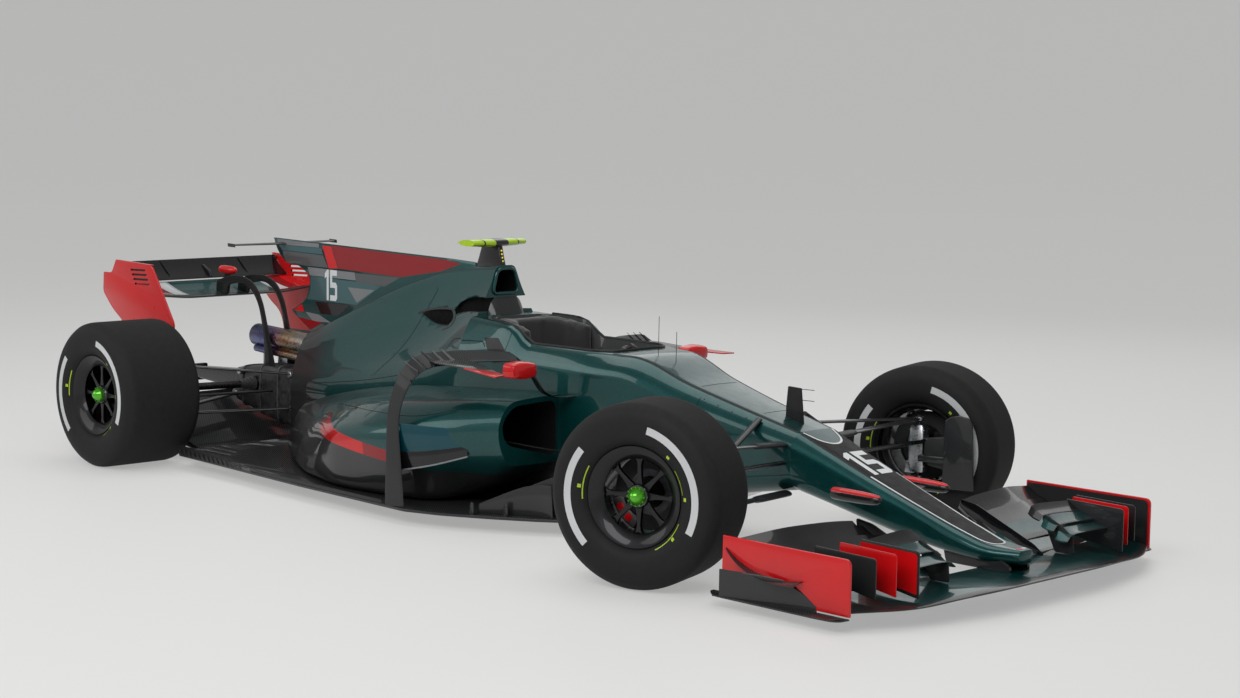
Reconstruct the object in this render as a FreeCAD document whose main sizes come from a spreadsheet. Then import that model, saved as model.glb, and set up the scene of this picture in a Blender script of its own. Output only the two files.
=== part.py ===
# Open wheel racing car of the wide-tyre era: high airbox, shark fin, slim nose and a swept front wing.
# Frame: +X to the nose, +Y to the car's left, +Z up. The origin is on the ground, midway between the
# foremost and the rearmost point. Stations are given as s, the distance behind the front axle.
import FreeCAD, Part
import math
import os

import Sketcher
from FreeCAD import Placement, Rotation, Vector

TYRE_SIDES = 40
HUB_SIDES = 24
SAME_POINT = 1e-6
SAME_PLANE = 1e-6
# How much of a ring's side one eased corner may take
EASED_SHARE = 0.46
DRAWN_WHEELBASE = 3450

doc = FreeCAD.newDocument("open_wheel_racing_car")
sheet = doc.addObject("Spreadsheet::Sheet", "sizes")

# Driving dimensions, in millimetres and degrees
DRIVING = [
    ("wheelbase", 3450, "front axle to rear axle"),
    ("front_overhang", 1180, "front axle to the front wing's leading edge"),
    ("rear_overhang", 725, "rear axle to the rear endplate's trailing edge"),
    ("overall_width", 2000, "over the tyres with the wheels straight"),
    ("steer_rest", 18, "front wheels as they stand, turned to the left, degrees"),
    ("tyre_radius", 335, "outside radius of each tyre"),
    ("tyre_width_front", 305, "section width"),
    ("tyre_width_rear", 405, "section width"),
    ("tyre_shoulder", 46, "shoulder radius between tread and sidewall"),
    ("rim_radius", 184, "outside radius of the rim flange"),
    ("rim_bead", 6, "height of the rim flange over the bead seat"),
    ("rim_wall", 7, "thickness of the rim barrel"),
    ("rim_opening", 134, "radius inside the rim's dished lip"),
    ("rim_inset", 26, "rim flange inside the tyre's outer face"),
    ("spoke_face", 38, "spoke plane inside the rim flange"),
    ("spoke_count", 8, "spokes in each wheel"),
    ("hub_radius", 46, "outside radius of the wheel's hub"),
    ("spindle_radius", 30, "spindle that carries the wheel"),
    ("running_fit", 0.05, "radial clearance of a running shaft"),
    ("disc_radius", 138, "brake disc"),
    ("disc_thickness", 30, "brake disc"),
    ("caliper_start", -70, "lower end of the caliper's sector behind the axle, degrees"),
    ("nut_radius", 34, "wheel nut"),
    ("kingpin_inset", 112, "kingpin axis inside the wheel's middle plane"),
    ("kingpin_radius", 7, "kingpin ball joints' pins"),
    ("rear_upright_inset", 149.5, "middle of the rear uprights inside the wheel's middle plane"),
    ("arm_spread", 120, "ball joints above and below the wheel's centre"),
    ("steering_arm", 60, "tie rod ahead of the kingpin"),
    ("tie_rod_radius", 9, "steering rack and tie rods"),
    ("tie_rod_height", 372, "above the ground"),
    ("seat_gap", 0.3, "gap between parts that are seated but not fused"),
    ("floor_height", 55, "underside of the floor above the ground"),
    ("floor_thickness", 12, "floor panel"),
    ("floor_half_width", 795, "widest part of the floor"),
    ("plank_width", 300, "wooden skid plank"),
    ("plank_thickness", 12, "wooden skid plank"),
    ("tub_end", 1700, "engine bulkhead behind the front axle"),
    ("nose_joint", -85, "joint of the nose and the survival cell"),
    ("tub_half_width", 270, "survival cell at the cockpit"),
    ("cockpit_front", 860, "front of the cockpit opening"),
    ("cockpit_rear", 1615, "rear of the cockpit opening"),
    ("cockpit_half_width", 200, "cockpit opening"),
    ("cockpit_floor", 105, "inside of the cockpit above the ground"),
    ("footwell_front", 300, "front end of the footwell"),
    ("airbox_top", 1002, "top of the intake above the ground"),
    ("airbox_sill", 862, "lower lip of the intake above the ground"),
    ("intake_depth", 240, "depth of the intake duct"),
    ("cover_skin", 12, "engine cover's wall"),
    ("cover_end", 3100, "rear end of the engine cover"),
    ("fin_thickness", 8, "shark fin"),
    ("fin_top_rear", 1033, "rear corner of the fin above the ground"),
    ("pod_half_width", 745, "sidepod at its widest"),
    ("pod_skin", 16, "wall of the sidepod's inlet duct"),
    ("pod_duct_depth", 520, "depth of the inlet duct"),
    ("wing_half_span", 885, "front wing out to the endplates"),
    ("front_plate_thickness", 10, "front endplate"),
    ("front_plate_top", 246, "front endplate above the ground"),
    ("rear_half_span", 475, "outside of the rear endplates"),
    ("rear_plate_thickness", 10, "rear endplate"),
    ("rear_wing_top", 905, "top of the rear endplates above the ground"),
    ("flap_lead_back", 3925, "drag reduction flap's leading edge behind the front axle"),
    ("flap_lead_height", 800, "drag reduction flap's leading edge above the ground"),
    ("flap_chord", 150, "drag reduction flap"),
    ("flap_slope", 38, "drag reduction flap at rest, degrees"),
    ("flap_gap", 5, "gap between the flap's ends and the endplates"),
    ("flap_pin_radius", 5, "pins of the flap"),
    ("steering_wheel_back", 1040, "steering wheel behind the front axle"),
    ("steering_wheel_height", 600, "centre of the steering wheel above the ground"),
    ("column_radius", 12, "steering column"),
    ("column_tilt", 14, "steering column's slope, degrees"),
]


class Size(float):
    """A number from the sheet that remembers the expression it comes from."""

    def __new__(cls, value, text):
        made = super().__new__(cls, value)
        made.text = text
        return made


def text_of(number):
    """The expression text of a sheet size, or the number itself."""
    return number.text if isinstance(number, Size) else repr(float(number))


def joined(sign, work):
    def operate(left, right):
        return Size(work(float(left), float(right)), f"({text_of(left)} {sign} {text_of(right)})")

    return operate


for method, sign, work in (
    ("add", "+", lambda a, b: a + b),
    ("sub", "-", lambda a, b: a - b),
    ("mul", "*", lambda a, b: a * b),
    ("truediv", "/", lambda a, b: a / b),
):
    forward = joined(sign, work)
    setattr(Size, f"__{method}__", forward)
    setattr(Size, f"__r{method}__", lambda self, other, operate=forward: operate(other, self))
Size.__neg__ = lambda self: 0.0 - self


class Sizes:
    """Every driving dimension, under its own name."""


mm = Sizes()
for row, (alias, value, note) in enumerate(DRIVING, start=1):
    sheet.set(f"A{row}", note)
    sheet.set(f"B{row}", str(value))
    sheet.setAlias(f"B{row}", alias)
    setattr(mm, alias, Size(value, f"sizes.{alias}"))
doc.recompute()

HALF_LENGTH = (mm.front_overhang + mm.wheelbase + mm.rear_overhang) / 2
FRONT_AXLE = HALF_LENGTH - mm.front_overhang
REAR_AXLE = FRONT_AXLE - mm.wheelbase
FLOOR_TOP = mm.floor_height + mm.floor_thickness
FRONT_WHEEL_Y = mm.overall_width / 2 - mm.tyre_width_front / 2
REAR_WHEEL_Y = mm.overall_width / 2 - mm.tyre_width_rear / 2
KINGPIN_Y = FRONT_WHEEL_Y - mm.kingpin_inset
REAR_UPRIGHT_Y = REAR_WHEEL_Y - mm.rear_upright_inset
REAR_TYRE_INSIDE = mm.overall_width / 2 - mm.tyre_width_rear
LEFT, RIGHT = 1, -1

pieces = {}


def at(s):
    """The frame's x of a station s behind the front axle."""
    return FRONT_AXLE - s


def bind(obj, name, size):
    """Binds one property of an object to the sheet."""
    if isinstance(size, Size):
        obj.setExpression(name, size.text)
    else:
        setattr(obj, name, size)


def keep(label, shape):
    """A sub-part whose shape is set directly."""
    made = doc.addObject("Part::Feature", label)
    made.Label = label
    solids = shape.Solids
    made.Shape = solids[0] if len(solids) == 1 else Part.makeCompound(solids)
    pieces[label] = made
    return made


def origin_plane(body, role):
    """One of the body's own origin planes, by its role."""
    return [f for f in body.Origin.OriginFeatures if f.Role == role][0]


def draw(sketch, corners):
    """A closed outline of straight lines through (u, v) corners."""
    points = [Vector(u, v, 0) for u, v in corners]
    for start, finish in zip(points, points[1:] + points[:1]):
        sketch.addGeometry(Part.LineSegment(start, finish), False)
    for index, corner in enumerate(corners):
        following = (index + 1) % len(corners)
        sketch.addConstraint(Sketcher.Constraint("Coincident", index, 2, following, 1))
        for kind, size in (("DistanceX", corner[0]), ("DistanceY", corner[1])):
            number = sketch.addConstraint(Sketcher.Constraint(kind, -1, 1, index, 1, float(size)))
            if isinstance(size, Size):
                sketch.setExpression(f"Constraints[{number}]", size.text)


def new_sketch(body, name, role, corners):
    """A sketch on one of the body's origin planes."""
    sketch = body.newObject("Sketcher::SketchObject", name)
    sketch.AttachmentSupport = (origin_plane(body, role), "")
    sketch.MapMode = "FlatFace"
    draw(sketch, corners)
    return sketch


def new_body(label):
    """A PartDesign body under its own label."""
    body = doc.addObject("PartDesign::Body", label)
    body.Label = label
    pieces[label] = body
    return body


def pad(body, name, sketch, length):
    """A sketch pushed out along its normal."""
    made = body.newObject("PartDesign::Pad", name)
    made.Profile = sketch
    bind(made, "Length", length)
    return made


def place(obj, x, y, z, rotation=None):
    """Puts a body in the frame, its position bound to the sheet."""
    obj.Placement = Placement(Vector(x, y, z), rotation or Rotation())
    for axis, size in (("x", x), ("y", y), ("z", z)):
        if isinstance(size, Size):
            obj.setExpression(f"Placement.Base.{axis}", size.text)


def eased_ring(x, corners, radii):
    """A closed ring in the plane x, each corner (y, z) eased by two short sides as far as there is room."""
    points = [Vector(x, y, z) for y, z in corners]
    ring = []
    for i, point in enumerate(points):
        before = points[i - 1] - point
        after = points[(i + 1) % len(points)] - point
        half_angle = before.getAngle(after) / 2
        room = EASED_SHARE * min(before.Length, after.Length)
        radius = min(radii[i], room * math.tan(half_angle))
        reach = radius / math.tan(half_angle)
        before.normalize()
        after.normalize()
        inward = (before + after).normalize()
        middle = point + inward * (radius / math.sin(half_angle) - radius)
        ring += [point + before * reach, middle, point + after * reach]
    return ring


def mirrored_ring(x, half, radii):
    """A ring that is the same on both sides: half runs from the top's corner down to the bottom's."""
    other = [(-y, z) for y, z in reversed(half)]
    return eased_ring(x, half + other, radii + radii[::-1])


def chamfered_ring(x, half, low, high, cut):
    """An upright rectangle in the plane x, from low to high, its corners cut off."""
    corners = [(half - cut, high), (half, high - cut), (half, low + cut), (half - cut, low)]
    return [Vector(x, y, z) for y, z in corners + [(-y, z) for y, z in reversed(corners)]]


def round_ring(center, along, radius, sides):
    """A regular polygon round an axis, a corner straight above the centre where the axis is level."""
    along = Vector(along).normalize()
    up = Vector(0, 0, 1) if abs(along.z) < 0.9 else Vector(1, 0, 0)
    up = (up - along * up.dot(along)).normalize()
    across = along.cross(up)
    turns = [2 * math.pi * k / sides for k in range(sides)]
    return [center + up * (radius * math.cos(turn)) + across * (radius * math.sin(turn)) for turn in turns]


def panels(corners):
    """The flat face through a ring of corners, or two where four corners don't lie in one plane."""
    points = []
    for corner in corners:
        if all((corner - point).Length > SAME_POINT for point in points):
            points.append(corner)
    if len(points) < 3:
        return []
    if len(points) == 4:
        normal = (points[1] - points[0]).cross(points[2] - points[0]).normalize()
        if abs((points[3] - points[0]).dot(normal)) > SAME_PLANE:
            if (points[2] - points[0]).Length > (points[3] - points[1]).Length:
                points = points[1:] + points[:1]
            return panels(points[:3]) + panels([points[0], points[2], points[3]])
    return [Part.Face(Part.makePolygon(points + points[:1]))]


def closed(faces):
    """The solid inside faces that meet edge to edge."""
    shell = Part.Shell(faces)
    shell.sewShape()
    solid = Part.Solid(shell)
    if solid.Volume < 0:
        shell.reverse()
        solid = Part.Solid(shell)
    return solid


def between(low, high):
    """The faces between two rings with as many points each."""
    faces = []
    for i in range(len(low)):
        following = (i + 1) % len(low)
        faces += panels([low[i], low[following], high[following], high[i]])
    return faces


def loft(rings):
    """A closed skin of flat panels through rings of points."""
    faces = [Part.Face(Part.makePolygon(ring + ring[:1])) for ring in (rings[0], rings[-1])]
    for low, high in zip(rings, rings[1:]):
        faces += between(low, high)
    return closed(faces)


def turned(profile, sides):
    """A ring-shaped solid round the X axis through a closed profile of (along, radius) points."""
    rings = [round_ring(Vector(along, 0, 0), (1, 0, 0), radius, sides) for along, radius in profile]
    faces = []
    for low, high in zip(rings, rings[1:] + rings[:1]):
        faces += between(low, high)
    return closed(faces)


def mirror(shape):
    """The same shape on the other side of the car."""
    return shape.mirror(Vector(0, 0, 0), Vector(0, 1, 0))


def box(low, high):
    """A box between two opposite corners (x, y, z)."""
    start = Vector(*(min(a, b) for a, b in zip(low, high)))
    size = Vector(*(abs(a - b) for a, b in zip(low, high)))
    return Part.makeBox(size.x, size.y, size.z, start)


def rod(start, finish, radius, sides=16):
    """A round bar between two points, its corners on the radius."""
    along = Vector(*finish) - Vector(*start)
    ring = round_ring(Vector(*start), along, radius, sides)
    return Part.Face(Part.makePolygon(ring + ring[:1])).extrude(along)


def bore(start, finish, radius, sides=16):
    """The cutting body of a round hole, its flat sides on the radius."""
    return rod(start, finish, radius / math.cos(math.pi / sides), sides)


def sector(s, y_low, y_high, inner, outer, start, sweep):
    """A sector round the axle at station s between two radii, start degrees from the rear, upwards."""
    turns = [math.radians(start + sweep * k / 5) for k in range(6)]
    corners = [(s + outer * math.cos(turn), mm.tyre_radius + outer * math.sin(turn)) for turn in turns]
    corners += [
        (s + inner * math.cos(turn), mm.tyre_radius + inner * math.sin(turn)) for turn in reversed(turns)
    ]
    return prism_y(corners, y_low, y_high)


def blade(start, finish, chord, thickness):
    """A suspension arm: a flat hexagon section between two points, its long axis level and along the car."""
    start, finish = Vector(*start), Vector(*finish)
    along = (finish - start).normalize()
    wide = (Vector(1, 0, 0) - along * along.x).normalize() * (chord / 2)
    thick = along.cross(wide).normalize() * (thickness / 2)
    corners = [
        wide, wide * 0.45 + thick, thick - wide * 0.45, -wide, -wide * 0.45 - thick, wide * 0.45 - thick
    ]
    points = [start + corner for corner in corners]
    return Part.Face(Part.makePolygon(points + points[:1])).extrude(finish - start)


def prism_y(corners, y_low, y_high):
    """A side-view outline of (s, z) corners, pushed across the car."""
    points = [Vector(at(s), y_low, z) for s, z in corners]
    face = Part.Face(Part.makePolygon(points + points[:1]))
    return face.extrude(Vector(0, y_high - y_low, 0))


def prism_z(corners, z_low, z_high):
    """A plan-view outline of (s, y) corners, pushed up."""
    points = [Vector(at(s), y, z_low) for s, y in corners]
    face = Part.Face(Part.makePolygon(points + points[:1]))
    return face.extrude(Vector(0, 0, z_high - z_low))


def fused(shapes):
    """One shape from several that touch or overlap."""
    first = shapes[0].multiFuse(shapes[1:]) if len(shapes) > 1 else shapes[0]
    return first.removeSplitter()


def aerofoil(chord, thickness, camber):
    """A wing section's outline from the tail over the top to the nose and back below, as (along, up)."""
    upper, lower = [], []
    for share in (1.0, 0.72, 0.4, 0.16, 0.03):
        half = thickness * (1.5 * math.sqrt(share) * (1 - share) ** 0.8 * 0.78 + 0.06)
        bend = camber * 4 * share * (1 - share)
        upper.append((chord * share, bend + half))
        lower.append((chord * share, bend - half))
    return upper + [(0.0, 0.0)] + lower[::-1]


def wing_ring(s, y, z, chord, thickness, camber, slope):
    """A wing section across the car at y, its nose at (s, z) and its tail up by slope degrees."""
    cos, sin = math.cos(math.radians(slope)), math.sin(math.radians(slope))
    return [
        Vector(at(s + a * cos - b * sin), y, z + a * sin + b * cos)
        for a, b in aerofoil(chord, thickness, camber)
    ]


def wing(stations):
    """A wing lofted through (s, y, z, chord, thickness, camber, slope) stations, straight between them."""
    return loft([wing_ring(*station) for station in stations])


def largest(shape):
    """The largest solid of a shape that was cut apart."""
    return max(shape.Solids, key=lambda solid: solid.Volume)


def sine(size):
    """The sine of an angle in degrees, bound to the sheet as well."""
    return Size(math.sin(math.radians(size)), f"sin({text_of(size)} * 1 deg)")


def cosine(size):
    """The cosine of an angle in degrees, bound to the sheet as well."""
    return Size(math.cos(math.radians(size)), f"cos({text_of(size)} * 1 deg)")


def aft(s):
    """A station behind the bulkhead, drawn at DRAWN_WHEELBASE, where the rear axle's place puts it."""
    share = (s - mm.tub_end) / (DRAWN_WHEELBASE - mm.tub_end)
    return float(s + (mm.wheelbase - DRAWN_WHEELBASE) * min(1.0, max(0.0, share)))


# Survival cell and nose: (s, top edge, shoulder, lower side, underside), each as (half width, height)
TUB_STATIONS = [
    (mm.nose_joint, (100, 486), (146, 446), (146, 300), (100, 264)),
    (188, (114, 550), (172, 508), (180, 262), (120, 216)),
    (470, (138, 622), (206, 574), (228, 190), (150, 122)),
    (755, (168, 706), (mm.tub_half_width - 22, 652), (mm.tub_half_width - 2, 150), (190, 78)),
    (1000, (224, 708), (mm.tub_half_width, 640), (mm.tub_half_width, 140), (215, FLOOR_TOP + mm.seat_gap)),
    (1290, (230, 708), (mm.tub_half_width, 636), (mm.tub_half_width, 140), (215, FLOOR_TOP + mm.seat_gap)),
    (1410, (230, 776), (mm.tub_half_width, 660), (mm.tub_half_width, 140), (215, FLOOR_TOP + mm.seat_gap)),
    (
        mm.tub_end, (196, 792), (mm.tub_half_width, 650), (mm.tub_half_width, 140),
        (215, FLOOR_TOP + mm.seat_gap)
    ),
]
NOSE_STATIONS = [
    (-1060, (34, 172), (46, 158), (44, 134), (30, 122)),
    (-946, (58, 180), (80, 162), (78, 132), (52, 118)),
    (-827, (70, 212), (94, 190), (94, 142), (64, 124)),
    (-621, (76, 283), (102, 258), (104, 176), (72, 152)),
    (-416, (84, 358), (116, 328), (120, 222), (82, 192)),
    (-244, (90, 424), (128, 390), (132, 262), (90, 230)),
    (mm.nose_joint - mm.seat_gap, (100, 486), (146, 446), (146, 300), (100, 264)),
]
SKIN_RADII = [14, 26, 40, 24]

COVER_END = aft(mm.cover_end)

# Engine cover: (s, crest, intake flank, waist, haunch, lower edge)
COVER_STATIONS = [
    (
        mm.tub_end + mm.seat_gap, (52, mm.airbox_top), (92, 905), (160, 792), (mm.tub_half_width, 640),
        (mm.tub_half_width, 80)
    ),
    (aft(1950), (26, 978), (64, 862), (126, 690), (244, 540), (244, 80)),
    (aft(2300), (14, 892), (42, 782), (100, 600), (207, 460), (207, 80)),
    (aft(2700), (12, 748), (40, 672), (90, 540), (163, 400), (163, 80)),
    (COVER_END, (12, 592), (44, 562), (80, 500), (120, 380), (120, 150)),
]
COVER_RADII = [8, 26, 30, 60, 12]
COVER_HOLLOW = [
    (mm.tub_end + mm.cover_skin, (96, 640), (258, 540), (258, 60)),
    (aft(2300), (84, 560), (193, 445), (193, 60)),
    (aft(2700), (74, 500), (149, 385), (149, 60)),
    (COVER_END + 1, (60, 470), (106, 370), (106, 60)),
]

# Sidepod: (s, underside, top edge, outer top, widest, outer low, outer bottom), the inner wall upright
POD_BASE = FLOOR_TOP + mm.seat_gap
POD_STATIONS = [
    (1062, 256, 526, (540, 518), (602, 430), (590, 330), (540, 256)),
    (1300, 130, 520, (590, 503), (690, 402), (650, 262), (500, 130)),
    (1520, POD_BASE, 506, (612, 482), (mm.pod_half_width, 366), (706, 214), (640, POD_BASE)),
    (mm.tub_end, POD_BASE, 496, (594, 470), (mm.pod_half_width + 2, 350), (724, 206), (676, POD_BASE)),
    (aft(1950), POD_BASE, 474, (544, 438), (mm.pod_half_width - 20, 320), (722, 194), (700, POD_BASE)),
    (aft(2300), POD_BASE, 428, (430, 382), (590, 272), (620, 160), (616, POD_BASE)),
    (aft(2700), POD_BASE, 350, (280, 306), (370, 222), (402, 140), (404, POD_BASE)),
    (aft(2960), POD_BASE, 280, (180, 246), (212, 186), (236, 124), (240, POD_BASE)),
]
POD_RADII = [4, 40, 44, 44, 30, 4]


def tub_skin(stations, radii=SKIN_RADII):
    """A body that is the same on both sides, through its stations."""
    return loft([mirrored_ring(at(s), list(half), radii) for s, *half in stations])


def cover_half_width(s):
    """Half width of the engine cover's lower wall at a station, as far as the tub's end the tub's own."""
    walls = [(station[0], station[4][0]) for station in COVER_STATIONS]
    if s <= walls[0][0]:
        return mm.tub_half_width
    for (s0, w0), (s1, w1) in zip(walls, walls[1:]):
        if s <= s1:
            return w0 + (w1 - w0) * (s - s0) / (s1 - s0)
    return walls[-1][1]


def cockpit_rim():
    """The left half of the cockpit opening's outline, from front to rear."""
    wide = mm.cockpit_half_width
    return [
        (mm.cockpit_front, 130), (mm.cockpit_front + 90, wide - 15), (mm.cockpit_rear - 140, wide),
        (mm.cockpit_rear, 150),
    ]


def rack_station():
    """The steering rack's station, level with the steering arms' tips as the wheels stand."""
    return -mm.steering_arm * cosine(mm.steer_rest)


def monocoque():
    """The survival cell with its open cockpit, footwell, roll structure and bearings."""
    tub = tub_skin(TUB_STATIONS)
    hoop_back = mm.tub_end - mm.seat_gap
    hoop = loft([
        eased_ring(at(mm.cockpit_rear + 5), [(70, 702), (70, 640), (-70, 640), (-70, 702)], [8] * 4),
        eased_ring(
            at(hoop_back), [(92, mm.airbox_sill), (110, 640), (-110, 640), (-92, mm.airbox_sill)], [20] * 4
        ),
    ])
    tub = tub.fuse(hoop)
    rim = cockpit_rim()
    opening = prism_z(rim + [(s, -y) for s, y in reversed(rim)], mm.cockpit_floor, 900)
    footwell = loft([
        eased_ring(at(mm.footwell_front), [(130, 520), (130, 230), (-130, 230), (-130, 520)], [20] * 4),
        eased_ring(at(mm.cockpit_front + 20), [(180, 590), (190, 120), (-190, 120), (-180, 590)], [20] * 4),
    ])
    tub = tub.cut(opening).cut(footwell)
    column_bore = steering_column(bore, mm.column_radius + mm.running_fit, 1)
    x, z = at(rack_station()), mm.tie_rod_height
    rack_bore = bore((x, -300, z), (x, 300, z), mm.tie_rod_radius + mm.running_fit)
    return keep("monocoque", tub.cut(column_bore).cut(rack_bore))


def nose_cone():
    """The slim nose with its thumb tip."""
    return keep("nose_cone", tub_skin(NOSE_STATIONS))


def engine_cover():
    """The cover from the intake to the tail, open below and at its rear end, with the intake's duct."""
    outer = tub_skin(COVER_STATIONS, COVER_RADII)
    hollow = loft([
        mirrored_ring(at(s), list(half), [20, 30, 6]) for s, *half in COVER_HOLLOW
    ])
    mouth_top = mm.airbox_top - 14
    duct = loft([
        eased_ring(
            at(mm.tub_end - 5),
            [(48, mouth_top), (76, mm.airbox_sill + 16), (-76, mm.airbox_sill + 16), (-48, mouth_top)],
            [20] * 4
        ),
        eased_ring(
            at(mm.tub_end + mm.intake_depth),
            [
                (22, mouth_top - 34), (46, mm.airbox_sill + 12), (-46, mm.airbox_sill + 12),
                (-22, mouth_top - 34)
            ],
            [10] * 4
        ),
    ])
    return keep("engine_cover", outer.cut(hollow).cut(duct))


def shark_fin():
    """The fin on the spine, scooped at its trailing edge, with the slot that carries the small top wing."""
    half = mm.fin_thickness / 2
    outline = [
        (1884, 900), (1890, 1004), (2039, 1009), (3393, mm.fin_top_rear), (3363, 973), (3291, 914),
        (3196, 911), (3112, 872), (3098, 832), (3128, 758), (3172, 728), (3250, 690), (3090, 594),
        (2900, 560), (2300, 700),
    ]
    fin = prism_y([(aft(s), z) for s, z in outline], -half, half)
    return keep("shark_fin", fin.cut(tub_skin(COVER_STATIONS, COVER_RADII)).cut(t_wing_shape()))


def t_wing_shape():
    """The small wing across the fin's top."""
    tip, middle = aft(3296), aft(3288)
    return wing(
        [(tip, -300, 1008, 52, 6, 1, 4), (middle, 0, 1006, 60, 8, 1, 4), (tip, 300, 1008, 52, 6, 1, 4)]
    )


def sidepod(side, label):
    """One sidepod: swept body with a raked inlet and its duct."""
    rings = []
    for s, base, top, outer_top, widest, outer_low, outer_base in POD_STATIONS:
        inner = cover_half_width(s) + mm.seat_gap
        corners = [(inner, top), outer_top, widest, outer_low, outer_base, (inner, base)]
        rings.append(eased_ring(at(s), corners, POD_RADII))
    inner = mm.tub_half_width + mm.seat_gap + mm.pod_skin
    mouth = [
        (inner, 526 - mm.pod_skin), (528, 518 - mm.pod_skin), (602 - mm.pod_skin, 430), (574, 338),
        (inner, 256 + mm.pod_skin)
    ]
    throat = [(inner + 20, 470), (480, 460), (540, 410), (520, 330), (inner + 20, 290)]
    duct = loft([
        eased_ring(at(1061), mouth, [16, 34, 36, 36, 16]),
        eased_ring(at(1062 + mm.pod_duct_depth), throat, [16, 24, 26, 26, 16]),
    ])
    pod = loft(rings).cut(duct)
    return keep(label, pod if side == LEFT else mirror(pod))


def headrest():
    """The padded horseshoe round the driver's head, fitted inside the cockpit's rim."""
    gap, front = mm.seat_gap, 1345
    (s1, y1), (s2, y2), (s3, y3) = cockpit_rim()[1:]
    edge = y1 + (y2 - y1) * (front - s1) / (s2 - s1)
    half = [
        (s3 - 64, 70), (s3 - 150, 128), (1440, y2 - 72), (front, edge - 44), (front, edge - gap),
        (s2, y2 - gap), (s3 - gap, y3 - gap),
    ]
    return keep("headrest", prism_z(half + [(s, -y) for s, y in reversed(half)], 610, 790))


def seat():
    """The reclined seat shell on the cockpit's floor."""
    base = mm.cockpit_floor + mm.seat_gap
    shell = prism_y([
        (1130, base), (1560, base), (1606, 580), (1590, 590), (1500, 330), (1400, 180), (1290, 150),
        (1150, 210), (1120, 200),
    ], -140, 140)
    scoop = prism_y([(1110, 260), (1560, 640), (1478, 340), (1380, 200), (1285, 172), (1150, 232)], -116, 116)
    return keep("seat", shell.cut(scoop))


def floor():
    """The floor panel with its splitter in front."""
    half = [
        (430, 140), (600, 160), (640, 330), (760, 430), (900, 540), (1060, 640), (1250, 740),
        (1415, mm.floor_half_width), (aft(2157), 765), (aft(3040), 700), (aft(3200), 690),
        (aft(3200), REAR_TYRE_INSIDE - 25), (aft(3275), REAR_TYRE_INSIDE - 35), (aft(3275), 0),
    ]
    outline = half + [(s, -y) for s, y in reversed(half[:-1])]
    return keep("floor", prism_z(outline, mm.floor_height, FLOOR_TOP))


def plank():
    """The wooden skid plank under the floor."""
    body = new_body("plank")
    half = mm.plank_width / 2
    front, back = FRONT_AXLE - 450, REAR_AXLE + 190
    sketch = new_sketch(body, "PlankOutline", "XY_Plane", [
        (back, -half), (front - 60, -half), (front, -half + 60), (front, half - 60), (front - 60, half),
        (back, half),
    ])
    pad(body, "PlankPad", sketch, mm.plank_thickness)
    place(body, 0, 0, mm.floor_height - mm.seat_gap - mm.plank_thickness)
    return body


def diffuser():
    """The rising diffuser behind the floor, with its side walls and strakes."""
    start, end = aft(3275) + mm.seat_gap, aft(3800)
    half = REAR_TYRE_INSIDE - 70
    low, high = mm.floor_height, mm.floor_height + 175
    roof = prism_y([(start, low), (start, low + 12), (end, high + 8), (end, high)], -half, half)
    strakes = []
    for share in (0, 0.14, 0.27, 0.39, 0.6, 0.72, 0.85, 1):
        y = -half + share * (2 * half - 8)
        drop = 4.5 if share in (0, 1) else 10
        strakes.append(
            prism_y(
                [(start + 10, low - drop), (start, low + 4), (end, high + 4), (end, high - 110)], y, y + 8
            )
        )
    return keep("diffuser", fused([roof] + strakes))


def engine_block():
    """The engine as one plain block."""
    return keep(
        "engine_block", box((at(aft(2290)), -178, FLOOR_TOP + mm.seat_gap), (at(mm.tub_end + 20), 178, 430))
    )


def gearbox_case():
    """The gearbox and the rear crash structure, with the tail lamp's housing."""
    case = loft([
        chamfered_ring(at(aft(2290) + mm.seat_gap), 130, 84, 400, 30),
        chamfered_ring(at(aft(2950)), 96, 110, 410, 30),
        chamfered_ring(at(aft(3350)), 82, 160, 420, 30), chamfered_ring(at(aft(3640)), 58, 218, 380, 24),
    ])
    tail = loft(
        [chamfered_ring(at(aft(3639)), 48, 266, 366, 14), chamfered_ring(at(aft(4020)), 36, 290, 346, 10)]
    )
    lamp = box((at(aft(4040)), -34, 276), (at(aft(4018)), 34, 360))
    return keep("gearbox_case", fused([case, tail, lamp]))


def exhaust():
    """The tailpipe with its two small wastegate pipes and the bracket on the gearbox."""
    front, end, past = COVER_END + 4, aft(3533), aft(3560)
    shell = rod((at(front), 0, 528), (at(end), 0, 548), 55, 24)
    inside = rod((at(front + 60), 0, 531), (at(past), 0, 549.5), 50, 24)
    parts = [shell.cut(inside)]
    for y in (-34, 34):
        pipe = rod((at(front), y, 466), (at(aft(3500)), y, 488), 18, 12)
        parts.append(pipe.cut(rod((at(front + 60), y, 469.4), (at(past), y, 491.4), 15, 12)))
    parts.append(box((at(aft(3340)), -20, 420 + mm.seat_gap), (at(aft(3320)), 20, 480)))
    return keep("exhaust", fused(parts))


def front_wing_mainplane():
    """The wing's lowest element with its flat centre section."""
    lead = -mm.front_overhang
    half = [
        (lead, 0, 88, 290, 14, 0, 0), (lead, 250, 88, 290, 14, 0, 0), (-1150, 460, 80, 250, 14, -5, 4),
        (-1105, 670, 68, 240, 13, -7, 5),
        (-1000, mm.wing_half_span - mm.front_plate_thickness - mm.seat_gap, 66, 230, 11, -4, 4),
    ]
    stations = [(s, -y, *rest) for s, y, *rest in reversed(half[1:])] + half
    return keep("front_wing_mainplane", wing(stations))


# Upright vanes that cross the flaps: (y, front, rear, foot, top)
WING_VANES = [(760, -1012, -745, 90, 240), (680, -1034, -786, 94, 247), (600, -1066, -812, 96, 251)]
VANE_THICKNESS = 4


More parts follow.
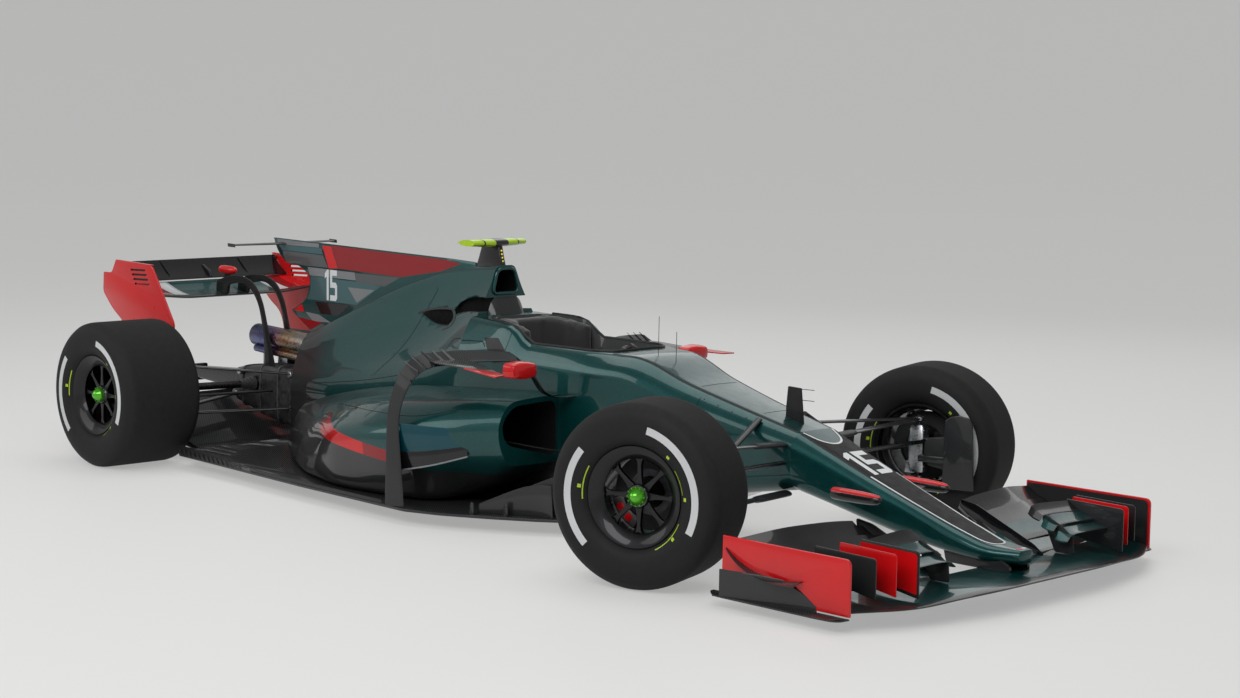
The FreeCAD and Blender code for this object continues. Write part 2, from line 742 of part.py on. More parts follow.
def front_flaps():
    """Four flaps on each side, from the inner tip fence to the endplate, and the vanes across them."""
    outer = mm.wing_half_span - mm.front_plate_thickness - mm.seat_gap
    flaps = []
    for i in range(4):
        back = 92 * i
        flaps.append(wing([
            (-905 + back, 305, 96 + 27 * i, 112, 7, -4, 16 + 6 * i),
            (-880 + back, 600, 92 + 31 * i, 118, 7, -5, 16 + 6 * i),
            (-775 + back * 0.9, outer, 84 + 30 * i, 100, 6, -3, 14 + 5 * i),
        ]))
    fence = prism_y(
        [(-930, 94), (-880, 128), (-620, 238), (-540, 250), (-560, 190), (-760, 120), (-860, 96)], 300, 305
    )
    vanes = []
    for y, front, rear, foot, top in WING_VANES:
        outline = [(rear, foot), (front, foot), (front, top - 16), (front + 14, top), (rear, top)]
        vanes.append(prism_y(outline, y, y + VANE_THICKNESS))
    flaps = fused(flaps + [fence] + vanes).cut(pieces["front_wing_mainplane"].Shape)
    return keep("front_flaps", Part.makeCompound([flaps, mirror(flaps)]))


def front_endplates():
    """The endplates with their footplates and the curved strakes outside."""
    inner = mm.wing_half_span - mm.front_plate_thickness
    plate = prism_y([
        (-1002, 52), (-1004, 150), (-978, 222), (-930, mm.front_plate_top), (-520, mm.front_plate_top),
        (-452, 205), (-431, 120), (-431, 52),
    ], inner, mm.wing_half_span)
    foot = prism_z([(-996, inner), (-985, 930), (-900, 942), (-440, 942), (-385, 893), (-385, inner)], 40, 52)
    strake = prism_z(
        [
            (-860, mm.wing_half_span), (-640, 918), (-470, 940), (-470, 933), (-640, 911),
            (-780, mm.wing_half_span)
        ],
        52, 140
    )
    plate = fused([plate, foot, strake])
    return keep("front_endplates", Part.makeCompound([plate, mirror(plate)]))


def nose_pylons():
    """The two pylons that hang the wing from the nose."""
    hang = prism_y([(-1010, 90), (-1000, 130), (-800, 150), (-760, 90)], 50, 60)
    wing_piece, nose = pieces["front_wing_mainplane"].Shape, pieces["nose_cone"].Shape
    hang = hang.cut(wing_piece).cut(nose)
    return keep("nose_pylons", Part.makeCompound([hang, mirror(hang)]))


def rear_wing_mainplane():
    """The fixed element between the rear endplates."""
    tip = mm.rear_half_span - mm.rear_plate_thickness - mm.seat_gap
    lead, middle = aft(3712), aft(3700)
    return keep("rear_wing_mainplane", wing([
        (lead, -tip, 752, 236, 20, -12, 8), (middle, -240, 732, 250, 22, -12, 8),
        (middle, 240, 732, 250, 22, -12, 8), (lead, tip, 752, 236, 20, -12, 8),
    ]))


def drs_flap():
    """The upper element, which lifts at its leading edge, with an end rib and a pin at each end."""
    tip = mm.rear_half_span - mm.rear_plate_thickness - mm.flap_gap
    lead, height, chord, slope = aft(mm.flap_lead_back), mm.flap_lead_height, mm.flap_chord, mm.flap_slope
    shape = wing([(lead, -tip, height, chord, 10, -8, slope), (lead, tip, height, chord, 10, -8, slope)])
    pivot_s, pivot_z = flap_pivot()
    ribs = [rod((at(pivot_s), y, pivot_z), (at(pivot_s), y + 6, pivot_z), 14) for y in (-tip, tip - 6)]
    pin_end = mm.rear_half_span - 2
    pin = rod((at(pivot_s), -pin_end, pivot_z), (at(pivot_s), pin_end, pivot_z), mm.flap_pin_radius)
    return keep("drs_flap", fused([shape, pin] + ribs))


def flap_pivot():
    """The flap's pivot as (s, height), just ahead of its trailing edge."""
    reach = mm.flap_chord * 0.9
    height = mm.flap_lead_height + reach * sine(mm.flap_slope) - 4
    return aft(mm.flap_lead_back) + reach * cosine(mm.flap_slope), height


def rear_endplates():
    """The rear endplates from the top notch down to the diffuser, with the flap's bearings."""
    inner = mm.rear_half_span - mm.rear_plate_thickness
    back = mm.wheelbase + mm.rear_overhang
    ahead = [
        (3985, 600), (3945, 420), (3925, 150), (3705, 150), (3690, 400), (3590, 540), (3540, 612),
        (3665, 762), (3741, 896), (4056, mm.rear_wing_top), (4084, 850),
    ]
    notch = [(back - 6, 838), (back, 740), (back - 87, 657)]
    plate = prism_y([(aft(s), z) for s, z in ahead] + notch, inner, mm.rear_half_span)
    pivot_s, pivot_z = flap_pivot()
    hole = bore((at(pivot_s), 0, pivot_z), (at(pivot_s), 600, pivot_z), mm.flap_pin_radius + mm.running_fit)
    plate = largest(plate.cut(hole).cut(pieces["diffuser"].Shape))
    return keep("rear_endplates", Part.makeCompound([plate, mirror(plate)]))


def rear_wing_stay():
    """Two swan-neck stays that hold the wing's upper face from the gearbox."""
    outline = [
        (3300, 400), (3372, 600), (3410, 726), (3470, 800), (3560, 832), (3680, 826), (3780, 796),
        (3800, 730), (3690, 730), (3680, 790), (3570, 800), (3500, 776), (3440, 712), (3400, 590),
        (3380, 400),
    ]
    stay = prism_y([(aft(s), z) for s, z in outline], 60, 68)
    stay = largest(stay.cut(pieces["rear_wing_mainplane"].Shape).cut(pieces["gearbox_case"].Shape))
    return keep("rear_wing_stay", Part.makeCompound([stay, mirror(stay)]))


def drs_actuator():
    """The flap's actuator pod on its stalk over the fixed element."""
    pod = tapered([(aft(3716), 8), (aft(3750), 21), (aft(3850), 21)], 0, 849)
    stalk = prism_y([(aft(3760), 845), (aft(3840), 845), (aft(3830), 700), (aft(3770), 700)], -5, 5)
    stalk = stalk.cut(pieces["rear_wing_mainplane"].Shape)
    stalk = max(stalk.Solids, key=lambda solid: solid.BoundBox.ZMax)
    return keep("drs_actuator", fused([pod, stalk]))


def roll_hoop_camera():
    """The camera pod on its pedestal above the intake."""
    stalk = prism_y(
        [(1715, 985), (1735, 1085), (1850, 1085), (1880, 985)], -13, 13
    ).cut(pieces["engine_cover"].Shape)
    stalk = max(stalk.Solids, key=lambda solid: solid.BoundBox.ZMax)
    pod = wing(
        [
            (1735, -150, 1098, 110, 26, 0, 0), (1720, 0, 1096, 140, 34, 0, 0),
            (1735, 150, 1098, 110, 26, 0, 0)
        ]
    )
    return keep("roll_hoop_camera", fused([stalk, pod]))


def bargeboards():
    """Three upright vanes on each side between the wheel and the sidepod, on the floor's edge."""
    vanes = []
    for i in range(3):
        start, out = 645 + 105 * i, 295 + 98 * i
        vanes.append(prism_z([
            (start, out), (start + 150, out + 50), (start + 290, out + 150), (start + 290, out + 144),
            (start + 150, out + 43), (start, out - 6),
        ], FLOOR_TOP + mm.seat_gap, 300 - 50 * i))
    return keep("bargeboards", Part.makeCompound(vanes + [mirror(vane) for vane in vanes]))


def quad(s, y, z, long, thick):
    """A level rectangle from the corner (s, y, z), long along the car and thick across it."""
    corners = ((s, y), (s + long, y), (s + long, y + thick), (s, y + thick))
    return [Vector(at(along), across, z) for along, across in corners]


def side_vanes():
    """The arch that runs from the floor's corner up and in over the sidepod's shoulder to the tub."""
    foot = quad(1425, 780, FLOOR_TOP + mm.seat_gap, 120, 8)
    waist = quad(1505, 746, 400, 70, 8)
    shoulder = quad(1440, 668, 648, 60, 16)
    top = wing(
        [
            (1300, mm.tub_half_width - 20, 652, 80, 8, 1, 0), (1400, 480, 658, 70, 8, 1, 0),
            (1440, 684, 644, 60, 8, 1, 0)
        ]
    )
    arch = largest(fused([loft([foot, waist, shoulder]), top]).cut(pieces["monocoque"].Shape))
    return keep("side_vanes", Part.makeCompound([arch, mirror(arch)]))


def ring_of(*corners):
    """A ring of points from (s, y, z) corners."""
    return [Vector(at(s), y, z) for s, y, z in corners]


def mirrors():
    """The two mirrors on their curved stalks."""
    foot = mm.tub_half_width - 8
    shell = loft([
        eased_ring(at(1010), [(560, 664), (560, 626), (430, 622), (430, 660)], [10] * 4),
        eased_ring(at(1070), [(580, 676), (580, 614), (415, 610), (415, 672)], [14] * 4),
    ])
    stalk = loft([
        ring_of((1020, 440, 632), (1060, 440, 632), (1060, 450, 632), (1020, 450, 632)),
        ring_of((990, 400, 540), (1040, 400, 540), (1040, 404, 548), (990, 404, 548)),
        ring_of((1000, foot, 520), (1060, foot, 520), (1060, foot, 530), (1000, foot, 530)),
    ])
    one = fused([shell, largest(stalk.cut(pieces["monocoque"].Shape))])
    return keep("mirrors", Part.makeCompound([one, mirror(one)]))


def nose_cameras():
    """The two camera housings beside the nose and the sensor plate on the top deck."""
    pod = tapered([(-568, 12), (-545, 21), (-340, 24)], 198, 302)
    arm = blade((at(-440), 90, 296), (at(-440), 190, 302), 90, 9).cut(pieces["nose_cone"].Shape)
    one = fused([pod, largest(arm)])
    plate = prism_y([(-20, 490), (-5, 640), (60, 640), (70, 480)], -3, 3).cut(pieces["monocoque"].Shape)
    return keep("nose_cameras", Part.makeCompound([one, mirror(one), largest(plate)]))


def tapered(stations, y, z, sides=12):
    """A pod along the car at (y, z), round through (s, radius) stations."""
    return loft([round_ring(Vector(at(s), y, z), (1, 0, 0), radius, sides) for s, radius in stations])


def wishbone(y, z, inner_y, front, rear, chord=46, thick=17, bored=True):
    """One wishbone: two arms from the apex to their pickups (s, z) at inner_y."""
    x = at(front[2])
    parts = [rod((x, y, z - 8), (x, y, z + 8), 19)]
    for s, height, _ in (front, rear):
        parts.append(blade((x, y, z), (at(s), inner_y, height), chord, thick))
    shape = fused(parts)
    if bored:
        shape = shape.cut(bore((x, y, z - 30), (x, y, z + 30), mm.kingpin_radius + mm.running_fit))
    return shape


def front_wishbones():
    """Upper and lower wishbones and the push rods."""
    tub = pieces["monocoque"].Shape
    axle = mm.tyre_radius
    upper = wishbone(KINGPIN_Y, axle + mm.arm_spread, 120, (-40, 440, 0), (330, 450, 0), thick=12)
    lower = wishbone(KINGPIN_Y, axle - mm.arm_spread, 110, (-40, 250, 0), (360, 232, 0), thick=14)
    push = blade((at(60), 600, 236), (at(90), 130, 520), 34, 16)
    parts = [largest(arm.cut(tub)) for arm in (upper, fused([lower, push]))]
    return keep("front_wishbones", Part.makeCompound(parts + [mirror(part) for part in parts]))


def rear_wishbones():
    """Rear wishbones, toe links and driveshafts."""
    case = pieces["gearbox_case"].Shape
    apex = mm.wheelbase
    y = REAR_UPRIGHT_Y
    upper = wishbone(
        y, mm.tyre_radius + mm.arm_spread, 60, (aft(3150), 392, apex), (aft(3560), 372, apex), thick=12,
        bored=False
    )
    lower = wishbone(
        y, mm.tyre_radius - mm.arm_spread, 60, (aft(3130), 232, apex), (aft(3600), 262, apex), thick=14,
        bored=False
    )
    shaft = rod((REAR_AXLE, 40, 320), (REAR_AXLE, y - 28, mm.tyre_radius), 22)
    parts = [largest(arm.cut(case)) for arm in (upper, lower, shaft)]
    return keep("rear_wishbones", Part.makeCompound(parts + [mirror(part) for part in parts]))


def spindle(y, s, inboard, reach):
    """The spindle that carries a left wheel, from the upright outwards."""
    return rod((at(s), y + inboard, mm.tyre_radius), (at(s), y + reach, mm.tyre_radius), mm.spindle_radius)


def upright_body(s, y, height=96):
    """The upright's box between its ball joints."""
    low, high = mm.tyre_radius - height, mm.tyre_radius + height
    return loft([
        level_ring(at(s), y, low, 30, 28), level_ring(at(s), y, mm.tyre_radius - 40, 32, 38),
        level_ring(at(s), y, mm.tyre_radius + 40, 32, 38), level_ring(at(s), y, high, 26, 26),
    ])


def level_ring(x, y, z, half_x, half_y):
    """A level rectangle of points round a middle."""
    corners = ((-1, -1), (1, -1), (1, 1), (-1, 1))
    return [Vector(x + along * half_x, y + across * half_y, z) for along, across in corners]


def caliper(s, y, inboard, outboard, start):
    """The brake caliper, two cheeks and a bridge that straddle the disc with 5 mm on each side."""
    sweep = 60
    slot = mm.disc_radius + 5
    return fused([
        sector(s, y + inboard, y - mm.disc_thickness - 5, 96, 156, start, sweep),
        sector(s, y + 5, y + outboard, 96, 156, start, sweep),
        sector(s, y + inboard, y + outboard, slot, 156, start, sweep),
    ])


def front_upright(side, label):
    """One front upright with its kingpin pins, spindle, steering arm, caliper and brake duct."""
    y, axle = KINGPIN_Y, mm.tyre_radius
    center = FRONT_WHEEL_Y
    reach = mm.tyre_width_front / 2 - mm.rim_inset - 34
    parts = [
        upright_body(0, y),
        rod((at(0), y, axle - mm.arm_spread - 11), (at(0), y, axle + mm.arm_spread + 11), mm.kingpin_radius),
        spindle(center, 0, -90, reach),
        box(
            (at(-mm.steering_arm - 15), y - 15, mm.tie_rod_height - 20),
            (at(-20), y + 15, mm.tie_rod_height - mm.tie_rod_radius - 1)
        ),
        caliper(0, center, -66, 18, mm.caliper_start),
        box((at(70), y + 20, axle - 110), (at(20), center - 50, axle - 60)),
    ]
    duct = prism_y([(-262, 190), (-250, 470), (-190, 490), (-135, 470), (-130, 190)], y - 82, y - 70)
    duct = duct.fuse(box((at(-150), y - 82, 290), (at(-25), y - 20, 318)))
    made = fused(parts + [duct])
    made.rotate(Vector(at(0), y, 0), Vector(0, 0, 1), side * float(mm.steer_rest))
    if side == RIGHT:
        made = mirror(made)
    return keep(label, made)


def rear_uprights():
    """Both rear uprights with spindles, calipers and brake drums."""
    center = REAR_WHEEL_Y
    reach = mm.tyre_width_rear / 2 - mm.rim_inset - 34
    body = upright_body(mm.wheelbase, REAR_UPRIGHT_Y, mm.arm_spread - 8 - mm.seat_gap)
    upright = fused([
        body,
        rod(
            (REAR_AXLE, REAR_UPRIGHT_Y + 4, mm.tyre_radius), (REAR_AXLE, center + reach, mm.tyre_radius),
            mm.spindle_radius
        ),
        caliper(mm.wheelbase, center, -66, 18, mm.caliper_start),
        box(
            (at(mm.wheelbase + 60), REAR_UPRIGHT_Y + 12, mm.tyre_radius - 110),
            (at(mm.wheelbase + 10), center - 50, mm.tyre_radius - 60)
        ),
    ])
    upright = largest(upright.cut(pieces["rear_wishbones"].Shape))
    return keep("rear_uprights", Part.makeCompound([upright, mirror(upright)]))


def steering_rack():
    """The rack bar with its tie rods and their flat end eyes, across the car."""
    shift = mm.steering_arm * sine(mm.steer_rest)
    s = rack_station()
    low, high = shift - KINGPIN_Y, shift + KINGPIN_Y
    bar = rod((at(s), low, mm.tie_rod_height), (at(s), high, mm.tie_rod_height), mm.tie_rod_radius)
    return keep("steering_rack", bar)


def steering_column(make, radius, more):
    """The steering column, or its bearing's hole, from the wheel's hub down into the tub."""
    tilt = math.radians(mm.column_tilt)
    hub = Vector(at(mm.steering_wheel_back), 0, mm.steering_wheel_height)
    length = (mm.steering_wheel_back - mm.footwell_front + 60) / math.cos(tilt) + more
    return make(hub, hub + Vector(math.cos(tilt), 0, -math.sin(tilt)) * length, radius)


def steering_wheel():
    """The flat-topped steering wheel with its column, turned with the front wheels."""
    plate = Part.makePolygon([Vector(0, y, z) for y, z in (
        (-140, 30), (-140, -40), (-120, -88), (-60, -96), (-40, -60), (40, -60), (60, -96), (120, -88),
        (140, -40), (140, 30), (118, 66), (60, 74), (-60, 74), (-118, 66), (-140, 30),
    )])
    slab = Part.Face(plate).extrude(Vector(30, 0, 0))
    for y in (-98, 98):
        slab = slab.cut(bore((-10, y, -10), (50, y, -10), 24, 10))
    hub = Vector(at(mm.steering_wheel_back), 0, mm.steering_wheel_height)
    slab.rotate(Vector(), Vector(1, 0, 0), -9 * float(mm.steer_rest))
    slab.rotate(Vector(), Vector(0, 1, 0), float(mm.column_tilt))
    slab.translate(hub)
    return keep("steering_wheel", fused([slab, steering_column(rod, mm.column_radius, 0)]))


def tyre(width):
    """A slick tyre round the X axis, +X outwards."""
    half, shoulder = width / 2, mm.tyre_shoulder
    bead = mm.rim_radius - mm.rim_bead + mm.seat_gap
    outside = [
        (half - mm.rim_inset - 16, bead), (half, bead + 40), (half, mm.tyre_radius - shoulder),
        (half - shoulder * 0.3, mm.tyre_radius - shoulder * 0.35), (half - shoulder, mm.tyre_radius),
    ]
    return turned([(-along, radius) for along, radius in outside] + outside[::-1], TYRE_SIDES)


def rim(width):
    """A dished wheel round the X axis: barrel, lip, spokes, hub with the brake disc, and centre nut."""
    outer = width / 2 - mm.rim_inset
    face = outer - mm.spoke_face
    hole = (mm.spindle_radius + mm.running_fit) / math.cos(math.pi / HUB_SIDES)
    seat_radius = mm.rim_radius - mm.rim_bead
    inside = seat_radius - mm.rim_wall
    hub = turned([
        (-mm.disc_thickness, hole), (-mm.disc_thickness, mm.disc_radius), (0.0, mm.disc_radius),
        (0.0, mm.hub_radius + 12), (face - 22, mm.hub_radius), (face + 8, mm.hub_radius - 6),
        (face + 8, mm.nut_radius), (outer - 4, 19), (outer + 6, 12), (outer + 8, 0.0), (face + 6, 0.0),
        (face + 6, hole),
    ], HUB_SIDES)
    barrel = turned([
        (-outer, inside), (-outer, mm.rim_radius), (8 - outer, mm.rim_radius), (8 - outer, seat_radius),
        (outer - 8, seat_radius), (outer - 8, mm.rim_radius), (outer, mm.rim_radius),
        (face + 12, mm.rim_opening), (face + 4, mm.rim_opening), (outer - 26, inside),
    ], TYRE_SIDES)
    parts = [hub, barrel]
    low, high = face - 20, face - 2
    half = [(mm.hub_radius - 8, 14), (mm.rim_opening - 12, 9), (mm.rim_radius - 11, 18)]
    outline = half + [(radius, -across) for radius, across in reversed(half)]
    for k in range(int(mm.spoke_count)):
        points = [Vector(low, across, radius) for radius, across in outline]
        spoke = Part.Face(Part.makePolygon(points + points[:1])).extrude(Vector(high - low, 0, 0))
        spoke.rotate(Vector(), Vector(1, 0, 0), 360 * k / mm.spoke_count)
        parts.append(spoke)
    return fused(parts)


def wheel(corner, side, front):
    """One tyre and its rim, put on the axle; the front ones stand turned with their uprights."""
    width = mm.tyre_width_front if front else mm.tyre_width_rear
    made = [keep(f"tyre_{corner}", tyre(width)), keep(f"rim_{corner}", rim(width))]
    if front:
        turn = mm.steer_rest
        x = FRONT_AXLE - side * mm.kingpin_inset * sine(turn)
        y = side * (KINGPIN_Y + mm.kingpin_inset * cosine(turn))
    else:
        turn, x, y = 0, REAR_AXLE, side * REAR_WHEEL_Y
    for obj in made:
        place(obj, x, y, mm.tyre_radius, Rotation(Vector(0, 0, 1), float(turn) + 90 * side))


monocoque()
nose_cone()
engine_cover()
shark_fin()
keep("t_wing", t_wing_shape())
sidepod(RIGHT, "sidepod_right")
sidepod(LEFT, "sidepod_left")
headrest()
seat()
floor()
plank()
diffuser()
engine_block()
gearbox_case()
exhaust()
front_wing_mainplane()
front_flaps()
front_endplates()
nose_pylons()
rear_wing_mainplane()
drs_flap()
rear_endplates()
rear_wing_stay()
drs_actuator()
roll_hoop_camera()
bargeboards()
side_vanes()
mirrors()
nose_cameras()
front_wishbones()
rear_wishbones()
front_upright(RIGHT, "upright_fr")
front_upright(LEFT, "upright_fl")
rear_uprights()
steering_rack()
steering_wheel()
wheel("fr", RIGHT, True)
wheel("fl", LEFT, True)
wheel("rr", RIGHT, False)
wheel("rl", LEFT, False)

doc.recompute()
failed = [obj.Label for obj in doc.Objects if "Invalid" in obj.State or "Error" in obj.State]
for label, obj in pieces.items():
    if obj.Shape.isNull() or not obj.Shape.isValid():
        failed.append(label)
if failed:
    raise RuntimeError(f"these did not build: {failed}")
os.makedirs("parts", exist_ok=True)
for label, obj in pieces.items():
    obj.Shape.exportStep(f"parts/{label}.step")
    bounds = obj.Shape.optimalBoundingBox(False, False)
    print(f"{label:22s} solids {len(obj.Shape.Solids)} volume {obj.Shape.Volume / 1e6:8.2f} l "
          f"x {bounds.XMin:8.1f}..{bounds.XMax:8.1f} y {bounds.YMin:7.1f}..{bounds.YMax:7.1f} "
          f"z {bounds.ZMin:6.1f}..{bounds.ZMax:7.1f}")
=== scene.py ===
# Open wheel racing car in dark green, black and red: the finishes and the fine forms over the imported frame.
# X runs to the nose, Y to the car's left and Z up, in metres. A station s is the distance behind the front
# axle, in millimetres, and the tables of stations below are in millimetres as well.
import bpy, bmesh, math
import numpy as np
from mathutils import Matrix, Vector
from mathutils.bvhtree import BVHTree
from mathutils.interpolate import poly_3d_calc


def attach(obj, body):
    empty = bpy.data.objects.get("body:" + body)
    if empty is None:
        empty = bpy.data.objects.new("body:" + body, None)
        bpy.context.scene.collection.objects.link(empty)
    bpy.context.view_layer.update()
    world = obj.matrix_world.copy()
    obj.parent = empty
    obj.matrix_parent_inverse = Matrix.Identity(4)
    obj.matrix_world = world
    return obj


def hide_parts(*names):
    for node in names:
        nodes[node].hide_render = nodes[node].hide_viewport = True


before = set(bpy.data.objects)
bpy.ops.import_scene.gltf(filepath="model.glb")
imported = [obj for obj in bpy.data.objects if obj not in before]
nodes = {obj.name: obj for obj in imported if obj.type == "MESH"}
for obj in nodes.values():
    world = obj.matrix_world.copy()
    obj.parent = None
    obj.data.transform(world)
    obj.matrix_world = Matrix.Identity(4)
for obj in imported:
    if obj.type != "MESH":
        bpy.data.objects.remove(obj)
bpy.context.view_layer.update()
print("frame loaded:", len(nodes), "nodes")

car = {
    "frontAxle": 1.4975,  # x of the front axle
    "wheelbase": 3450,
    "hub": 335,  # the axles' height, which is the tyres' radius
    "restSteer": math.radians(18),  # the front wheels stand turned to the left
}
sides = (-1, 1)  # right, left
sharpAngle = 32  # degrees up to which skins are shaded smooth
bladeSteps = 24  # points round a wing section


def at(s):
    return car["frontAxle"] - s / 1000


def mm(s, y, z):
    return Vector((at(s), y / 1000, z / 1000))


# Meshes
def newMesh(name, verts, faces):
    mesh = bpy.data.meshes.new(name)
    mesh.from_pydata([tuple(v) for v in verts], [], faces)
    mesh.update()
    obj = bpy.data.objects.new(name, mesh)
    bpy.context.scene.collection.objects.link(obj)
    return obj


def tidy(obj, merge=1e-5):
    work = bmesh.new()
    work.from_mesh(obj.data)
    bmesh.ops.remove_doubles(work, verts=work.verts, dist=merge)
    bmesh.ops.recalc_face_normals(work, faces=work.faces)
    work.to_mesh(obj.data)
    work.free()
    return obj


def bake(obj):
    # the modifiers' result becomes the mesh
    graph = bpy.context.evaluated_depsgraph_get()
    graph.update()
    mesh = bpy.data.meshes.new_from_object(obj.evaluated_get(graph))
    obj.modifiers.clear()
    obj.data = mesh
    return obj


def modify(obj, kind, **settings):
    modifier = obj.modifiers.new(kind.title(), kind)
    for name, value in settings.items():
        setattr(modifier, name, value)
    return bake(obj)


def drop(obj):
    bpy.data.objects.remove(obj)


def join(name, pieces):
    # one object from several, the materials kept
    verts, faces, slots, marks = [], [], [], []
    for piece in pieces:
        start = len(verts)
        verts += [v.co.copy() for v in piece.data.vertices]
        own = list(piece.data.materials)
        for material in own:
            if material not in slots:
                slots.append(material)
        for face in piece.data.polygons:
            faces.append([start + i for i in face.vertices])
            marks.append(slots.index(own[face.material_index]) if own else 0)
        drop(piece)
    obj = newMesh(name, verts, faces)
    for material in slots:
        obj.data.materials.append(material)
    obj.data.polygons.foreach_set("material_index", marks)
    return obj


def paintWith(obj, material):
    obj.data.materials.clear()
    obj.data.materials.append(material)
    return obj


def smoothed(mesh, angle=sharpAngle):
    # smooth shading up to an angle
    mesh.polygons.foreach_set("use_smooth", [True] * len(mesh.polygons))
    mesh.set_sharp_from_angle(angle=math.radians(angle))
    return mesh


def ready(obj, body, material=None, hides=(), angle=sharpAngle):
    # shading, a finish, the body it rides on, and the CAD nodes that it stands for
    if material:
        paintWith(obj, material)
    smoothed(obj.data, angle).update()
    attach(obj, body)
    if hides:
        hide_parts(*hides)
    return obj


def mirrored(obj, name=None):
    # the same piece on the other side of the car, its faces turned the right way
    other = obj.copy()
    other.data = obj.data.copy()
    other.name = name or obj.name.replace("Right", "Left")
    bpy.context.scene.collection.objects.link(other)
    work = bmesh.new()
    work.from_mesh(other.data)
    bmesh.ops.scale(work, vec=(1, -1, 1), verts=work.verts)
    bmesh.ops.reverse_faces(work, faces=work.faces)
    work.to_mesh(other.data)
    work.free()
    return other


def bothSides(obj, body, name, hides=()):
    # a left piece and its twin on the right
    other = mirrored(obj, name + "Right")
    obj.name = name + "Left"
    ready(obj, body, hides=hides)
    ready(other, body, hides=hides)


def carve(obj, cutter):
    # cuts a piece, which keeps the cutter's finish on the cut
    modifier = obj.modifiers.new("Carve", "BOOLEAN")
    modifier.operation, modifier.object, modifier.solver = "DIFFERENCE", cutter, "EXACT"
    modifier.material_mode = "TRANSFER"
    bake(obj)
    drop(cutter)
    return obj


def soften(obj, width, segments=2):
    # rounds the sharp edges of a hard piece, in metres
    return modify(obj, "BEVEL", width=width, segments=segments, limit_method="ANGLE",
                  angle_limit=math.radians(30), use_clamp_overlap=True)


def slopes(xs, ys):
    # a curve through the rows of a table that never overshoots them
    steps = np.diff(xs)[:, None]
    rise = np.diff(ys, axis=0) / steps
    out = np.zeros_like(ys)
    out[0], out[-1] = rise[0], rise[-1]
    for k in range(1, len(xs) - 1):
        before, after = rise[k - 1], rise[k]
        same = before * after > 0
        w1 = 2 * steps[k] + steps[k - 1]
        w2 = steps[k] + 2 * steps[k - 1]
        with np.errstate(divide="ignore", invalid="ignore"):
            mean = (w1 + w2) / (w1 / before + w2 / after)
        out[k] = np.where(same, mean, 0.0)
    return out


def flowing(rows, spacing):
    # the rows of a station table, the first number in each its place, filled in at the spacing
    rows = np.array(rows, float)
    xs, ys = rows[:, 0], rows[:, 1:]
    slope = slopes(xs, ys)
    places = set()
    for a, b in zip(xs, xs[1:]):
        count = max(1, int(round(abs(b - a) / spacing)))
        places |= {a + (b - a) * k / count for k in range(count + 1)}
    out = []
    for x in sorted(places):
        k = min(max(int(np.searchsorted(xs, x)) - 1, 0), len(xs) - 2)
        h = xs[k + 1] - xs[k]
        t = (x - xs[k]) / h
        value = ((2 * t**3 - 3 * t**2 + 1) * ys[k] + (t**3 - 2 * t**2 + t) * h * slope[k]
                 + (3 * t**2 - 2 * t**3) * ys[k + 1] + (t**3 - t**2) * h * slope[k + 1])
        out.append((x, value))
    return out


def twinned(half):
    # the left half of an outline of (y, z) and its twin on the right
    return half + [(-y, z) for y, z in reversed(half)]


def widened(half):
    # the same for a plan outline of (s, y)
    return half + [(s, -y) for s, y in reversed(half)]


def softRing(corners, radii, arcSteps=5, sideSteps=3, bulge=0.0):
    # a closed outline with rounded corners and slightly crowned sides, as 2-D points
    pts = [np.array(c, float) for c in corners]
    n = len(pts)
    ends = []
    for i, p in enumerate(pts):
        a, b = pts[i - 1] - p, pts[(i + 1) % n] - p
        la, lb = np.linalg.norm(a) + 1e-9, np.linalg.norm(b) + 1e-9
        reach = min(radii[i], 0.48 * la, 0.48 * lb)
        ends.append((p + a / la * reach, p, p + b / lb * reach))
    out = []
    middle = sum(pts) / n
    for i, (start, p, finish) in enumerate(ends):
        for k in range(arcSteps + 1):
            t = k / arcSteps
            out.append((1 - t) ** 2 * start + 2 * t * (1 - t) * p + t**2 * finish)
        after = ends[(i + 1) % n][0]
        side = after - finish
        normal = np.array([side[1], -side[0]])
        if normal @ (finish + side / 2 - middle) < 0:
            normal = -normal
        for k in range(1, sideSteps + 1):
            t = k / (sideSteps + 1)
            out.append(finish + side * t + normal * (bulge * 4 * t * (1 - t)))
    return out


def skinOver(name, rings, capped=True):
    # a surface through rings with as many points each
    count = len(rings[0])
    verts = [p for ring in rings for p in ring]
    faces = []
    for k in range(len(rings) - 1):
        for i in range(count):
            j = (i + 1) % count
            faces.append((k * count + i, k * count + j, (k + 1) * count + j, (k + 1) * count + i))
    if capped:
        faces += [tuple(range(count)), tuple((len(rings) - 1) * count + i for i in range(count))]
    return newMesh(name, verts, faces)


def lathe(name, profile, steps, closed=True):
    # (along, radius) points turned about the X axis, in millimetres
    verts, faces = [], []
    n = len(profile)
    for k in range(steps):
        turn = 2 * math.pi * k / steps
        verts += [(a / 1000, r / 1000 * math.sin(turn), r / 1000 * math.cos(turn)) for a, r in profile]
    for k in range(steps):
        for i in range(n if closed else n - 1):
            j = (i + 1) % n
            k2 = (k + 1) % steps
            faces.append((k * n + i, k * n + j, k2 * n + j, k2 * n + i))
    obj = newMesh(name, verts, faces)
    tidy(obj, 1e-6)
    layer = obj.data.uv_layers.new(name="UVMap")  # radius and side of a turned piece
    for loop in obj.data.loops:
        p = obj.data.vertices[loop.vertex_index].co
        layer.data[loop.index].uv = (math.hypot(p.y, p.z), p.x)
    return obj


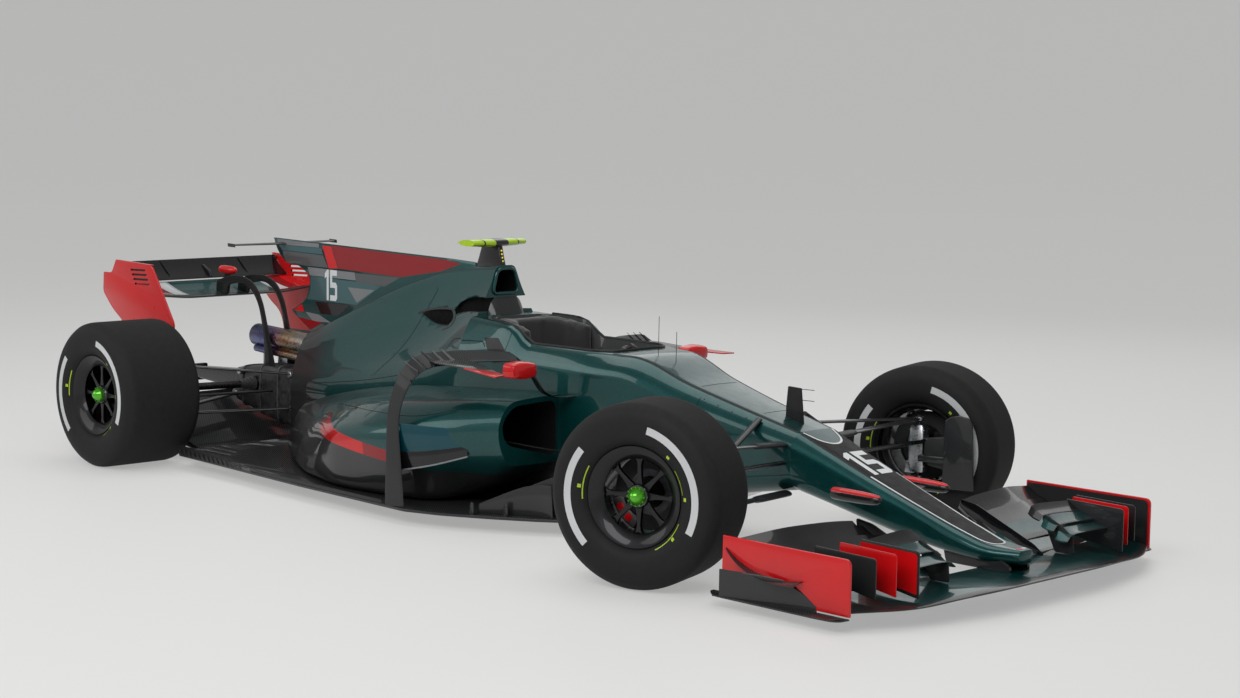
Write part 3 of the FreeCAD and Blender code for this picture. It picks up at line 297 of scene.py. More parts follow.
def smoothLine(points, spacing=0.012, each=0):
    # a Catmull-Rom line through points, at the spacing or with the same number of steps in each span
    pts = [Vector(p) for p in points]
    ends = [pts[0] * 2 - pts[1]] + pts + [pts[-1] * 2 - pts[-2]]
    out = []
    for k in range(1, len(ends) - 2):
        p0, p1, p2, p3 = ends[k - 1:k + 3]
        count = each or max(2, int((p2 - p1).length / spacing))
        for i in range(count):
            t = i / count
            out.append(0.5 * ((2 * p1) + (p2 - p0) * t + (2 * p0 - 5 * p1 + 4 * p2 - p3) * t * t
                              + (3 * p1 - p0 - 3 * p2 + p3) * t**3))
    return out + [pts[-1]]


def sweep(name, points, wide, thick, steps=16, widthAxis=(1, 0, 0), ends=True, power=1.0):
    # an oval section along points; wide and thick are full sizes in metres, and these and the axis that the
    # width lies along are one for all points or a list with one for each
    n = len(points)
    wide = wide if isinstance(wide, (list, tuple)) else [wide] * n
    thick = thick if isinstance(thick, (list, tuple)) else [thick] * n
    axes = [Vector(a) for a in widthAxis] if isinstance(widthAxis, list) else [Vector(widthAxis)] * n
    rings = []
    for k, p in enumerate(points):
        along = (points[min(k + 1, n - 1)] - points[max(k - 1, 0)]).normalized()
        side = axes[k] - along * along.dot(axes[k])
        if side.length < 0.2:
            side = Vector((0, 0, 1)) - along * along.z
        side.normalize()
        up = along.cross(side).normalized()
        ring = []
        for i in range(steps):
            turn = 2 * math.pi * i / steps
            c, s = math.cos(turn), math.sin(turn)
            ring.append(p + side * (wide[k] / 2 * math.copysign(abs(c) ** power, c))
                        + up * (thick[k] / 2 * math.copysign(abs(s) ** power, s)))
        rings.append(ring)
    return tidy(skinOver(name, rings, capped=ends))


def plate(name, outline, thick, place, bevel=0.0012, segments=2, radius=0.0):
    # a flat outline pushed out by its thickness; place turns (u, v, w) into the frame
    if radius:
        outline = softRing(outline, [radius] * len(outline), 5, 0)
    n = len(outline)
    verts = [place(u, v, 0) for u, v in outline] + [place(u, v, thick) for u, v in outline]
    faces = [tuple(range(n)), tuple(range(2 * n - 1, n - 1, -1))]
    faces += [(i, (i + 1) % n, n + (i + 1) % n, n + i) for i in range(n)]
    obj = tidy(newMesh(name, verts, faces))
    return soften(obj, bevel, segments) if bevel else obj


def upright(side, y):
    # places a side view outline of (s, z) at y, its thickness running outwards
    return lambda u, v, w: mm(u, side * (y + w), v)


def level(z):
    # places a plan view outline of (s, y) at a height, its thickness running up
    return lambda u, v, w: mm(u, v, z + w)


def section(chord, thickness, camber, steps=bladeSteps):
    # a wing section from the tail over the top to the nose and back below
    upper, lower = [], []
    half = steps // 2
    for k in range(half):
        share = (1 - k / half) ** 1.7 if k else 1.0
        swell = thickness * (1.5 * math.sqrt(share) * (1 - share) ** 0.8 * 0.78 + 0.05)
        bend = camber * 4 * share * (1 - share)
        upper.append((chord * share, bend + swell))
        lower.append((chord * share, bend - swell))
    return upper + [(0.0, 0.0)] + lower[::-1]


def wing(name, stations, spacing=60, steps=bladeSteps):
    # stations of (y, s, z, chord, thickness, camber, slope), flowing along the span
    rings = []
    for y, (s, z, chord, thickness, camber, slope) in flowing(stations, spacing):
        c, d = math.cos(math.radians(slope)), math.sin(math.radians(slope))
        rings.append(
            [
                mm(s + a * c - b * d, y, z + a * d + b * c)
                for a, b in section(chord, thickness, camber, steps)
            ]
        )
    return tidy(skinOver(name, rings))


def treeOf(obj):
    return BVHTree.FromPolygons(
        [v.co for v in obj.data.vertices], [tuple(p.vertices) for p in obj.data.polygons]
    )


def shineOf(obj):
    # the even normals of a whole skin, read before it is cut
    mesh = smoothed(obj.data)
    corners = [Vector(n.vector) for n in mesh.corner_normals]
    faces = [(tuple(p.vertices), tuple(p.loop_indices)) for p in mesh.polygons]
    return treeOf(obj), [v.co.copy() for v in mesh.vertices], faces, corners


def keepShine(obj, shine, side=1):
    # what is left of a cut skin takes them back, so that highlights run on up to the cut
    tree, spots, faces, corners = shine
    mesh, flip = smoothed(obj.data), Vector((1, side, 1))
    found = [Vector(n.vector) for n in mesh.corner_normals]
    for face in mesh.polygons:
        outward = face.normal * flip
        for loop in face.loop_indices:
            spot = mesh.vertices[mesh.loops[loop].vertex_index].co.lerp(face.center, 0.02) * flip
            place, normal, index, distance = tree.find_nearest(spot)
            if distance < 0.0008 and normal.dot(outward) > 0.8:
                ring, loops = faces[index]
                weights = poly_3d_calc([spots[i] for i in ring], place)
                found[loop] = sum(
                    (corners[i] * w for i, w in zip(loops, weights)), Vector()
                ).normalized() * flip
    mesh.normals_split_custom_set(found)
    return obj


def divided(verts, faces, longest):
    # flat faces cut into small ones so that they can follow a curved surface
    work = bmesh.new()
    made = [work.verts.new(v) for v in verts]
    for face in faces:
        work.faces.new([made[i] for i in face])
    work.normal_update()
    bmesh.ops.triangulate(work, faces=work.faces)
    for _ in range(8):
        edges = [e for e in work.edges if e.calc_length() > longest]
        if not edges:
            break
        bmesh.ops.subdivide_edges(work, edges=edges, cuts=1, use_grid_fill=False)
        bmesh.ops.triangulate(work, faces=[f for f in work.faces if len(f.verts) > 3])
    work.verts.index_update()
    out = [v.co.copy() for v in work.verts], [tuple(v.index for v in f.verts) for f in work.faces]
    work.free()
    return out


def transfer(name, outlines, origin, right, up, tree, lift=0.0007, longest=0.02):
    # flat outlines laid on a surface along the direction right x up, as a thin film of paint
    depth = 0.4  # how far before and behind the outlines the surface is looked for
    right, up = Vector(right).normalized(), Vector(up).normalized()
    inward = -right.cross(up).normalized()
    verts, faces = [], []
    for outline in outlines:
        start = len(verts)
        verts += [Vector((u, v, 0)) for u, v in outline]
        faces.append(tuple(range(start, start + len(outline))))
    verts, faces = divided(verts, faces, longest)
    laid, held = [], []
    for v in verts:
        source = Vector(origin) + right * v.x + up * v.y - inward * depth
        hit, normal, _, _ = tree.ray_cast(source, inward, depth * 2)
        held.append(hit is not None)
        if hit is not None and normal.dot(inward) > 0:
            normal = -normal
        laid.append(hit + normal * lift if hit is not None else source)
    faces = [f for f in faces if all(held[i] for i in f)]
    used = sorted({i for f in faces for i in f})
    index = {old: new for new, old in enumerate(used)}
    return newMesh(name, [laid[i] for i in used], [tuple(index[i] for i in f) for f in faces])


def figures(text, height):
    # the outlines of plain figures, made of bars, height high
    bars = {
        "1": [[(0.18, 0), (0.36, 0), (0.36, 1), (0.22, 1), (0.02, 0.86), (0.02, 0.7), (0.18, 0.78)]],
        "5": [[(0, 0), (0.5, 0), (0.6, 0.1), (0.6, 0.18), (0, 0.18)],
              [(0.42, 0.18), (0.6, 0.18), (0.6, 0.42), (0.42, 0.42)],
              [(0, 0.42), (0.6, 0.42), (0.6, 0.5), (0.5, 0.6), (0, 0.6)],
              [(0, 0.6), (0.18, 0.6), (0.18, 0.82), (0, 0.82)],
    [(0, 0.82), (0.58, 0.82), (0.58, 1), (0, 1)]], }
    out, left = [], 0.0
    for sign in text:
        for bar in bars[sign]:
            out.append([((left + u) * height, v * height) for u, v in bar])
        left += 0.48 if sign == "1" else 0.74
    return out


# Geometry Nodes for what repeats
def newTree(name, inputs):
    tree = bpy.data.node_groups.new(name, "GeometryNodeTree")
    tree.interface.new_socket("Geometry", in_out="OUTPUT", socket_type="NodeSocketGeometry")
    for label, kind, value in inputs:
        socket = tree.interface.new_socket(label, in_out="INPUT", socket_type=f"NodeSocket{kind}")
        if value is not None:
            socket.default_value = value
    return tree, tree.nodes.new("NodeGroupInput"), tree.nodes.new("NodeGroupOutput")


def runTree(name, tree, values, geometry=None):
    # an object with the tree on it, its inputs set, turned into a plain mesh
    obj = geometry or newMesh(name, [], [])
    obj.name = name
    modifier = obj.modifiers.new("Nodes", "NODES")
    modifier.node_group = tree
    for item in tree.interface.items_tree:
        if item.item_type == "SOCKET" and item.in_out == "INPUT" and item.name in values:
            modifier[item.identifier] = values[item.name]
    return bake(obj)


def grown(name, inputs, kinds, settings, links):
    # a tree from its inputs, its nodes by short names, what is set on them, and its links by those names
    tree, start, end = newTree(name, inputs)
    made = {key: tree.nodes.new(kind) for key, kind in kinds.items()}
    made.update(start=start, end=end)
    for key, setting, value in settings:
        setattr(made[key], setting, value)
    for line in links:
        (source, output), (target, place) = (side.split(".") for side in line.split(" > "))
        given = made[source].outputs[int(output) if output.isdigit() else output]
        tree.links.new(given, made[target].inputs[int(place) if place.isdigit() else place])
    return tree, made


def ringTree():
    # copies of a piece evenly round the X axis
    tree, made = grown("copiesRound", [
        ("Part", "Object", None), ("Count", "Int", 8), ("Radius", "Float", 0.1),
    ("Finish", "Material", None), ], {
        "circle": "GeometryNodeMeshCircle", "aim": "FunctionNodeAlignEulerToVector",
        "where": "GeometryNodeInputPosition", "info": "GeometryNodeObjectInfo",
        "copies": "GeometryNodeInstanceOnPoints", "real": "GeometryNodeRealizeInstances",
        "turn": "GeometryNodeTransform", "finish": "GeometryNodeSetMaterial",
    }, [("aim", "axis", "X")], [
        "start.Count > circle.Vertices", "start.Radius > circle.Radius", "start.Part > info.Object",
        "where.0 > aim.Vector", "circle.0 > copies.Points", "info.Geometry > copies.Instance",
        "aim.0 > copies.Rotation", "copies.0 > real.0", "real.0 > turn.0", "turn.0 > finish.Geometry",
        "start.Finish > finish.Material", "finish.0 > end.0",
    ])
    made["turn"].inputs["Rotation"].default_value = (0, math.pi / 2, 0)
    return tree


def lineTree():
    # copies of a piece along a line of points, X along the line and Z as the line's stored normal
    tree, made = grown("copiesAlong", [
        ("Line", "Geometry", None), ("Part", "Object", None), ("Spacing", "Float", 0.05),
        ("Finish", "Material", None),
    ], {
        "curve": "GeometryNodeMeshToCurve", "sample": "GeometryNodeResampleCurve",
        "tangent": "GeometryNodeInputTangent", "normal": "GeometryNodeInputNamedAttribute",
        "aim": "FunctionNodeAxesToRotation", "info": "GeometryNodeObjectInfo",
        "copies": "GeometryNodeInstanceOnPoints", "real": "GeometryNodeRealizeInstances",
        "finish": "GeometryNodeSetMaterial",
    }, [
        ("sample", "mode", "LENGTH"), ("normal", "data_type", "FLOAT_VECTOR"), ("aim", "primary_axis", "Z"),
        ("aim", "secondary_axis", "X"),
    ], [
        "start.Line > curve.0", "curve.0 > sample.Curve", "start.Spacing > sample.Length",
        "sample.0 > copies.Points",
        "start.Part > info.Object", "info.Geometry > copies.Instance", "normal.Attribute > aim.Primary Axis",
        "tangent.0 > aim.Secondary Axis", "aim.0 > copies.Rotation", "copies.0 > real.0",
        "real.0 > finish.Geometry", "start.Finish > finish.Material", "finish.0 > end.0",
    ])
    made["normal"].inputs["Name"].default_value = "face"
    return tree


ringCopies, lineCopies = ringTree(), lineTree()


def roundCopies(name, part, count, radius, material):
    # count copies of a part whose X points outwards, about the X axis; the part itself goes
    obj = runTree(name, ringCopies, {"Part": part, "Count": count, "Radius": radius, "Finish": material})
    drop(part)
    return obj


def alongCopies(name, part, lines, normals, spacing, material):
    # copies of a part along lines of points, each point with the normal that the part's Z follows
    verts = [p for line in lines for p in line]
    edges, start = [], 0
    for line in lines:
        edges += [(start + i, start + i + 1) for i in range(len(line) - 1)]
        start += len(line)
    mesh = bpy.data.meshes.new(name)
    mesh.from_pydata([tuple(v) for v in verts], edges, [])
    face = mesh.attributes.new("face", "FLOAT_VECTOR", "POINT")
    face.data.foreach_set("vector", [c for line in normals for n in line for c in n])
    obj = bpy.data.objects.new(name, mesh)
    bpy.context.scene.collection.objects.link(obj)
    return runTree(name, lineCopies, {"Part": part, "Spacing": spacing, "Finish": material}, obj)


def moved(obj, matrix):
    obj.data.transform(matrix)
    obj.data.update()
    return obj


# Shader helpers
class Shader:
    # a material with one glossy shader, and short ways to add nodes to it
    def __init__(self, name, colour, rough=0.4, metal=0.0, coat=0.0, coatRough=0.03, **more):
        self.material = bpy.data.materials.new(name)
        self.material.use_nodes = True
        self.tree = self.material.node_tree
        self.surface = self.tree.nodes["Principled BSDF"]
        self.set("Base Color", (*colour, 1.0))
        self.set("Roughness", rough)
        self.set("Metallic", metal)
        self.set("Coat Weight", coat)
        self.set("Coat Roughness", coatRough)
        for key, value in more.items():
            self.set(key.replace("_", " "), value)
        self.place = self.tree.nodes.new("ShaderNodeTexCoord").outputs["Object"]

    def set(self, socket, value):
        self.surface.inputs[socket].default_value = value

    def link(self, a, b):
        self.tree.links.new(a, b)

    def feed(self, socket, value):
        # another node's output, or a plain value
        if isinstance(value, bpy.types.NodeSocket):
            self.link(value, socket)
        else:
            socket.default_value = value

    def drive(self, **values):
        for name, value in values.items():
            self.feed(self.surface.inputs[name.replace("_", " ")], value)

    def add(self, kind, settings=None, **inputs):
        node = self.tree.nodes.new("ShaderNode" + kind)
        for name, value in (settings or {}).items():
            setattr(node, name, value)
        for name, value in inputs.items():
            self.feed(node.inputs[name.replace("_", " ")], value)
        return node

    def math(self, operation, a, b=0.0):
        node = self.add("Math", {"operation": operation})
        self.feed(node.inputs[0], a)
        self.feed(node.inputs[1], b)
        return node.outputs[0]

    def times(self, a, b):
        return self.math("MULTIPLY", a, b)

    def rest(self, share):
        # what a share leaves of the whole
        return self.math("SUBTRACT", 1.0, share)

    def mix(self, share, a, b):
        node = self.tree.nodes.new("ShaderNodeMix")
        node.data_type = "RGBA"
        for socket, value in ((node.inputs[0], share), (node.inputs[6], a), (node.inputs[7], b)):
            self.feed(socket, (*value, 1.0) if isinstance(value, tuple) and len(value) == 3 else value)
        return node.outputs[2]

    def cloudy(self, colour, scale=2.5, dark=0.9, light=1.07, detail=3.0):
        # a colour that drifts a little over the surface
        share = self.ramp(self.noise(scale, detail), 0.3, 0.7)
        return self.mix(share, tuple(c * dark for c in colour), tuple(min(1, c * light) for c in colour))

    def sprayed(self, rough):
        # the slightly uneven gloss and the fine texture of sprayed paint
        self.drive(Roughness=self.ramp(self.noise(26, 4), 0.3, 0.7, rough * 0.85, rough * 1.15))
        self.bump(self.noise(90, 2), 0.04, 0.0004)

    def split(self, socket=None):
        return self.add("SeparateXYZ", Vector=socket or self.place).outputs

    def noise(self, scale, detail=3.0, rough=0.55, stretch=None):
        place = self.place
        if stretch:
            place = self.add("Mapping", Vector=place, Scale=stretch).outputs[0]
        return self.add("TexNoise", Vector=place, Scale=scale, Detail=detail, Roughness=rough).outputs["Fac"]

    def ramp(self, value, low, high, a=0.0, b=1.0):
        node = self.add("MapRange", Value=value, From_Min=low, From_Max=high, To_Min=a, To_Max=b)
        node.clamp = True
        return node.outputs[0]

    def step(self, value, edge, width=0.002):
        # 0 below the edge and 1 above it
        return self.ramp(value, edge - width / 2, edge + width / 2)

    def bump(self, height, strength=0.2, distance=0.001):
        node = self.add("Bump", Height=height, Strength=strength, Distance=distance)
        self.drive(Normal=node.outputs[0])


def twill(shader, size=0.0032):
    # the over-and-under of a two by two twill on the two axes that a face shows most, 0 to 1
    x, y, z = shader.split()
    u = shader.math("ADD", x, shader.times(z, 0.35))
    v = shader.math("ADD", y, shader.times(z, 1.0))
    a = shader.math("DIVIDE", shader.math("ADD", u, v), size * 2)
    b = shader.math("DIVIDE", shader.math("SUBTRACT", u, v), size * 6)
    wave = shader.math("SINE", shader.times(a, math.pi))
    other = shader.math("SINE", shader.times(b, math.pi))
    both = shader.times(wave, shader.math("ADD", shader.times(other, 0.35), 0.65))
    return shader.math("ADD", shader.times(both, 0.5), 0.5)


def flakes(shader, colour, bright):
    # metal flakes in the paint, and its slow change of depth
    cells = shader.add("TexVoronoi", Vector=shader.place, Scale=900).outputs["Color"]
    value = shader.add("SeparateColor", Color=cells).outputs[0]
    spark = shader.ramp(value, 0.55, 1.0)
    deep = shader.cloudy(colour, 1.7, 0.86, 1.1, 2)
    return shader.mix(shader.times(spark, 0.5), deep, bright)


paints = {
    "green": (0.0015, 0.048, 0.047),
    "greenFlake": (0.012, 0.13, 0.125),
    "red": (0.62, 0.005, 0.007),
    "darkRed": (0.27, 0.003, 0.006),
    "white": (0.72, 0.74, 0.75),
    "black": (0.006, 0.006, 0.007),
    "grey": (0.085, 0.09, 0.095),
    "teal": (0.052, 0.13, 0.14),
    "lime": (0.42, 0.62, 0.015),
    "nut": (0.10, 0.48, 0.02),
}


def paint(name, colour, flake=None, rough=0.34, metal=0.0, coat=0.65):
    shader = Shader(name, colour, rough, metal, coat, Specular_IOR_Level=0.2)
    shader.drive(Base_Color=flakes(shader, colour, flake) if flake else shader.cloudy(colour))
    shader.sprayed(rough)
    return shader.material


def carbon(name, tone=1.0, coat=0.6, rough=0.42, size=0.0032):
    shader = Shader(name, (0.012, 0.012, 0.013), rough, 0.0, coat, 0.05, Specular_IOR_Level=0.25)
    weave = twill(shader, size)
    tones = (0.006, 0.006, 0.0065), (0.030, 0.031, 0.033)
    deep, bright = ([c * tone for c in colour] + [1.0] for colour in tones)
    shader.drive(Base_Color=shader.mix(weave, deep, bright))
    shader.drive(Roughness=shader.ramp(weave, 0, 1, rough + 0.12, rough - 0.12))
    shader.bump(weave, 0.12, 0.0004)
    return shader.material


def metalFinish(name, colour, rough, scale, spots=0.2, coat=0.0):
    shader = Shader(name, colour, rough, 1.0, coat)
    grain = shader.noise(scale, 5, 0.6)
    dull, bright = tuple(c * (1 - spots) for c in colour), tuple(min(1, c * (1 + spots)) for c in colour)
    shader.drive(Base_Color=shader.mix(shader.ramp(grain, 0.3, 0.7), dull, bright))
    shader.drive(Roughness=shader.ramp(grain, 0.3, 0.75, rough * 0.7, min(1, rough * 1.4)))
    shader.bump(grain, 0.10, 0.0006)
    return shader.material


def bodyPaint(name, kind):
    # the green body with its black lower part, blended into one shader so that the edges follow the body
    shader = Shader(name, paints["green"], 0.32, 0.55, 0.7, 0.025, Specular_IOR_Level=0.2)
    x, _, z = shader.split()
    tint = flakes(shader, paints["green"], paints["greenFlake"])
    weave = twill(shader)
    dark = shader.mix(weave, (0.006, 0.006, 0.0065), (0.026, 0.027, 0.029))
    if kind == "tub":
        # black below a line that drops towards the nose
        edge = shader.ramp(x, at(1700), at(-85), 0.300, 0.235)
        share = shader.rest(shader.step(shader.math("SUBTRACT", z, edge), 0.0))
    elif kind == "nose":
        # the same line, down to the tip
        edge = shader.ramp(x, at(-85), at(-1060), 0.255, 0.100)
        share = shader.rest(shader.step(shader.math("SUBTRACT", z, edge), 0.0))
    elif kind == "cover":
        # the tail fades to bare carbon behind a slanted line
        slant = shader.math("ADD", x, shader.times(z, 0.35))
        share = shader.rest(shader.ramp(slant, at(2920) + 0.13, at(2760) + 0.13))
    else:
        # a red band low on the flank, carbon below it, and a tail that fades to carbon
        drawn = shader.ramp(x, at(2300), at(1450), 0.345, 0.262)
        above = shader.math("SUBTRACT", z, drawn)
        low = shader.rest(shader.step(above, -0.052))
        band = shader.times(shader.step(above, -0.052), shader.rest(shader.step(above, 0.0)))
        fade = shader.times(shader.ramp(x, at(2340), at(2120)), shader.rest(shader.step(x, at(1496))))
        red = shader.mix(shader.step(x, at(1760)), paints["red"], paints["darkRed"])
        tint = shader.mix(shader.times(band, fade), tint, red)
        tail = shader.rest(shader.ramp(x, at(2620), at(2470)))
        share = shader.math("MAXIMUM", low, tail)
    shader.drive(Base_Color=shader.mix(share, tint, dark))
    shader.drive(Metallic=shader.times(shader.rest(share), 0.55))
    shader.drive(Roughness=shader.ramp(shader.noise(24, 4), 0.3, 0.7, 0.28, 0.38))
    shader.bump(shader.times(weave, share), 0.10, 0.0004)
    return shader.material


def rubber(name):
    # a slick tyre: matt black, finely scuffed, the tread greyer and the sidewall with moulded rings
    shader = Shader(name, (0.016, 0.016, 0.017), 0.78, 0.0, 0.0, Specular_IOR_Level=0.25)
    uv = shader.add("UVMap", {"uv_map": "UVMap"}).outputs[0]
    radius = shader.split(uv)[0]
    tread = shader.step(radius, 0.322, 0.014)
    grime = shader.noise(38, 6, 0.7)
    fine = shader.noise(420, 3, 0.6)
    wall = shader.mix(grime, (0.007, 0.007, 0.0075), (0.014, 0.014, 0.0145))
    worn = shader.mix(grime, (0.012, 0.012, 0.0125), (0.026, 0.025, 0.024))
    shader.drive(Base_Color=shader.mix(tread, wall, worn))
    shader.drive(Roughness=shader.mix(tread, (0.62,) * 3, (0.86,) * 3))
    rings = shader.math("SINE", shader.times(radius, 900))
    rings = shader.times(shader.math("GREATER_THAN", rings, 0.94), shader.rest(tread))
    height = shader.math("ADD", shader.times(fine, 0.5), shader.times(rings, 0.3))
    shader.bump(height, 0.35, 0.0009)
    return shader.material


def heatMetal(name):
    # steel that has run hot: straw near the front, then violet and blue towards the tip
    shader = Shader(name, (0.5, 0.45, 0.4), 0.3, 1.0, 0.0)
    x = shader.split()[0]
    place = shader.ramp(
        shader.math("ADD", x, shader.times(shader.noise(14, 3), 0.05)), at(3533) + 0.02, at(3080), 0, 1
    )
    ramp = shader.add("ValToRGB", Fac=place)
    stops = [(0.0, (0.16, 0.17, 0.24)), (0.25, (0.13, 0.15, 0.32)), (0.45, (0.26, 0.16, 0.27)),
             (0.65, (0.42, 0.29, 0.17)), (0.85, (0.44, 0.38, 0.30)), (1.0, (0.36, 0.35, 0.34))]
    while len(ramp.color_ramp.elements) < len(stops):
        ramp.color_ramp.elements.new(0.5)
    for element, (position, colour) in zip(ramp.color_ramp.elements, stops):
        element.position, element.color = position, (*colour, 1)
    shader.drive(Base_Color=ramp.outputs[0])
    shader.drive(Roughness=shader.ramp(shader.noise(50, 4), 0.3, 0.7, 0.2, 0.42))
    shader.bump(shader.noise(240, 2), 0.06, 0.0005)
    return shader.material


def coolerFins(name):
    # the fine upright fins of a cooler between its flat tubes, with painted shade: the colour goes near black
    # down between the fins
    shader = Shader(name, (0.05, 0.05, 0.055), 0.5, 0.8, 0.0)
    _, y, z = shader.split()
    fins = shader.math("SINE", shader.times(y, 1400))
    tubes = shader.math("GREATER_THAN", shader.math("SINE", shader.times(z, 420)), 0.55)
    height = shader.math("MAXIMUM", shader.times(fins, 0.5), tubes)
    # painted shade: dark where the bump is low, between the fins
    tint = shader.mix(shader.ramp(height, -0.4, 1.0), (0.012, 0.012, 0.013), (0.16, 0.165, 0.17))
    shader.drive(Base_Color=tint)
    shader.bump(height, 0.5, 0.002)
    return shader.material


def woodFinish(name):
    # the plank's laminated wood: long grain, with scuffs
    shader = Shader(name, (0.20, 0.12, 0.06), 0.6, 0.0, 0.1)
    grain = shader.noise(6, 6, 0.6, (3.0, 60.0, 60.0))
    layers = shader.add(
        "TexWave", {"wave_type": "BANDS", "bands_direction": "Z"}, Vector=shader.place, Scale=170.0,
        Distortion=0.4
    ).outputs["Fac"]
    tint = shader.mix(grain, (0.10, 0.058, 0.03), (0.30, 0.19, 0.10))
    shader.drive(Base_Color=shader.mix(shader.times(layers, 0.35), tint, (0.06, 0.035, 0.02)))
    shader.drive(Roughness=shader.ramp(grain, 0.3, 0.7, 0.5, 0.75))
    shader.bump(grain, 0.3, 0.0008)
    return shader.material


def foamFinish(name, colour, scale=900, rough=0.8):
    # padding under a fine woven cloth
    shader = Shader(name, colour, rough, 0.0, 0.0, Sheen_Weight=0.35)
    x, y, z = shader.split()
    weave = shader.times(shader.math("SINE", shader.times(shader.math("ADD", x, z), scale * 2)),
                        shader.math("SINE", shader.times(shader.math("ADD", y, z), scale * 2)))
    tint = shader.mix(shader.noise(30, 4), tuple(c * 0.75 for c in colour), tuple(c * 1.3 for c in colour))
    shader.drive(Base_Color=tint)
    shader.bump(weave, 0.25, 0.0006)
    return shader.material


def glowing(name, colour, strength):
    shader = Shader(name, colour, 0.25, 0.0, 1.0)
    shader.set("Emission Color", (*colour, 1))
    shader.set("Emission Strength", strength)
    shader.drive(Base_Color=shader.mix(shader.noise(400), tuple(c * 0.8 for c in colour), colour))
    return shader.material


green = paint("greenPaint", paints["green"], paints["greenFlake"], metal=0.55)
red = paint("redPaint", paints["red"])
darkRed = paint("darkRedPaint", paints["darkRed"])
white = paint("whitePaint", paints["white"], rough=0.4)
greyPaint = paint("greyPaint", paints["grey"])
greyLight = paint("lightGreyPaint", (0.20, 0.21, 0.22))
tealPaint = paint("tealGreyPaint", paints["teal"], metal=0.3)
vaneTeal = paint("vaneTealPaint", (0.0, 0.055, 0.075), metal=0.4)
gloss = paint("glossBlack", paints["black"], rough=0.22)
satin = paint("satinBlack", (0.012, 0.012, 0.0125), rough=0.5, coat=0.2)
filmBlack = paint("filmBlack", (0.008, 0.008, 0.009), rough=0.55, coat=0.08)
lime = paint("limePaint", paints["lime"], rough=0.3)
weave = carbon("carbonTwill")
mattWeave = carbon("carbonSatin", 1.15, coat=0.2, rough=0.55)
# near black: painted shade inside the ducts, the footwell, recesses, slots, drilled holes and pipe bores;
# also the colour of the dark panel gaps
shadeAndGapBlack = paint("ductBlack", (0.0025, 0.0025, 0.0028), rough=0.8, coat=0.0)
tyreRubber = rubber("slickRubber")
rimMetal = metalFinish("rimMagnesium", (0.022, 0.022, 0.024), 0.42, 220, coat=0.4)
hubMetal = metalFinish("hubSteel", (0.10, 0.10, 0.105), 0.3, 160)
bareMetal = metalFinish("bareAluminium", (0.50, 0.51, 0.53), 0.33, 90)
darkMetal = metalFinish("anodisedDark", (0.06, 0.06, 0.065), 0.38, 120)
castMetal = metalFinish("castAlloy", (0.16, 0.16, 0.165), 0.55, 45, spots=0.35)
discCarbon = carbon("discCarbon", 1.6, coat=0.0, rough=0.7, size=0.004)
nutPaint = paint("nutGreen", paints["nut"], metal=0.6, rough=0.25)
mirrorGlass = metalFinish("mirrorGlass", (0.75, 0.78, 0.8), 0.04, 8, spots=0.02)
hotSteel = heatMetal("heatTintedSteel")
plankWood = woodFinish("plankWood")
coolerCore = coolerFins("coolerCore")
padCloth = foamFinish("headrestCloth", (0.018, 0.018, 0.02))
seatCloth = foamFinish("seatCloth", (0.03, 0.03, 0.033))
beltCloth = foamFinish("beltWebbing", (0.26, 0.008, 0.010), 1400)
gripRubber = foamFinish("gripRubber", (0.012, 0.012, 0.013), 1600, 0.7)
lampRed = glowing("tailLamp", (0.5, 0.004, 0.004), 0.25)
# a yellow that glows by itself on a steering wheel knob and the camera stalk's domes: painted glow
glowYellow = glowing("markerYellow", (0.75, 0.62, 0.02), 0.5)
screen = glowing("wheelScreen", (0.02, 0.05, 0.06), 0.4)
tubPaint, nosePaint = bodyPaint("tubLivery", "tub"), bodyPaint("noseLivery", "nose")
coverPaint, podPaint = bodyPaint("coverLivery", "cover"), bodyPaint("podLivery", "pod")
print("finishes made:", len(bpy.data.materials))


# The body's skins. Each row: s, then the half outline from the top edge down, as half width and height
tub = {
    "stations": [
        (-85, 100, 486, 146, 446, 146, 300, 100, 264), (188, 114, 550, 172, 508, 180, 262, 120, 216),
        (470, 138, 622, 206, 574, 228, 190, 150, 122), (755, 168, 706, 248, 652, 268, 150, 190, 78),
        (1000, 224, 708, 270, 640, 270, 140, 215, 67.6), (1290, 230, 708, 270, 636, 270, 140, 215, 67.6),
        (1410, 230, 776, 270, 660, 270, 140, 215, 67.6), (1700, 196, 792, 270, 650, 270, 140, 215, 67.6),
    ],
    "radii": [26, 40, 60, 30],
    "opening": [(860, 130), (950, 185), (1475, 200), (1615, 150)],
    "openingFloor": 105,
}
nose = {
    "stations": [
        (-1060, 34, 172, 46, 158, 44, 134, 30, 122), (-946, 58, 180, 80, 162, 78, 132, 52, 118),
        (-827, 70, 212, 94, 190, 94, 142, 64, 124), (-621, 76, 283, 102, 258, 104, 176, 72, 152),
        (-416, 84, 358, 116, 328, 120, 222, 82, 192), (-244, 90, 424, 128, 390, 132, 262, 90, 230),
        (-85.5, 100, 486, 146, 446, 146, 300, 100, 264),
    ],
    "radii": [22, 34, 44, 26],
}
cover = {
    "stations": [
        (1700.4, 52, 1002, 92, 905, 160, 792, 270, 640, 270, 80),
        (1950, 26, 978, 64, 862, 126, 690, 244, 540, 244, 80),
        (2300, 14, 892, 42, 782, 100, 600, 207, 460, 207, 80),
        (2700, 12, 748, 40, 672, 90, 540, 163, 400, 163, 80),
        (3100, 12, 592, 44, 562, 80, 500, 120, 380, 120, 150),
    ],
    "radii": [24, 70, 110, 90, 14],
    "mouth": [(48, 988), (76, 881), (-76, 881), (-48, 988)],
    "throat": [(22, 952), (44, 886), (-44, 886), (-22, 952)],
    "mouthDepth": 240,
}
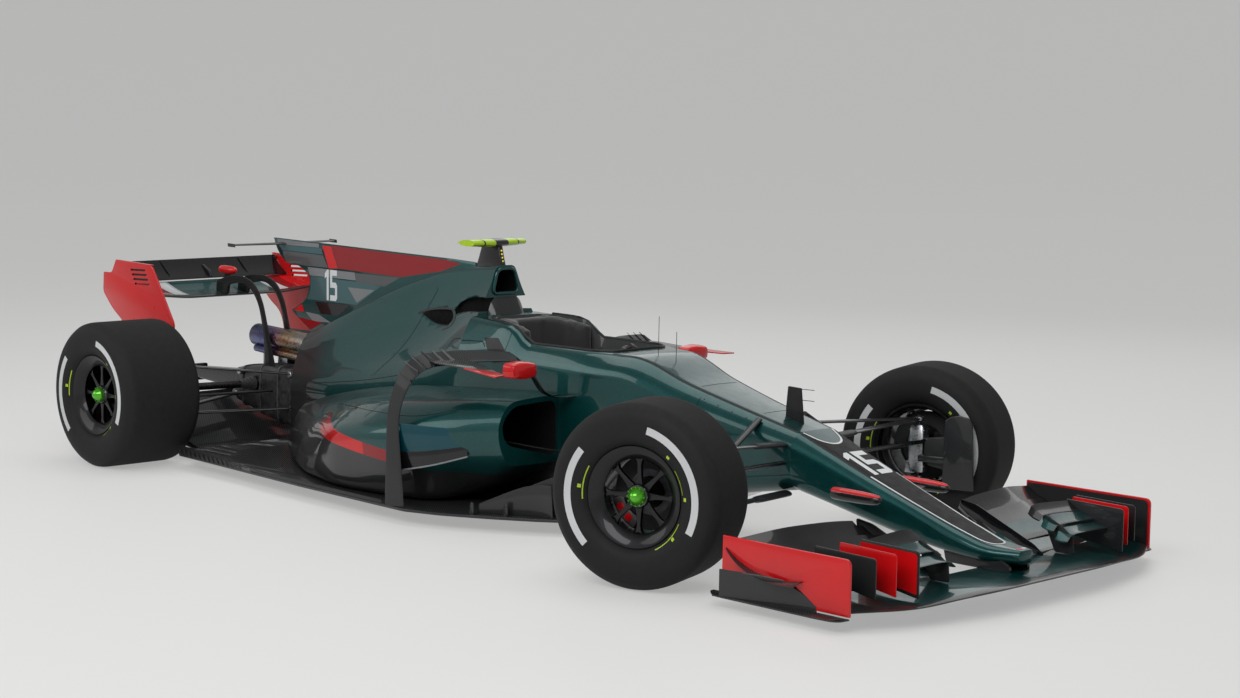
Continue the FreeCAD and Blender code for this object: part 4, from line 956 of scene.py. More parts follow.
pod = {
    "stations": [
        (1062, 256, 526, 540, 518, 602, 430, 590, 330, 540, 256),
        (1300, 130, 520, 590, 503, 690, 402, 650, 262, 500, 130),
        (1520, 67.6, 506, 612, 482, 742, 366, 706, 214, 640, 67.6),
        (1700, 67.6, 496, 594, 470, 744, 350, 724, 206, 676, 67.6),
        (1950, 67.6, 474, 544, 438, 722, 320, 722, 194, 700, 67.6),
        (2300, 67.6, 428, 430, 382, 590, 272, 620, 160, 616, 67.6),
        (2700, 67.6, 350, 280, 306, 370, 222, 402, 140, 404, 67.6),
        (2960, 67.6, 280, 180, 246, 212, 186, 236, 124, 240, 67.6),
    ],
    "radii": [6, 70, 90, 90, 50, 6],
    "mouth": [(286, 508), (520, 499), (584, 430), (560, 345), (286, 275)],
    "throat": [(300, 470), (480, 460), (540, 410), (520, 330), (300, 290)],
    "ductDepth": 560, "coreAt": 1480,
}


def halfOutline(values):
    return [(values[i], values[i + 1]) for i in range(0, len(values), 2)]


def skinRings(table, spacing, bulge):
    rings = []
    for s, values in flowing(table["stations"], spacing):
        ring = softRing(twinned(halfOutline(values)), table["radii"] + table["radii"][::-1], 6, 4, bulge)
        rings.append([mm(s, y, z) for y, z in ring])
    return rings


def ringOf(s, corners, radius):
    return [mm(s, y, z) for y, z in softRing(corners, [radius] * len(corners), 5, 1)]


def prism(outline, low, high, radius=0, material=None):
    # a block over a plan outline of (s, y)
    pts = softRing(outline, [radius] * len(outline), 6, 1) if radius else outline
    n = len(pts)
    verts = [mm(s, y, low) for s, y in pts] + [mm(s, y, high) for s, y in pts]
    faces = [tuple(range(n)), tuple(range(2 * n - 1, n - 1, -1))]
    faces += [(i, (i + 1) % n, n + (i + 1) % n, n + i) for i in range(n)]
    obj = tidy(newMesh("prism", verts, faces))
    return paintWith(obj, material) if material else obj


def shaded(obj):
    # even normals over cut surfaces
    smoothed(obj.data)
    return modify(obj, "WEIGHTED_NORMAL", keep_sharp=True, weight=60)


# Survival cell: the skin, its cockpit and the slope up to the intake
cell = tidy(skinOver("survivalCell", skinRings(tub, 36, 0.012)))
paintWith(cell, tubPaint)
cellShine = shineOf(cell)
carve(cell, prism(widened(tub["opening"]), tub["openingFloor"], 900, 46, weave))
# the footwell's walls are near black: painted shade down in the footwell
footwell = tidy(skinOver("footwell", [
    ringOf(300, [(130, 520), (130, 230), (-130, 230), (-130, 520)], 40),
    ringOf(880, [(180, 590), (190, 120), (-190, 120), (-180, 590)], 60),
]))
carve(cell, paintWith(footwell, shadeAndGapBlack))
cellTree = treeOf(cell)
keepShine(cell, cellShine)
ready(cell, "chassis", hides=["monocoque"])
hoop = {
    "stations": [
        (1612, 74, 708, 66, 640), (1640, 84, 752, 78, 640), (1668, 92, 812, 92, 640),
        (1699.4, 96, 866, 112, 640)
    ],
}
rings = []
for s, values in flowing(hoop["stations"], 9):
    corners = twinned([(values[0] * 0.72, values[1]), (values[0], values[1] - 40), (values[2] + 14, 640)])
    rings.append([mm(s, y, z) for y, z in softRing(corners, [30, 40, 4, 4, 40, 30], 5, 2)])
fairing = tidy(skinOver("rollHoopFairing", rings))
fairing.data.update()
ready(fairing, "chassis", weave)

# Nose, closed by its round tip
rings = skinRings(nose, 30, 0.012)
last = rings[0]
middle = sum(last, Vector()) / len(last)
tips = []
for k in range(6, 0, -1):
    reach, shrink = 25 * math.sin(math.pi / 2 * k / 6) / 1000, math.cos(math.pi / 2 * k / 6.4)
    tips.append([middle + (p - middle) * shrink + Vector((reach * 0.52, 0, 0)) for p in last])
noseSkin = tidy(skinOver("noseSkin", tips + rings))
noseTree = treeOf(noseSkin)
ready(noseSkin, "chassis", nosePaint, hides=["nose_cone"], angle=40)

# Engine cover: open at the intake's mouth, below and at the tail
coverSkin = paintWith(tidy(skinOver("coverSkin", skinRings(cover, 34, 0.010))), coverPaint)
coverTree = treeOf(coverSkin)
coverShine = shineOf(coverSkin)
inside = [(1712, [(96, 640), (256, 538), (256, 60)]), (2300, [(84, 560), (193, 445), (193, 60)]),
          (2700, [(74, 500), (149, 385), (149, 60)]), (3110, [(62, 478), (108, 370), (108, 60)])]
rings = [[mm(s, y, z) for y, z in softRing(twinned(half), [30] * 6, 4, 2)] for s, half in inside]
carve(coverSkin, paintWith(tidy(skinOver("hollow", rings)), mattWeave))
# the intake's duct, its walls near black as painted shade
rings = [ringOf(1690, cover["mouth"], 30), ringOf(1700 + cover["mouthDepth"], cover["throat"], 16)]
carve(coverSkin, paintWith(tidy(skinOver("duct", rings)), shadeAndGapBlack))
outline = [(2215, 766), (2110, 790), (1950, 794), (1922, 766), (1940, 730), (2060, 722)]
almond = softRing(outline, [6, 60, 22, 20, 30, 60], 7, 1)
outline = [
    (1690, 866), (1800, 862), (1890, 838), (1934, 800), (1926, 772), (1880, 790), (1800, 802), (1690, 808),
]
undercut = softRing(outline, [2, 20, 30, 30, 14, 30, 20, 2], 6, 1)
# the almond inlets and the recess under the intake, their walls near black as painted shade
for side in sides:
    carve(coverSkin, paintWith(plate("almond", almond, 160, upright(side, 62), 0), shadeAndGapBlack))
    carve(coverSkin, paintWith(plate("undercut", undercut, 160, upright(side, 66), 0), shadeAndGapBlack))
keepShine(coverSkin, coverShine)
ready(coverSkin, "chassis", hides=["engine_cover"])
lipLine = [mm(1698, y, z) for y, z in softRing(cover["mouth"], [30] * 4, 6, 6)]
lip = sweep("intakeLip", lipLine + lipLine[:1], 0.012, 0.016, 10, (1, 0, 0), ends=False)
ready(lip, "chassis", green)


# Sidepods: undercut flanks that close in to the tail, the inlet's duct, and the cooler behind it
def innerWall(s):
    walls = [(1700, 270), (1950, 244), (2300, 207), (2700, 163), (3100, 120)]
    return float(np.interp(s, [w[0] for w in walls], [w[1] for w in walls])) + 0.4


rings = []
for s, values in flowing(pod["stations"], 34):
    base, top = values[0], values[1]
    half = [
        (innerWall(s), top), (values[2], values[3]), (values[4], values[5]), (values[6], values[7]),
        (values[8], values[9]), (innerWall(s), base)
    ]
    ring = softRing(half, pod["radii"], 7, 4, 0.012)
    rings.append([mm(s, max(y, innerWall(s)), max(z, 67.4)) for y, z in ring])
podSkin = paintWith(tidy(skinOver("podSkinLeft", rings)), podPaint)
podTree = treeOf(podSkin)
podShine = shineOf(podSkin)
# the inlet's duct, its walls near black as painted shade
rings = [ringOf(1050, pod["mouth"], 44), ringOf(1062 + pod["ductDepth"], pod["throat"], 40)]
carve(podSkin, paintWith(tidy(skinOver("duct", rings)), shadeAndGapBlack))
corners = [(a * 1.06 - 14, b * 1.1 - 36) for a, b in pod["throat"]]
rings = [ringOf(s, corners, 36) for s in (pod["coreAt"], pod["coreAt"] + 30)]
core = paintWith(tidy(skinOver("coolerLeft", rings)), coolerCore)
otherCore = mirrored(core, "coolerRight")
for obj in (core, otherCore):
    ready(obj, "chassis")
other = keepShine(mirrored(podSkin, "podSkinRight"), podShine, -1)
keepShine(podSkin, podShine)
ready(podSkin, "chassis", hides=["sidepod_left"])
ready(other, "chassis", hides=["sidepod_right"])
print("skins made")


# Wheels: slick tyres with painted arcs, dished rims with forked spokes, discs, calipers and uprights
wheel = {
    "frontWidth": 305, "rearWidth": 405,
    "rimInset": 26, "spokeFace": 38,  # the flange inside the tyre's face, and the spokes inside the flange
    "rimRadius": 184, "lipRadius": 134, "spokes": 8, "discRadius": 138, "discThickness": 30,
    "frontY": 847.5, "rearY": 797.5, "kingpinY": 735.5, "rearUprightY": 648,
    "whiteArc": (239, 266), "arcAngles": ((-25, 76), (141, 225)),
    "limeArc": (197, 200.5), "limeAngles": ((-62, -22), (8, 34), (150, 186)),
    "ticks": ((204, 216, 2), (204, 216, 46), (204, 216, 171), (204, 216, -40)),
}


def tyreProfile(width):
    half = width / 2
    wall = [(half - 52, 178.4), (half - 38, 181), (half - 22, 191), (half - 8, 209), (half - 1.4, 232),
            (half - 0.3, 256), (half - 1.6, 279), (half - 6, 299), (half - 15, 315.5), (half - 29, 327.5),
            (half - 48, 334), (half * 0.4, 334.9)]
    line = [p.to_2d() for p in smoothLine([Vector((*p, 0)) for p in wall], 9)]
    return [(p.x, p.y) for p in line] + [(-p.x, p.y) for p in reversed(line)]


def wallFilm(profile, radii, start, finish, outward, forward):
    # a film of paint on the sidewall, angles from the wheel's front edge upwards
    wall = sorted((r, a) for a, r in profile if a > 0)
    rows = np.linspace(radii[0], radii[1], 4)
    steps = max(2, int(abs(finish - start) / 2.5))
    verts, faces = [], []
    for k in range(steps + 1):
        turn = math.radians(start + (finish - start) * k / steps)
        for r in rows:
            a = float(
                np.interp(r, [w[0] for w in wall], [w[1] for w in wall])
            ) + 0.45  # just clear of the rubber
            verts.append((outward * a / 1000, forward * r * math.cos(turn) / 1000, r * math.sin(turn) / 1000))
    for k in range(steps):
        for i in range(len(rows) - 1):
            quad = (k * 4 + i, k * 4 + i + 1, k * 4 + i + 5, k * 4 + i + 4)
            faces.append(quad if outward * forward < 0 else quad[::-1])
    return newMesh("film", verts, faces)


def spokePart(face):
    # a forked spoke from the hub to the lip, in the plane across the wheel, its thickness along the axle
    half = [
        (0, 14), (26, 9.5), (66, 7), (84, 10), (104, 22), (128, 33), (133, 24), (112, 12), (96, 3.5),
        (92, 0)
    ]
    outline = half + [(u, -v) for u, v in reversed(half[:-1])]
    return plate("spoke", outline, 18, lambda u, v, w: Vector((u, v, face - 21 + w)) / 1000, 0.0022, 3)


def ventPart():
    # a row of drilled holes across the disc's edge, drawn as flat near-black dots: painted shade in place of
    # the holes
    rings, radius = [], 0.0026
    turns = [k * math.pi / 4 for k in range(8)]
    for z in (-23.5, -15, -6.5):
        verts = [(0.0002, radius * math.cos(t), z / 1000 + radius * math.sin(t)) for t in turns]
        rings.append(newMesh("hole", verts, [tuple(range(8))]))
    return join("vent", rings)


def wheelMatrix(place, outward):
    out, up = Vector(outward).normalized(), Vector((0, 0, 1))
    side = up.cross(out)
    return Matrix.Translation(place) @ Matrix((out, side, up)).transposed().to_4x4()


def makeWheel(corner, side, front):
    width = wheel["frontWidth"] if front else wheel["rearWidth"]
    outer = width / 2 - wheel["rimInset"]
    face = outer - wheel["spokeFace"]
    if front:
        turn, reach = car["restSteer"], (wheel["frontY"] - wheel["kingpinY"]) / 1000
        y = wheel["kingpinY"] / 1000 + reach * math.cos(turn)
        place = Vector((car["frontAxle"] - side * reach * math.sin(turn), side * y, car["hub"] / 1000))
        outward = (-side * math.sin(turn), side * math.cos(turn), 0)
    else:
        place, outward = mm(car["wheelbase"], side * wheel["rearY"], car["hub"]), (0, side, 0)
    matrix = wheelMatrix(place, outward)
    forward = -side
    body = f"wheel_{corner}"
    profile = tyreProfile(width)
    tyre = lathe(f"tyre{corner.title()}", profile, 112)
    ready(moved(tyre, matrix), body, tyreRubber, hides=[f"tyre_{corner}"], angle=50)
    films = {"white": [], "lime": []}
    for facing in sides:
        for start, finish in wheel["arcAngles"]:
            films["white"].append(wallFilm(profile, wheel["whiteArc"], start, finish, facing, forward))
        for start, finish in wheel["limeAngles"]:
            films["lime"].append(wallFilm(profile, wheel["limeArc"], start, finish, facing, forward))
        for low, high, turn in wheel["ticks"]:
            films["lime"].append(wallFilm(profile, (low, high), turn, turn + 3.5, facing, forward))
    ready(moved(join(f"sidewallArcs{corner.title()}", films["white"]), matrix), body, tyreWhite)
    ready(moved(join(f"sidewallTicks{corner.title()}", films["lime"]), matrix), body, lime)

    rimRadius, lip = wheel["rimRadius"], wheel["lipRadius"]
    barrel = [
        (-outer, 172), (-outer, rimRadius - 2), (-outer + 2, rimRadius), (-outer + 6, rimRadius),
        (-outer + 9, 180), (-outer + 12, 178), (-outer + 44, 177), (-outer + 60, 160), (outer - 60, 160),
        (outer - 44, 177), (outer - 12, 178), (outer - 9, 180), (outer - 6, rimRadius),
        (outer - 2, rimRadius), (outer, rimRadius - 2), (outer - 1, 177), (outer - 5, 168),
        (outer - 12, 156), (outer - 20, 145), (face + 9, lip + 3), (face + 5, lip), (face + 1, lip + 2),
        (face - 6, 146), (outer - 58, 153), (-outer + 58, 153), (-outer + 42, 170),
    ]
    rim = [paintWith(lathe("barrel", barrel, 96), rimMetal)]
    hub = [
        (0, 40), (0, 58), (14, 54), (face - 40, 47), (face - 22, 46), (face - 3, 44), (face, 42),
        (face + 7, 39), (face + 8, 31), (face + 8, 14)
    ]
    rim.append(paintWith(lathe("hub", hub, 48), hubMetal))
    rim.append(roundCopies("spokes", spokePart(face), wheel["spokes"], 0.040, rimMetal))
    stud = lathe("stud", [(0, 0), (0, 4), (5, 4), (6, 3), (6, 0)], 10, closed=False)
    stud.data.transform(Matrix.Translation((0, 0, (face + 1) / 1000)) @ Matrix.Rotation(-math.pi / 2, 4, "Y"))
    rim.append(roundCopies("studs", stud, 8, 0.036, bareMetal))
    ready(moved(join(f"rim{corner.title()}", rim), matrix), body, hides=[f"rim_{corner}"])

    nut = [
        (face + 6, 0), (face + 6, 33), (face + 9, 34), (face + 18, 33), (face + 24, 29), (outer - 2, 20),
        (outer + 4, 13), (outer + 7.4, 6), (outer + 8, 0)
    ]
    dome = [paintWith(lathe("nut", nut, 48, closed=False), nutPaint)]
    outline = [(0, 3), (3.4, 1.8), (3.4, -1.8), (0, -3)]
    lug = plate("lug", outline, 16, lambda u, v, w: Vector((u, v, face + 7 + w)) / 1000, 0.0006)
    dome.append(roundCopies("lugs", lug, 12, 0.0318, nutPaint))
    ready(moved(join(f"nut{corner.title()}", dome), matrix), body)

    radius, thick = wheel["discRadius"], wheel["discThickness"]
    ring = [
        (-thick, 84), (-thick, radius - 1.5), (-thick + 1.5, radius), (-1.5, radius), (0, radius - 1.5),
        (0, 84)
    ]
    bell = [(-thick + 4, 50), (-thick + 4, 85), (-thick + 8, 88), (-8, 88), (-4, 85), (-4, 50)]
    disc = [paintWith(lathe("ring", ring, 72), discCarbon), paintWith(lathe("bell", bell, 48), darkMetal)]
    # the hole dots take the near black of painted shade
    disc.append(roundCopies("vents", ventPart(), 64, radius / 1000, shadeAndGapBlack))
    ready(moved(join(f"disc{corner.title()}", disc), matrix), body)


tyreWhite = paint("sidewallWhite", (0.62, 0.63, 0.64), rough=0.6, coat=0.0)
for corner, side, front in (("fr", -1, True), ("fl", 1, True), ("rr", -1, False), ("rl", 1, False)):
    makeWheel(corner, side, front)
print("wheels made")


# Uprights and calipers; the front ones turn with their wheels, so they are drawn straight and then turned
def steered(obj, side):
    pivot = mm(0, wheel["kingpinY"], 0)
    turn = Matrix.Rotation(side * car["restSteer"], 4, "Z")
    moved(obj, Matrix.Translation(pivot) @ turn @ Matrix.Translation(-pivot))
    if side < 0:
        return mirroredHere(obj)
    return obj


def mirroredHere(obj):
    # the piece moved to the other side, its name kept
    name = obj.name
    other = mirrored(obj, name)
    drop(obj)
    other.name = name
    return other


def across(outline, low, high, bevel=0.002, segments=2, radius=0.0, material=None):
    # a side view outline of (s, z) pushed across the car between two places
    obj = plate("across", outline, high - low, lambda u, v, w: mm(u, low + w, v), bevel, segments, radius)
    return paintWith(obj, material) if material else obj


def onAxle(s, radius, turn):
    return s + radius * math.cos(turn), car["hub"] + radius * math.sin(turn)


def arcOutline(s, inner, outer, start, turn):
    turns = [math.radians(start + turn * k / 14) for k in range(15)]
    return [onAxle(s, outer, t) for t in turns] + [onAxle(s, inner, t) for t in reversed(turns)]


def rodBetween(start, finish, radius, material, steps=20):
    # a round bar with broken edges, in millimetres
    start, finish = mm(*start), mm(*finish)
    along = finish - start
    cut = min(0.0012, along.length / 4)
    reach, edge = along.length * 1000, cut * 1000
    profile = [
        (0, 0), (0, radius - edge), (edge, radius), ((along.length - cut) * 1000, radius),
        (reach, radius - edge), (reach, 0)
    ]
    obj = lathe("rod", profile, steps, closed=False)
    moved(obj, Matrix.Translation(start) @ along.to_track_quat("X", "Z").to_matrix().to_4x4())
    return paintWith(obj, material)


def caliperPieces(s, y, start):
    # inner and outer radius, start and sweep in degrees, the span across the car, bevel, its steps, finish
    arcs = [(97, 142, 1, 58, 5, 18, 0.004, 3, castMetal), (97, 142, 1, 58, -66, -35, 0.004, 3, castMetal),
            (143.5, 156, 0, 60, -66, 18, 0.0035, 3, castMetal),
            (106, 134, 12, 12, 17, 19.5, 0.001, 2, red), (106, 134, 36, 12, 17, 19.5, 0.001, 2, red)]
    pieces = []
    for inner, outer, turn, sweepBy, low, high, bevel, steps, material in arcs:
        outline = arcOutline(s, inner, outer, start + turn, sweepBy)
        pieces.append(across(outline, y + low, y + high, bevel, steps, 0, material))
    for k in range(4):
        a, z = onAxle(s, 149, math.radians(start + 8 + 14.5 * k))
        pieces.append(rodBetween((a, y + 17, z), (a, y + 22, z), 4.5, bareMetal, 6))
    return pieces


def uprightPieces(s, y, height):
    rings, low, high = [], car["hub"] - height, car["hub"] + height
    for z, halfX, halfY in (
        (low, 28, 26), (low + 8, 31, 29), (295, 33, 38), (375, 33, 38), (high - 8, 28, 28), (high, 24, 24)
    ):
        ring = softRing([(-halfX, -halfY), (halfX, -halfY), (halfX, halfY), (-halfX, halfY)], [9] * 4, 4, 1)
        rings.append([mm(s + a, y + b, z) for a, b in ring])
    pieces = [paintWith(tidy(skinOver("upright", rings)), bareMetal)]
    for z in (262, 300, 372, 408):
        if abs(z - car["hub"]) < height - 8:
            outline = [(s - 35, y - 30), (s + 35, y - 30), (s + 37, y + 34), (s - 37, y + 34)]
            pieces.append(paintWith(plate("rib", outline, 5, level(z), 0.0012, 2, 8), bareMetal))
    return pieces


for corner, side in (("fr", -1), ("fl", 1)):
    y, s = wheel["kingpinY"], 0
    pieces = uprightPieces(s, y, 96)
    pieces.append(rodBetween((0, y, 204), (0, y, 466), 6.9, hubMetal, 20))
    for z in (202, 223, 442, 463):
        pieces.append(rodBetween((0, y, z), (0, y, z + 5), 11, hubMetal, 6))
    pieces.append(
        rodBetween((0, y - 30, car["hub"]), (0, wheel["frontY"] + 88, car["hub"]), 30, hubMetal, 32)
    )
    pieces.append(
        across([(-74, 353), (-74, 362), (-20, 362), (-20, 340)], y - 14, y + 14, 0.003, 3, 0, bareMetal)
    )
    pieces.append(
        across(
            [(22, 226), (68, 226), (62, 274), (28, 274)], y + 20, wheel["frontY"] - 50, 0.003, 2, 0,
            bareMetal
        )
    )
    pieces += caliperPieces(0, wheel["frontY"], -70)
    carrier = join(f"upright{corner.title()}", pieces)
    ready(steered(carrier, side), f"knuckle_{corner}", hides=[f"upright_{corner}"])
    # the brake duct: a tall vane with slats that feeds air to the disc
    vane = [
        (-262, 190), (-258, 330), (-250, 462), (-234, 482), (-196, 490), (-160, 482), (-138, 466),
        (-130, 190)
    ]
    duct = [across(vane, y - 82, y - 70, 0.003, 3, 0, weave)]
    duct.append(
        across([(-150, 290), (-150, 318), (-25, 318), (-25, 292)], y - 81, y - 22, 0.004, 3, 0, weave)
    )
    for k in range(7):
        z = 214 + 38 * k
        duct.append(paintWith(plate("slat", [(-256, y - 72), (-140, y - 72), (-146, y - 44),
                                    (-232, y - 44)],
                                    2.6, lambda u, v, w, z=z: mm(u, v, z + w + (v - y + 72) * 0.16),
                                    0.0008, 1, 6), mattWeave))
    elbow = [(-130, 262), (-150, 330), (-130, 398), (-60, 388), (-44, 366), (-44, 300), (-62, 276)]
    duct.append(across(elbow, y - 64, y - 38, 0.006, 3, 0, mattWeave))
    ready(steered(join(f"brakeDuct{corner.title()}", duct), side), f"knuckle_{corner}")

y, s = wheel["rearUprightY"], car["wheelbase"]
pieces = uprightPieces(s, y, 111)
pieces.append(rodBetween((s, y + 4, car["hub"]), (s, wheel["rearY"] + 138, car["hub"]), 30, hubMetal, 32))
bracket = [(s + 12, 226), (s + 58, 226), (s + 52, 274), (s + 16, 274)]
pieces.append(across(bracket, y + 12, wheel["rearY"] - 50, 0.003, 2, 0, bareMetal))
pieces += caliperPieces(s, wheel["rearY"], -70)
bothSides(join("rearUpright", pieces), "chassis", "rearUpright", hides=["rear_uprights"])
vane = [(s - 150, 250), (s - 168, 340), (s - 150, 440), (s - 96, 462), (s - 40, 452), (s - 40, 240)]
slat = [(s - 150, y + 20), (s - 60, y + 20), (s - 60, y + 42), (s - 158, y + 42)]
bridge = [(s - 60, y + 24), (s - 20, y + 24), (s - 20, y + 48), (s - 60, y + 48)]
duct = [across(vane, y + 40, y + 50, 0.003, 3, 0, weave)]
for k in range(5):
    duct.append(paintWith(plate("slat", slat, 2.6, level(262 + 40 * k), 0.0008, 1, 5), mattWeave))
duct.append(paintWith(plate("bridge", bridge, 60, level(305), 0.004, 3), mattWeave))
bothSides(join("rearDuct", duct), "chassis", "rearDuct")
print("uprights made")


# Shared makers for plates, films of paint and smooth outlines
def bandPaint(name, axis, stops, last):
    # colours in bands along an axis: (limit in metres, colour) upwards, then the last; along Y both ways
    shader = Shader(name, last, 0.32, 0.0, 0.65, Specular_IOR_Level=0.2)
    value = shader.split()[axis]
    if axis == 1:
        value = shader.math("ABSOLUTE", value)
    tint = shader.cloudy(last, 3, 0.92, 1.06)
    for limit, colour in reversed(stops):
        tint = shader.mix(shader.step(value, limit), colour, tint)
    shader.drive(Base_Color=tint)
    shader.sprayed(0.32)
    return shader.material


def sideFilm(outlines, y, material, lift=0.35):
    # flat patches of paint on an upright plate, in (s, z), facing away from the middle
    verts, faces = [], []
    for outline in outlines:
        start = len(verts)
        verts += [mm(s, y + math.copysign(lift, y), z) for s, z in outline]
        area = sum(a[0] * b[1] - b[0] * a[1] for a, b in zip(outline, outline[1:] + outline[:1]))
        ring = list(range(start, start + len(outline)))
        faces.append(ring if (area > 0) == (y > 0) else ring[::-1])
    return paintWith(newMesh("film", verts, faces), material)


def markLead(obj, stations, share, material):
    # the leading share of a wing's chord in another finish
    rows = flowing(stations, 20)
    ys, leads, chords = [r[0] for r in rows], [r[1][0] for r in rows], [r[1][2] for r in rows]
    obj.data.materials.append(material)
    for face in obj.data.polygons:
        y = face.center.y * 1000
        back = (car["frontAxle"] - face.center.x) * 1000 - float(np.interp(y, ys, leads))
        if back < share * float(np.interp(y, ys, chords)):
            face.material_index = 1
    return obj


# Front wing
frontWing = {
    "mainplane": [
        (0, -1180, 88, 290, 14, 0, 0), (250, -1180, 88, 290, 14, 0, 0), (460, -1150, 80, 250, 14, -5, 4),
        (670, -1105, 68, 240, 13, -7, 5), (874.7, -1000, 66, 230, 11, -4, 4),
    ],
    "flaps": 4, "flapStep": 92, "flapSlope": 16, "flapSlopeStep": 6,
    "vanes": [
        (760, -1012, -745, 96, 238, "carbon"), (680, -1034, -786, 96, 246, "red"),
        (600, -1066, -812, 84, 250, "edged"),
    ],
    "plateIn": 875,
}
half = frontWing["mainplane"]
stations = [(-y, *rest) for y, *rest in reversed(half[1:])] + half
mainplane = markLead(paintWith(wing("frontMainplane", stations, 36, 32), green), stations, 0.16, weave)
ready(mainplane, "chassis", hides=["front_wing_mainplane"])
for i in range(frontWing["flaps"]):
    back, slope = frontWing["flapStep"] * i, frontWing["flapSlope"] + frontWing["flapSlopeStep"] * i
    curl = [(262, -925 + back, 78 + 14 * i, 70, 4, -2, slope - 26),
            (276, -916 + back, 70 + 22 * i, 92, 6, -3, slope - 14),
            (292, -909 + back, 84 + 26 * i, 106, 7, -4, slope - 4)]
    stations = curl + [(318, -905 + back, 96 + 27 * i, 112, 7, -4, slope),
                       (600, -880 + back, 92 + 31 * i, 118, 7, -5, slope),
                       (874.7, -775 + back * 0.9, 84 + 30 * i, 100, 6, -3, 14 + 5 * i)]
    flap = paintWith(wing("frontFlap", stations, 24, 26), green if i < 2 else gloss)
    markLead(flap, stations, 0.22 if i < 2 else 0.08, weave)
    bothSides(flap, "chassis", f"frontFlap{i + 1}", hides=["front_flaps"])
# the upper cascade over the inner flaps, and the thin fence that carries the tips
cascade = []
for k in range(3):
    stations = [(330, -1010 + 62 * k, 150 + 30 * k, 58, 5, -3, 2 + 9 * k),
                (352, -1008 + 62 * k, 166 + 30 * k, 62, 6, -4, 10 + 9 * k),
                (400, -1004 + 62 * k, 172 + 26 * k, 66, 6, -4, 16 + 8 * k),
                (598, -1000 + 62 * k, 168 + 24 * k, 62, 6, -4, 14 + 8 * k)]
    piece = paintWith(wing("cascade", stations, 22, 22), (green, green, gloss)[k])
    cascade.append(markLead(piece, stations, 0.1, weave))
outline = [(-1012, 100), (-1008, 160), (-960, 196), (-880, 232), (-868, 214), (-900, 160), (-930, 96)]
cascade.append(paintWith(plate("post", outline, 3.4, upright(1, 366), 0.001, 2, 10), mattWeave))
bothSides(join("frontCascade", cascade), "chassis", "frontCascade")
outline = [(-930, 92), (-880, 128), (-620, 238), (-540, 250), (-552, 196), (-740, 122), (-860, 90)]
fence = plate("fence", outline, 5, upright(1, 300), 0.0012, 2, 14)
bothSides(paintWith(fence, gloss), "chassis", "innerFence")
vanes = []
for y, front, rear, low, high, kind in frontWing["vanes"]:
    outline = [(rear, low + 40), (front, low), (front, high - 4), (rear, high + 2)]
    edge = softRing(outline, [4, 6, 16, 6], 6, 0)
    vanes.append(paintWith(plate("vane", edge, 4, upright(1, y), 0.0012, 2), red if kind == "red" else weave))
    if kind == "edged":
        outline = [(rear, low + 52), (front + 9, low + 14), (front + 9, high - 13), (rear, high - 7)]
        inner = softRing(outline, [3, 4, 14, 3], 6, 0)
        vanes += [sideFilm([inner], y + 4, red), sideFilm([inner], -y, red)]
        moved(vanes[-1], Matrix.Scale(-1, 4, (0, 1, 0)))
        vanes[-1].data.flip_normals()
bothSides(join("wingVanes", vanes), "chassis", "wingVanes")

y = frontWing["plateIn"]
ring = softRing([(-1003, 53), (-1003, 245), (-434, 245), (-431, 53)], [3, 26, 3, 3], 8, 0)
panel = plate("endplate", ring, 10, upright(1, y), 0.0022, 3)
paintWith(panel, red)
ring = softRing([(-994, 60), (-994, 237), (-440, 237), (-438, 60)], [3, 22, 3, 3], 8, 0)
inside = plate("inside", ring, 1.2, upright(1, y - 0.9), 0)
outline = [(-996, 874), (-992, 918), (-968, 936), (-900, 941.6), (-440, 941.6), (-388, 896), (-385, 874)]
foot = plate("foot", softRing(outline, [2, 24, 24, 30, 40, 10, 2], 6, 0), 5, level(40.6), 0.0016, 2)
edge = [
    (-996, 885, 46), (-985, 908, 50), (-960, 930, 46), (-900, 938, 43.5), (-700, 938.5, 43.5),
    (-440, 938.5, 43.5),
]
lipEdge = sweep("lipEdge", smoothLine([mm(*p) for p in edge], 0.02), 0.006, 0.006, 10, (0, 0, 1))
# the strake curls down and forward along the outer face, wider towards the front
curve = ((-452, 203), (-500, 172), (-560, 147), (-640, 131), (-720, 130), (-800, 140))
line = smoothLine([mm(s, 885, z) for s, z in curve], 0.018)
count = len(line)
verts, faces = [], []
for k, p in enumerate(line):
    reach = (6 + 40 * math.sin(math.pi / 2 * k / (count - 1)) ** 0.8) / 1000
    droop = 0.012 * (k / (count - 1)) ** 2
    for thick in (0.0016, -0.0016):
        verts += [
            p + Vector((0, reach * t, thick * (1.0 - 0.75 * t) - droop * t * t))
            for t in (-0.02, 0.25, 0.5, 0.75, 1.0)
        ]
for k in range(count - 1):
    a, b = k * 10, (k + 1) * 10
    for i in range(4):
        faces += [(a + i, a + i + 1, b + i + 1, b + i), (a + 5 + i, b + 5 + i, b + 6 + i, a + 6 + i)]
    faces += [(a + 4, a + 9, b + 9, b + 4), (a, b, b + 5, a + 5)]
faces += [(0, 5, 6, 7, 8, 9, 4, 3, 2, 1), tuple((count - 1) * 10 + i for i in (0, 1, 2, 3, 4, 9, 8, 7, 6, 5))]
strake = paintWith(tidy(newMesh("strake", verts, faces)), weave)
wall = []
for s, out in ((-860, 886), (-800, 888), (-720, 899), (-640, 914), (-560, 927), (-470, 939)):
    top = 52 + 86 * max(0.05, min(1, (s + 860) / 150)) ** 0.6
    corners = ((out - 5.5, 44), (out, 44), (out, top), (out - 3, top + 2), (out - 5.5, top))
    wall.append([mm(s, y, z) for y, z in corners])
guide = paintWith(tidy(skinOver("guide", wall)), weave)
ends = [panel, paintWith(inside, mattWeave), paintWith(foot, weave), paintWith(lipEdge, weave), strake, guide]
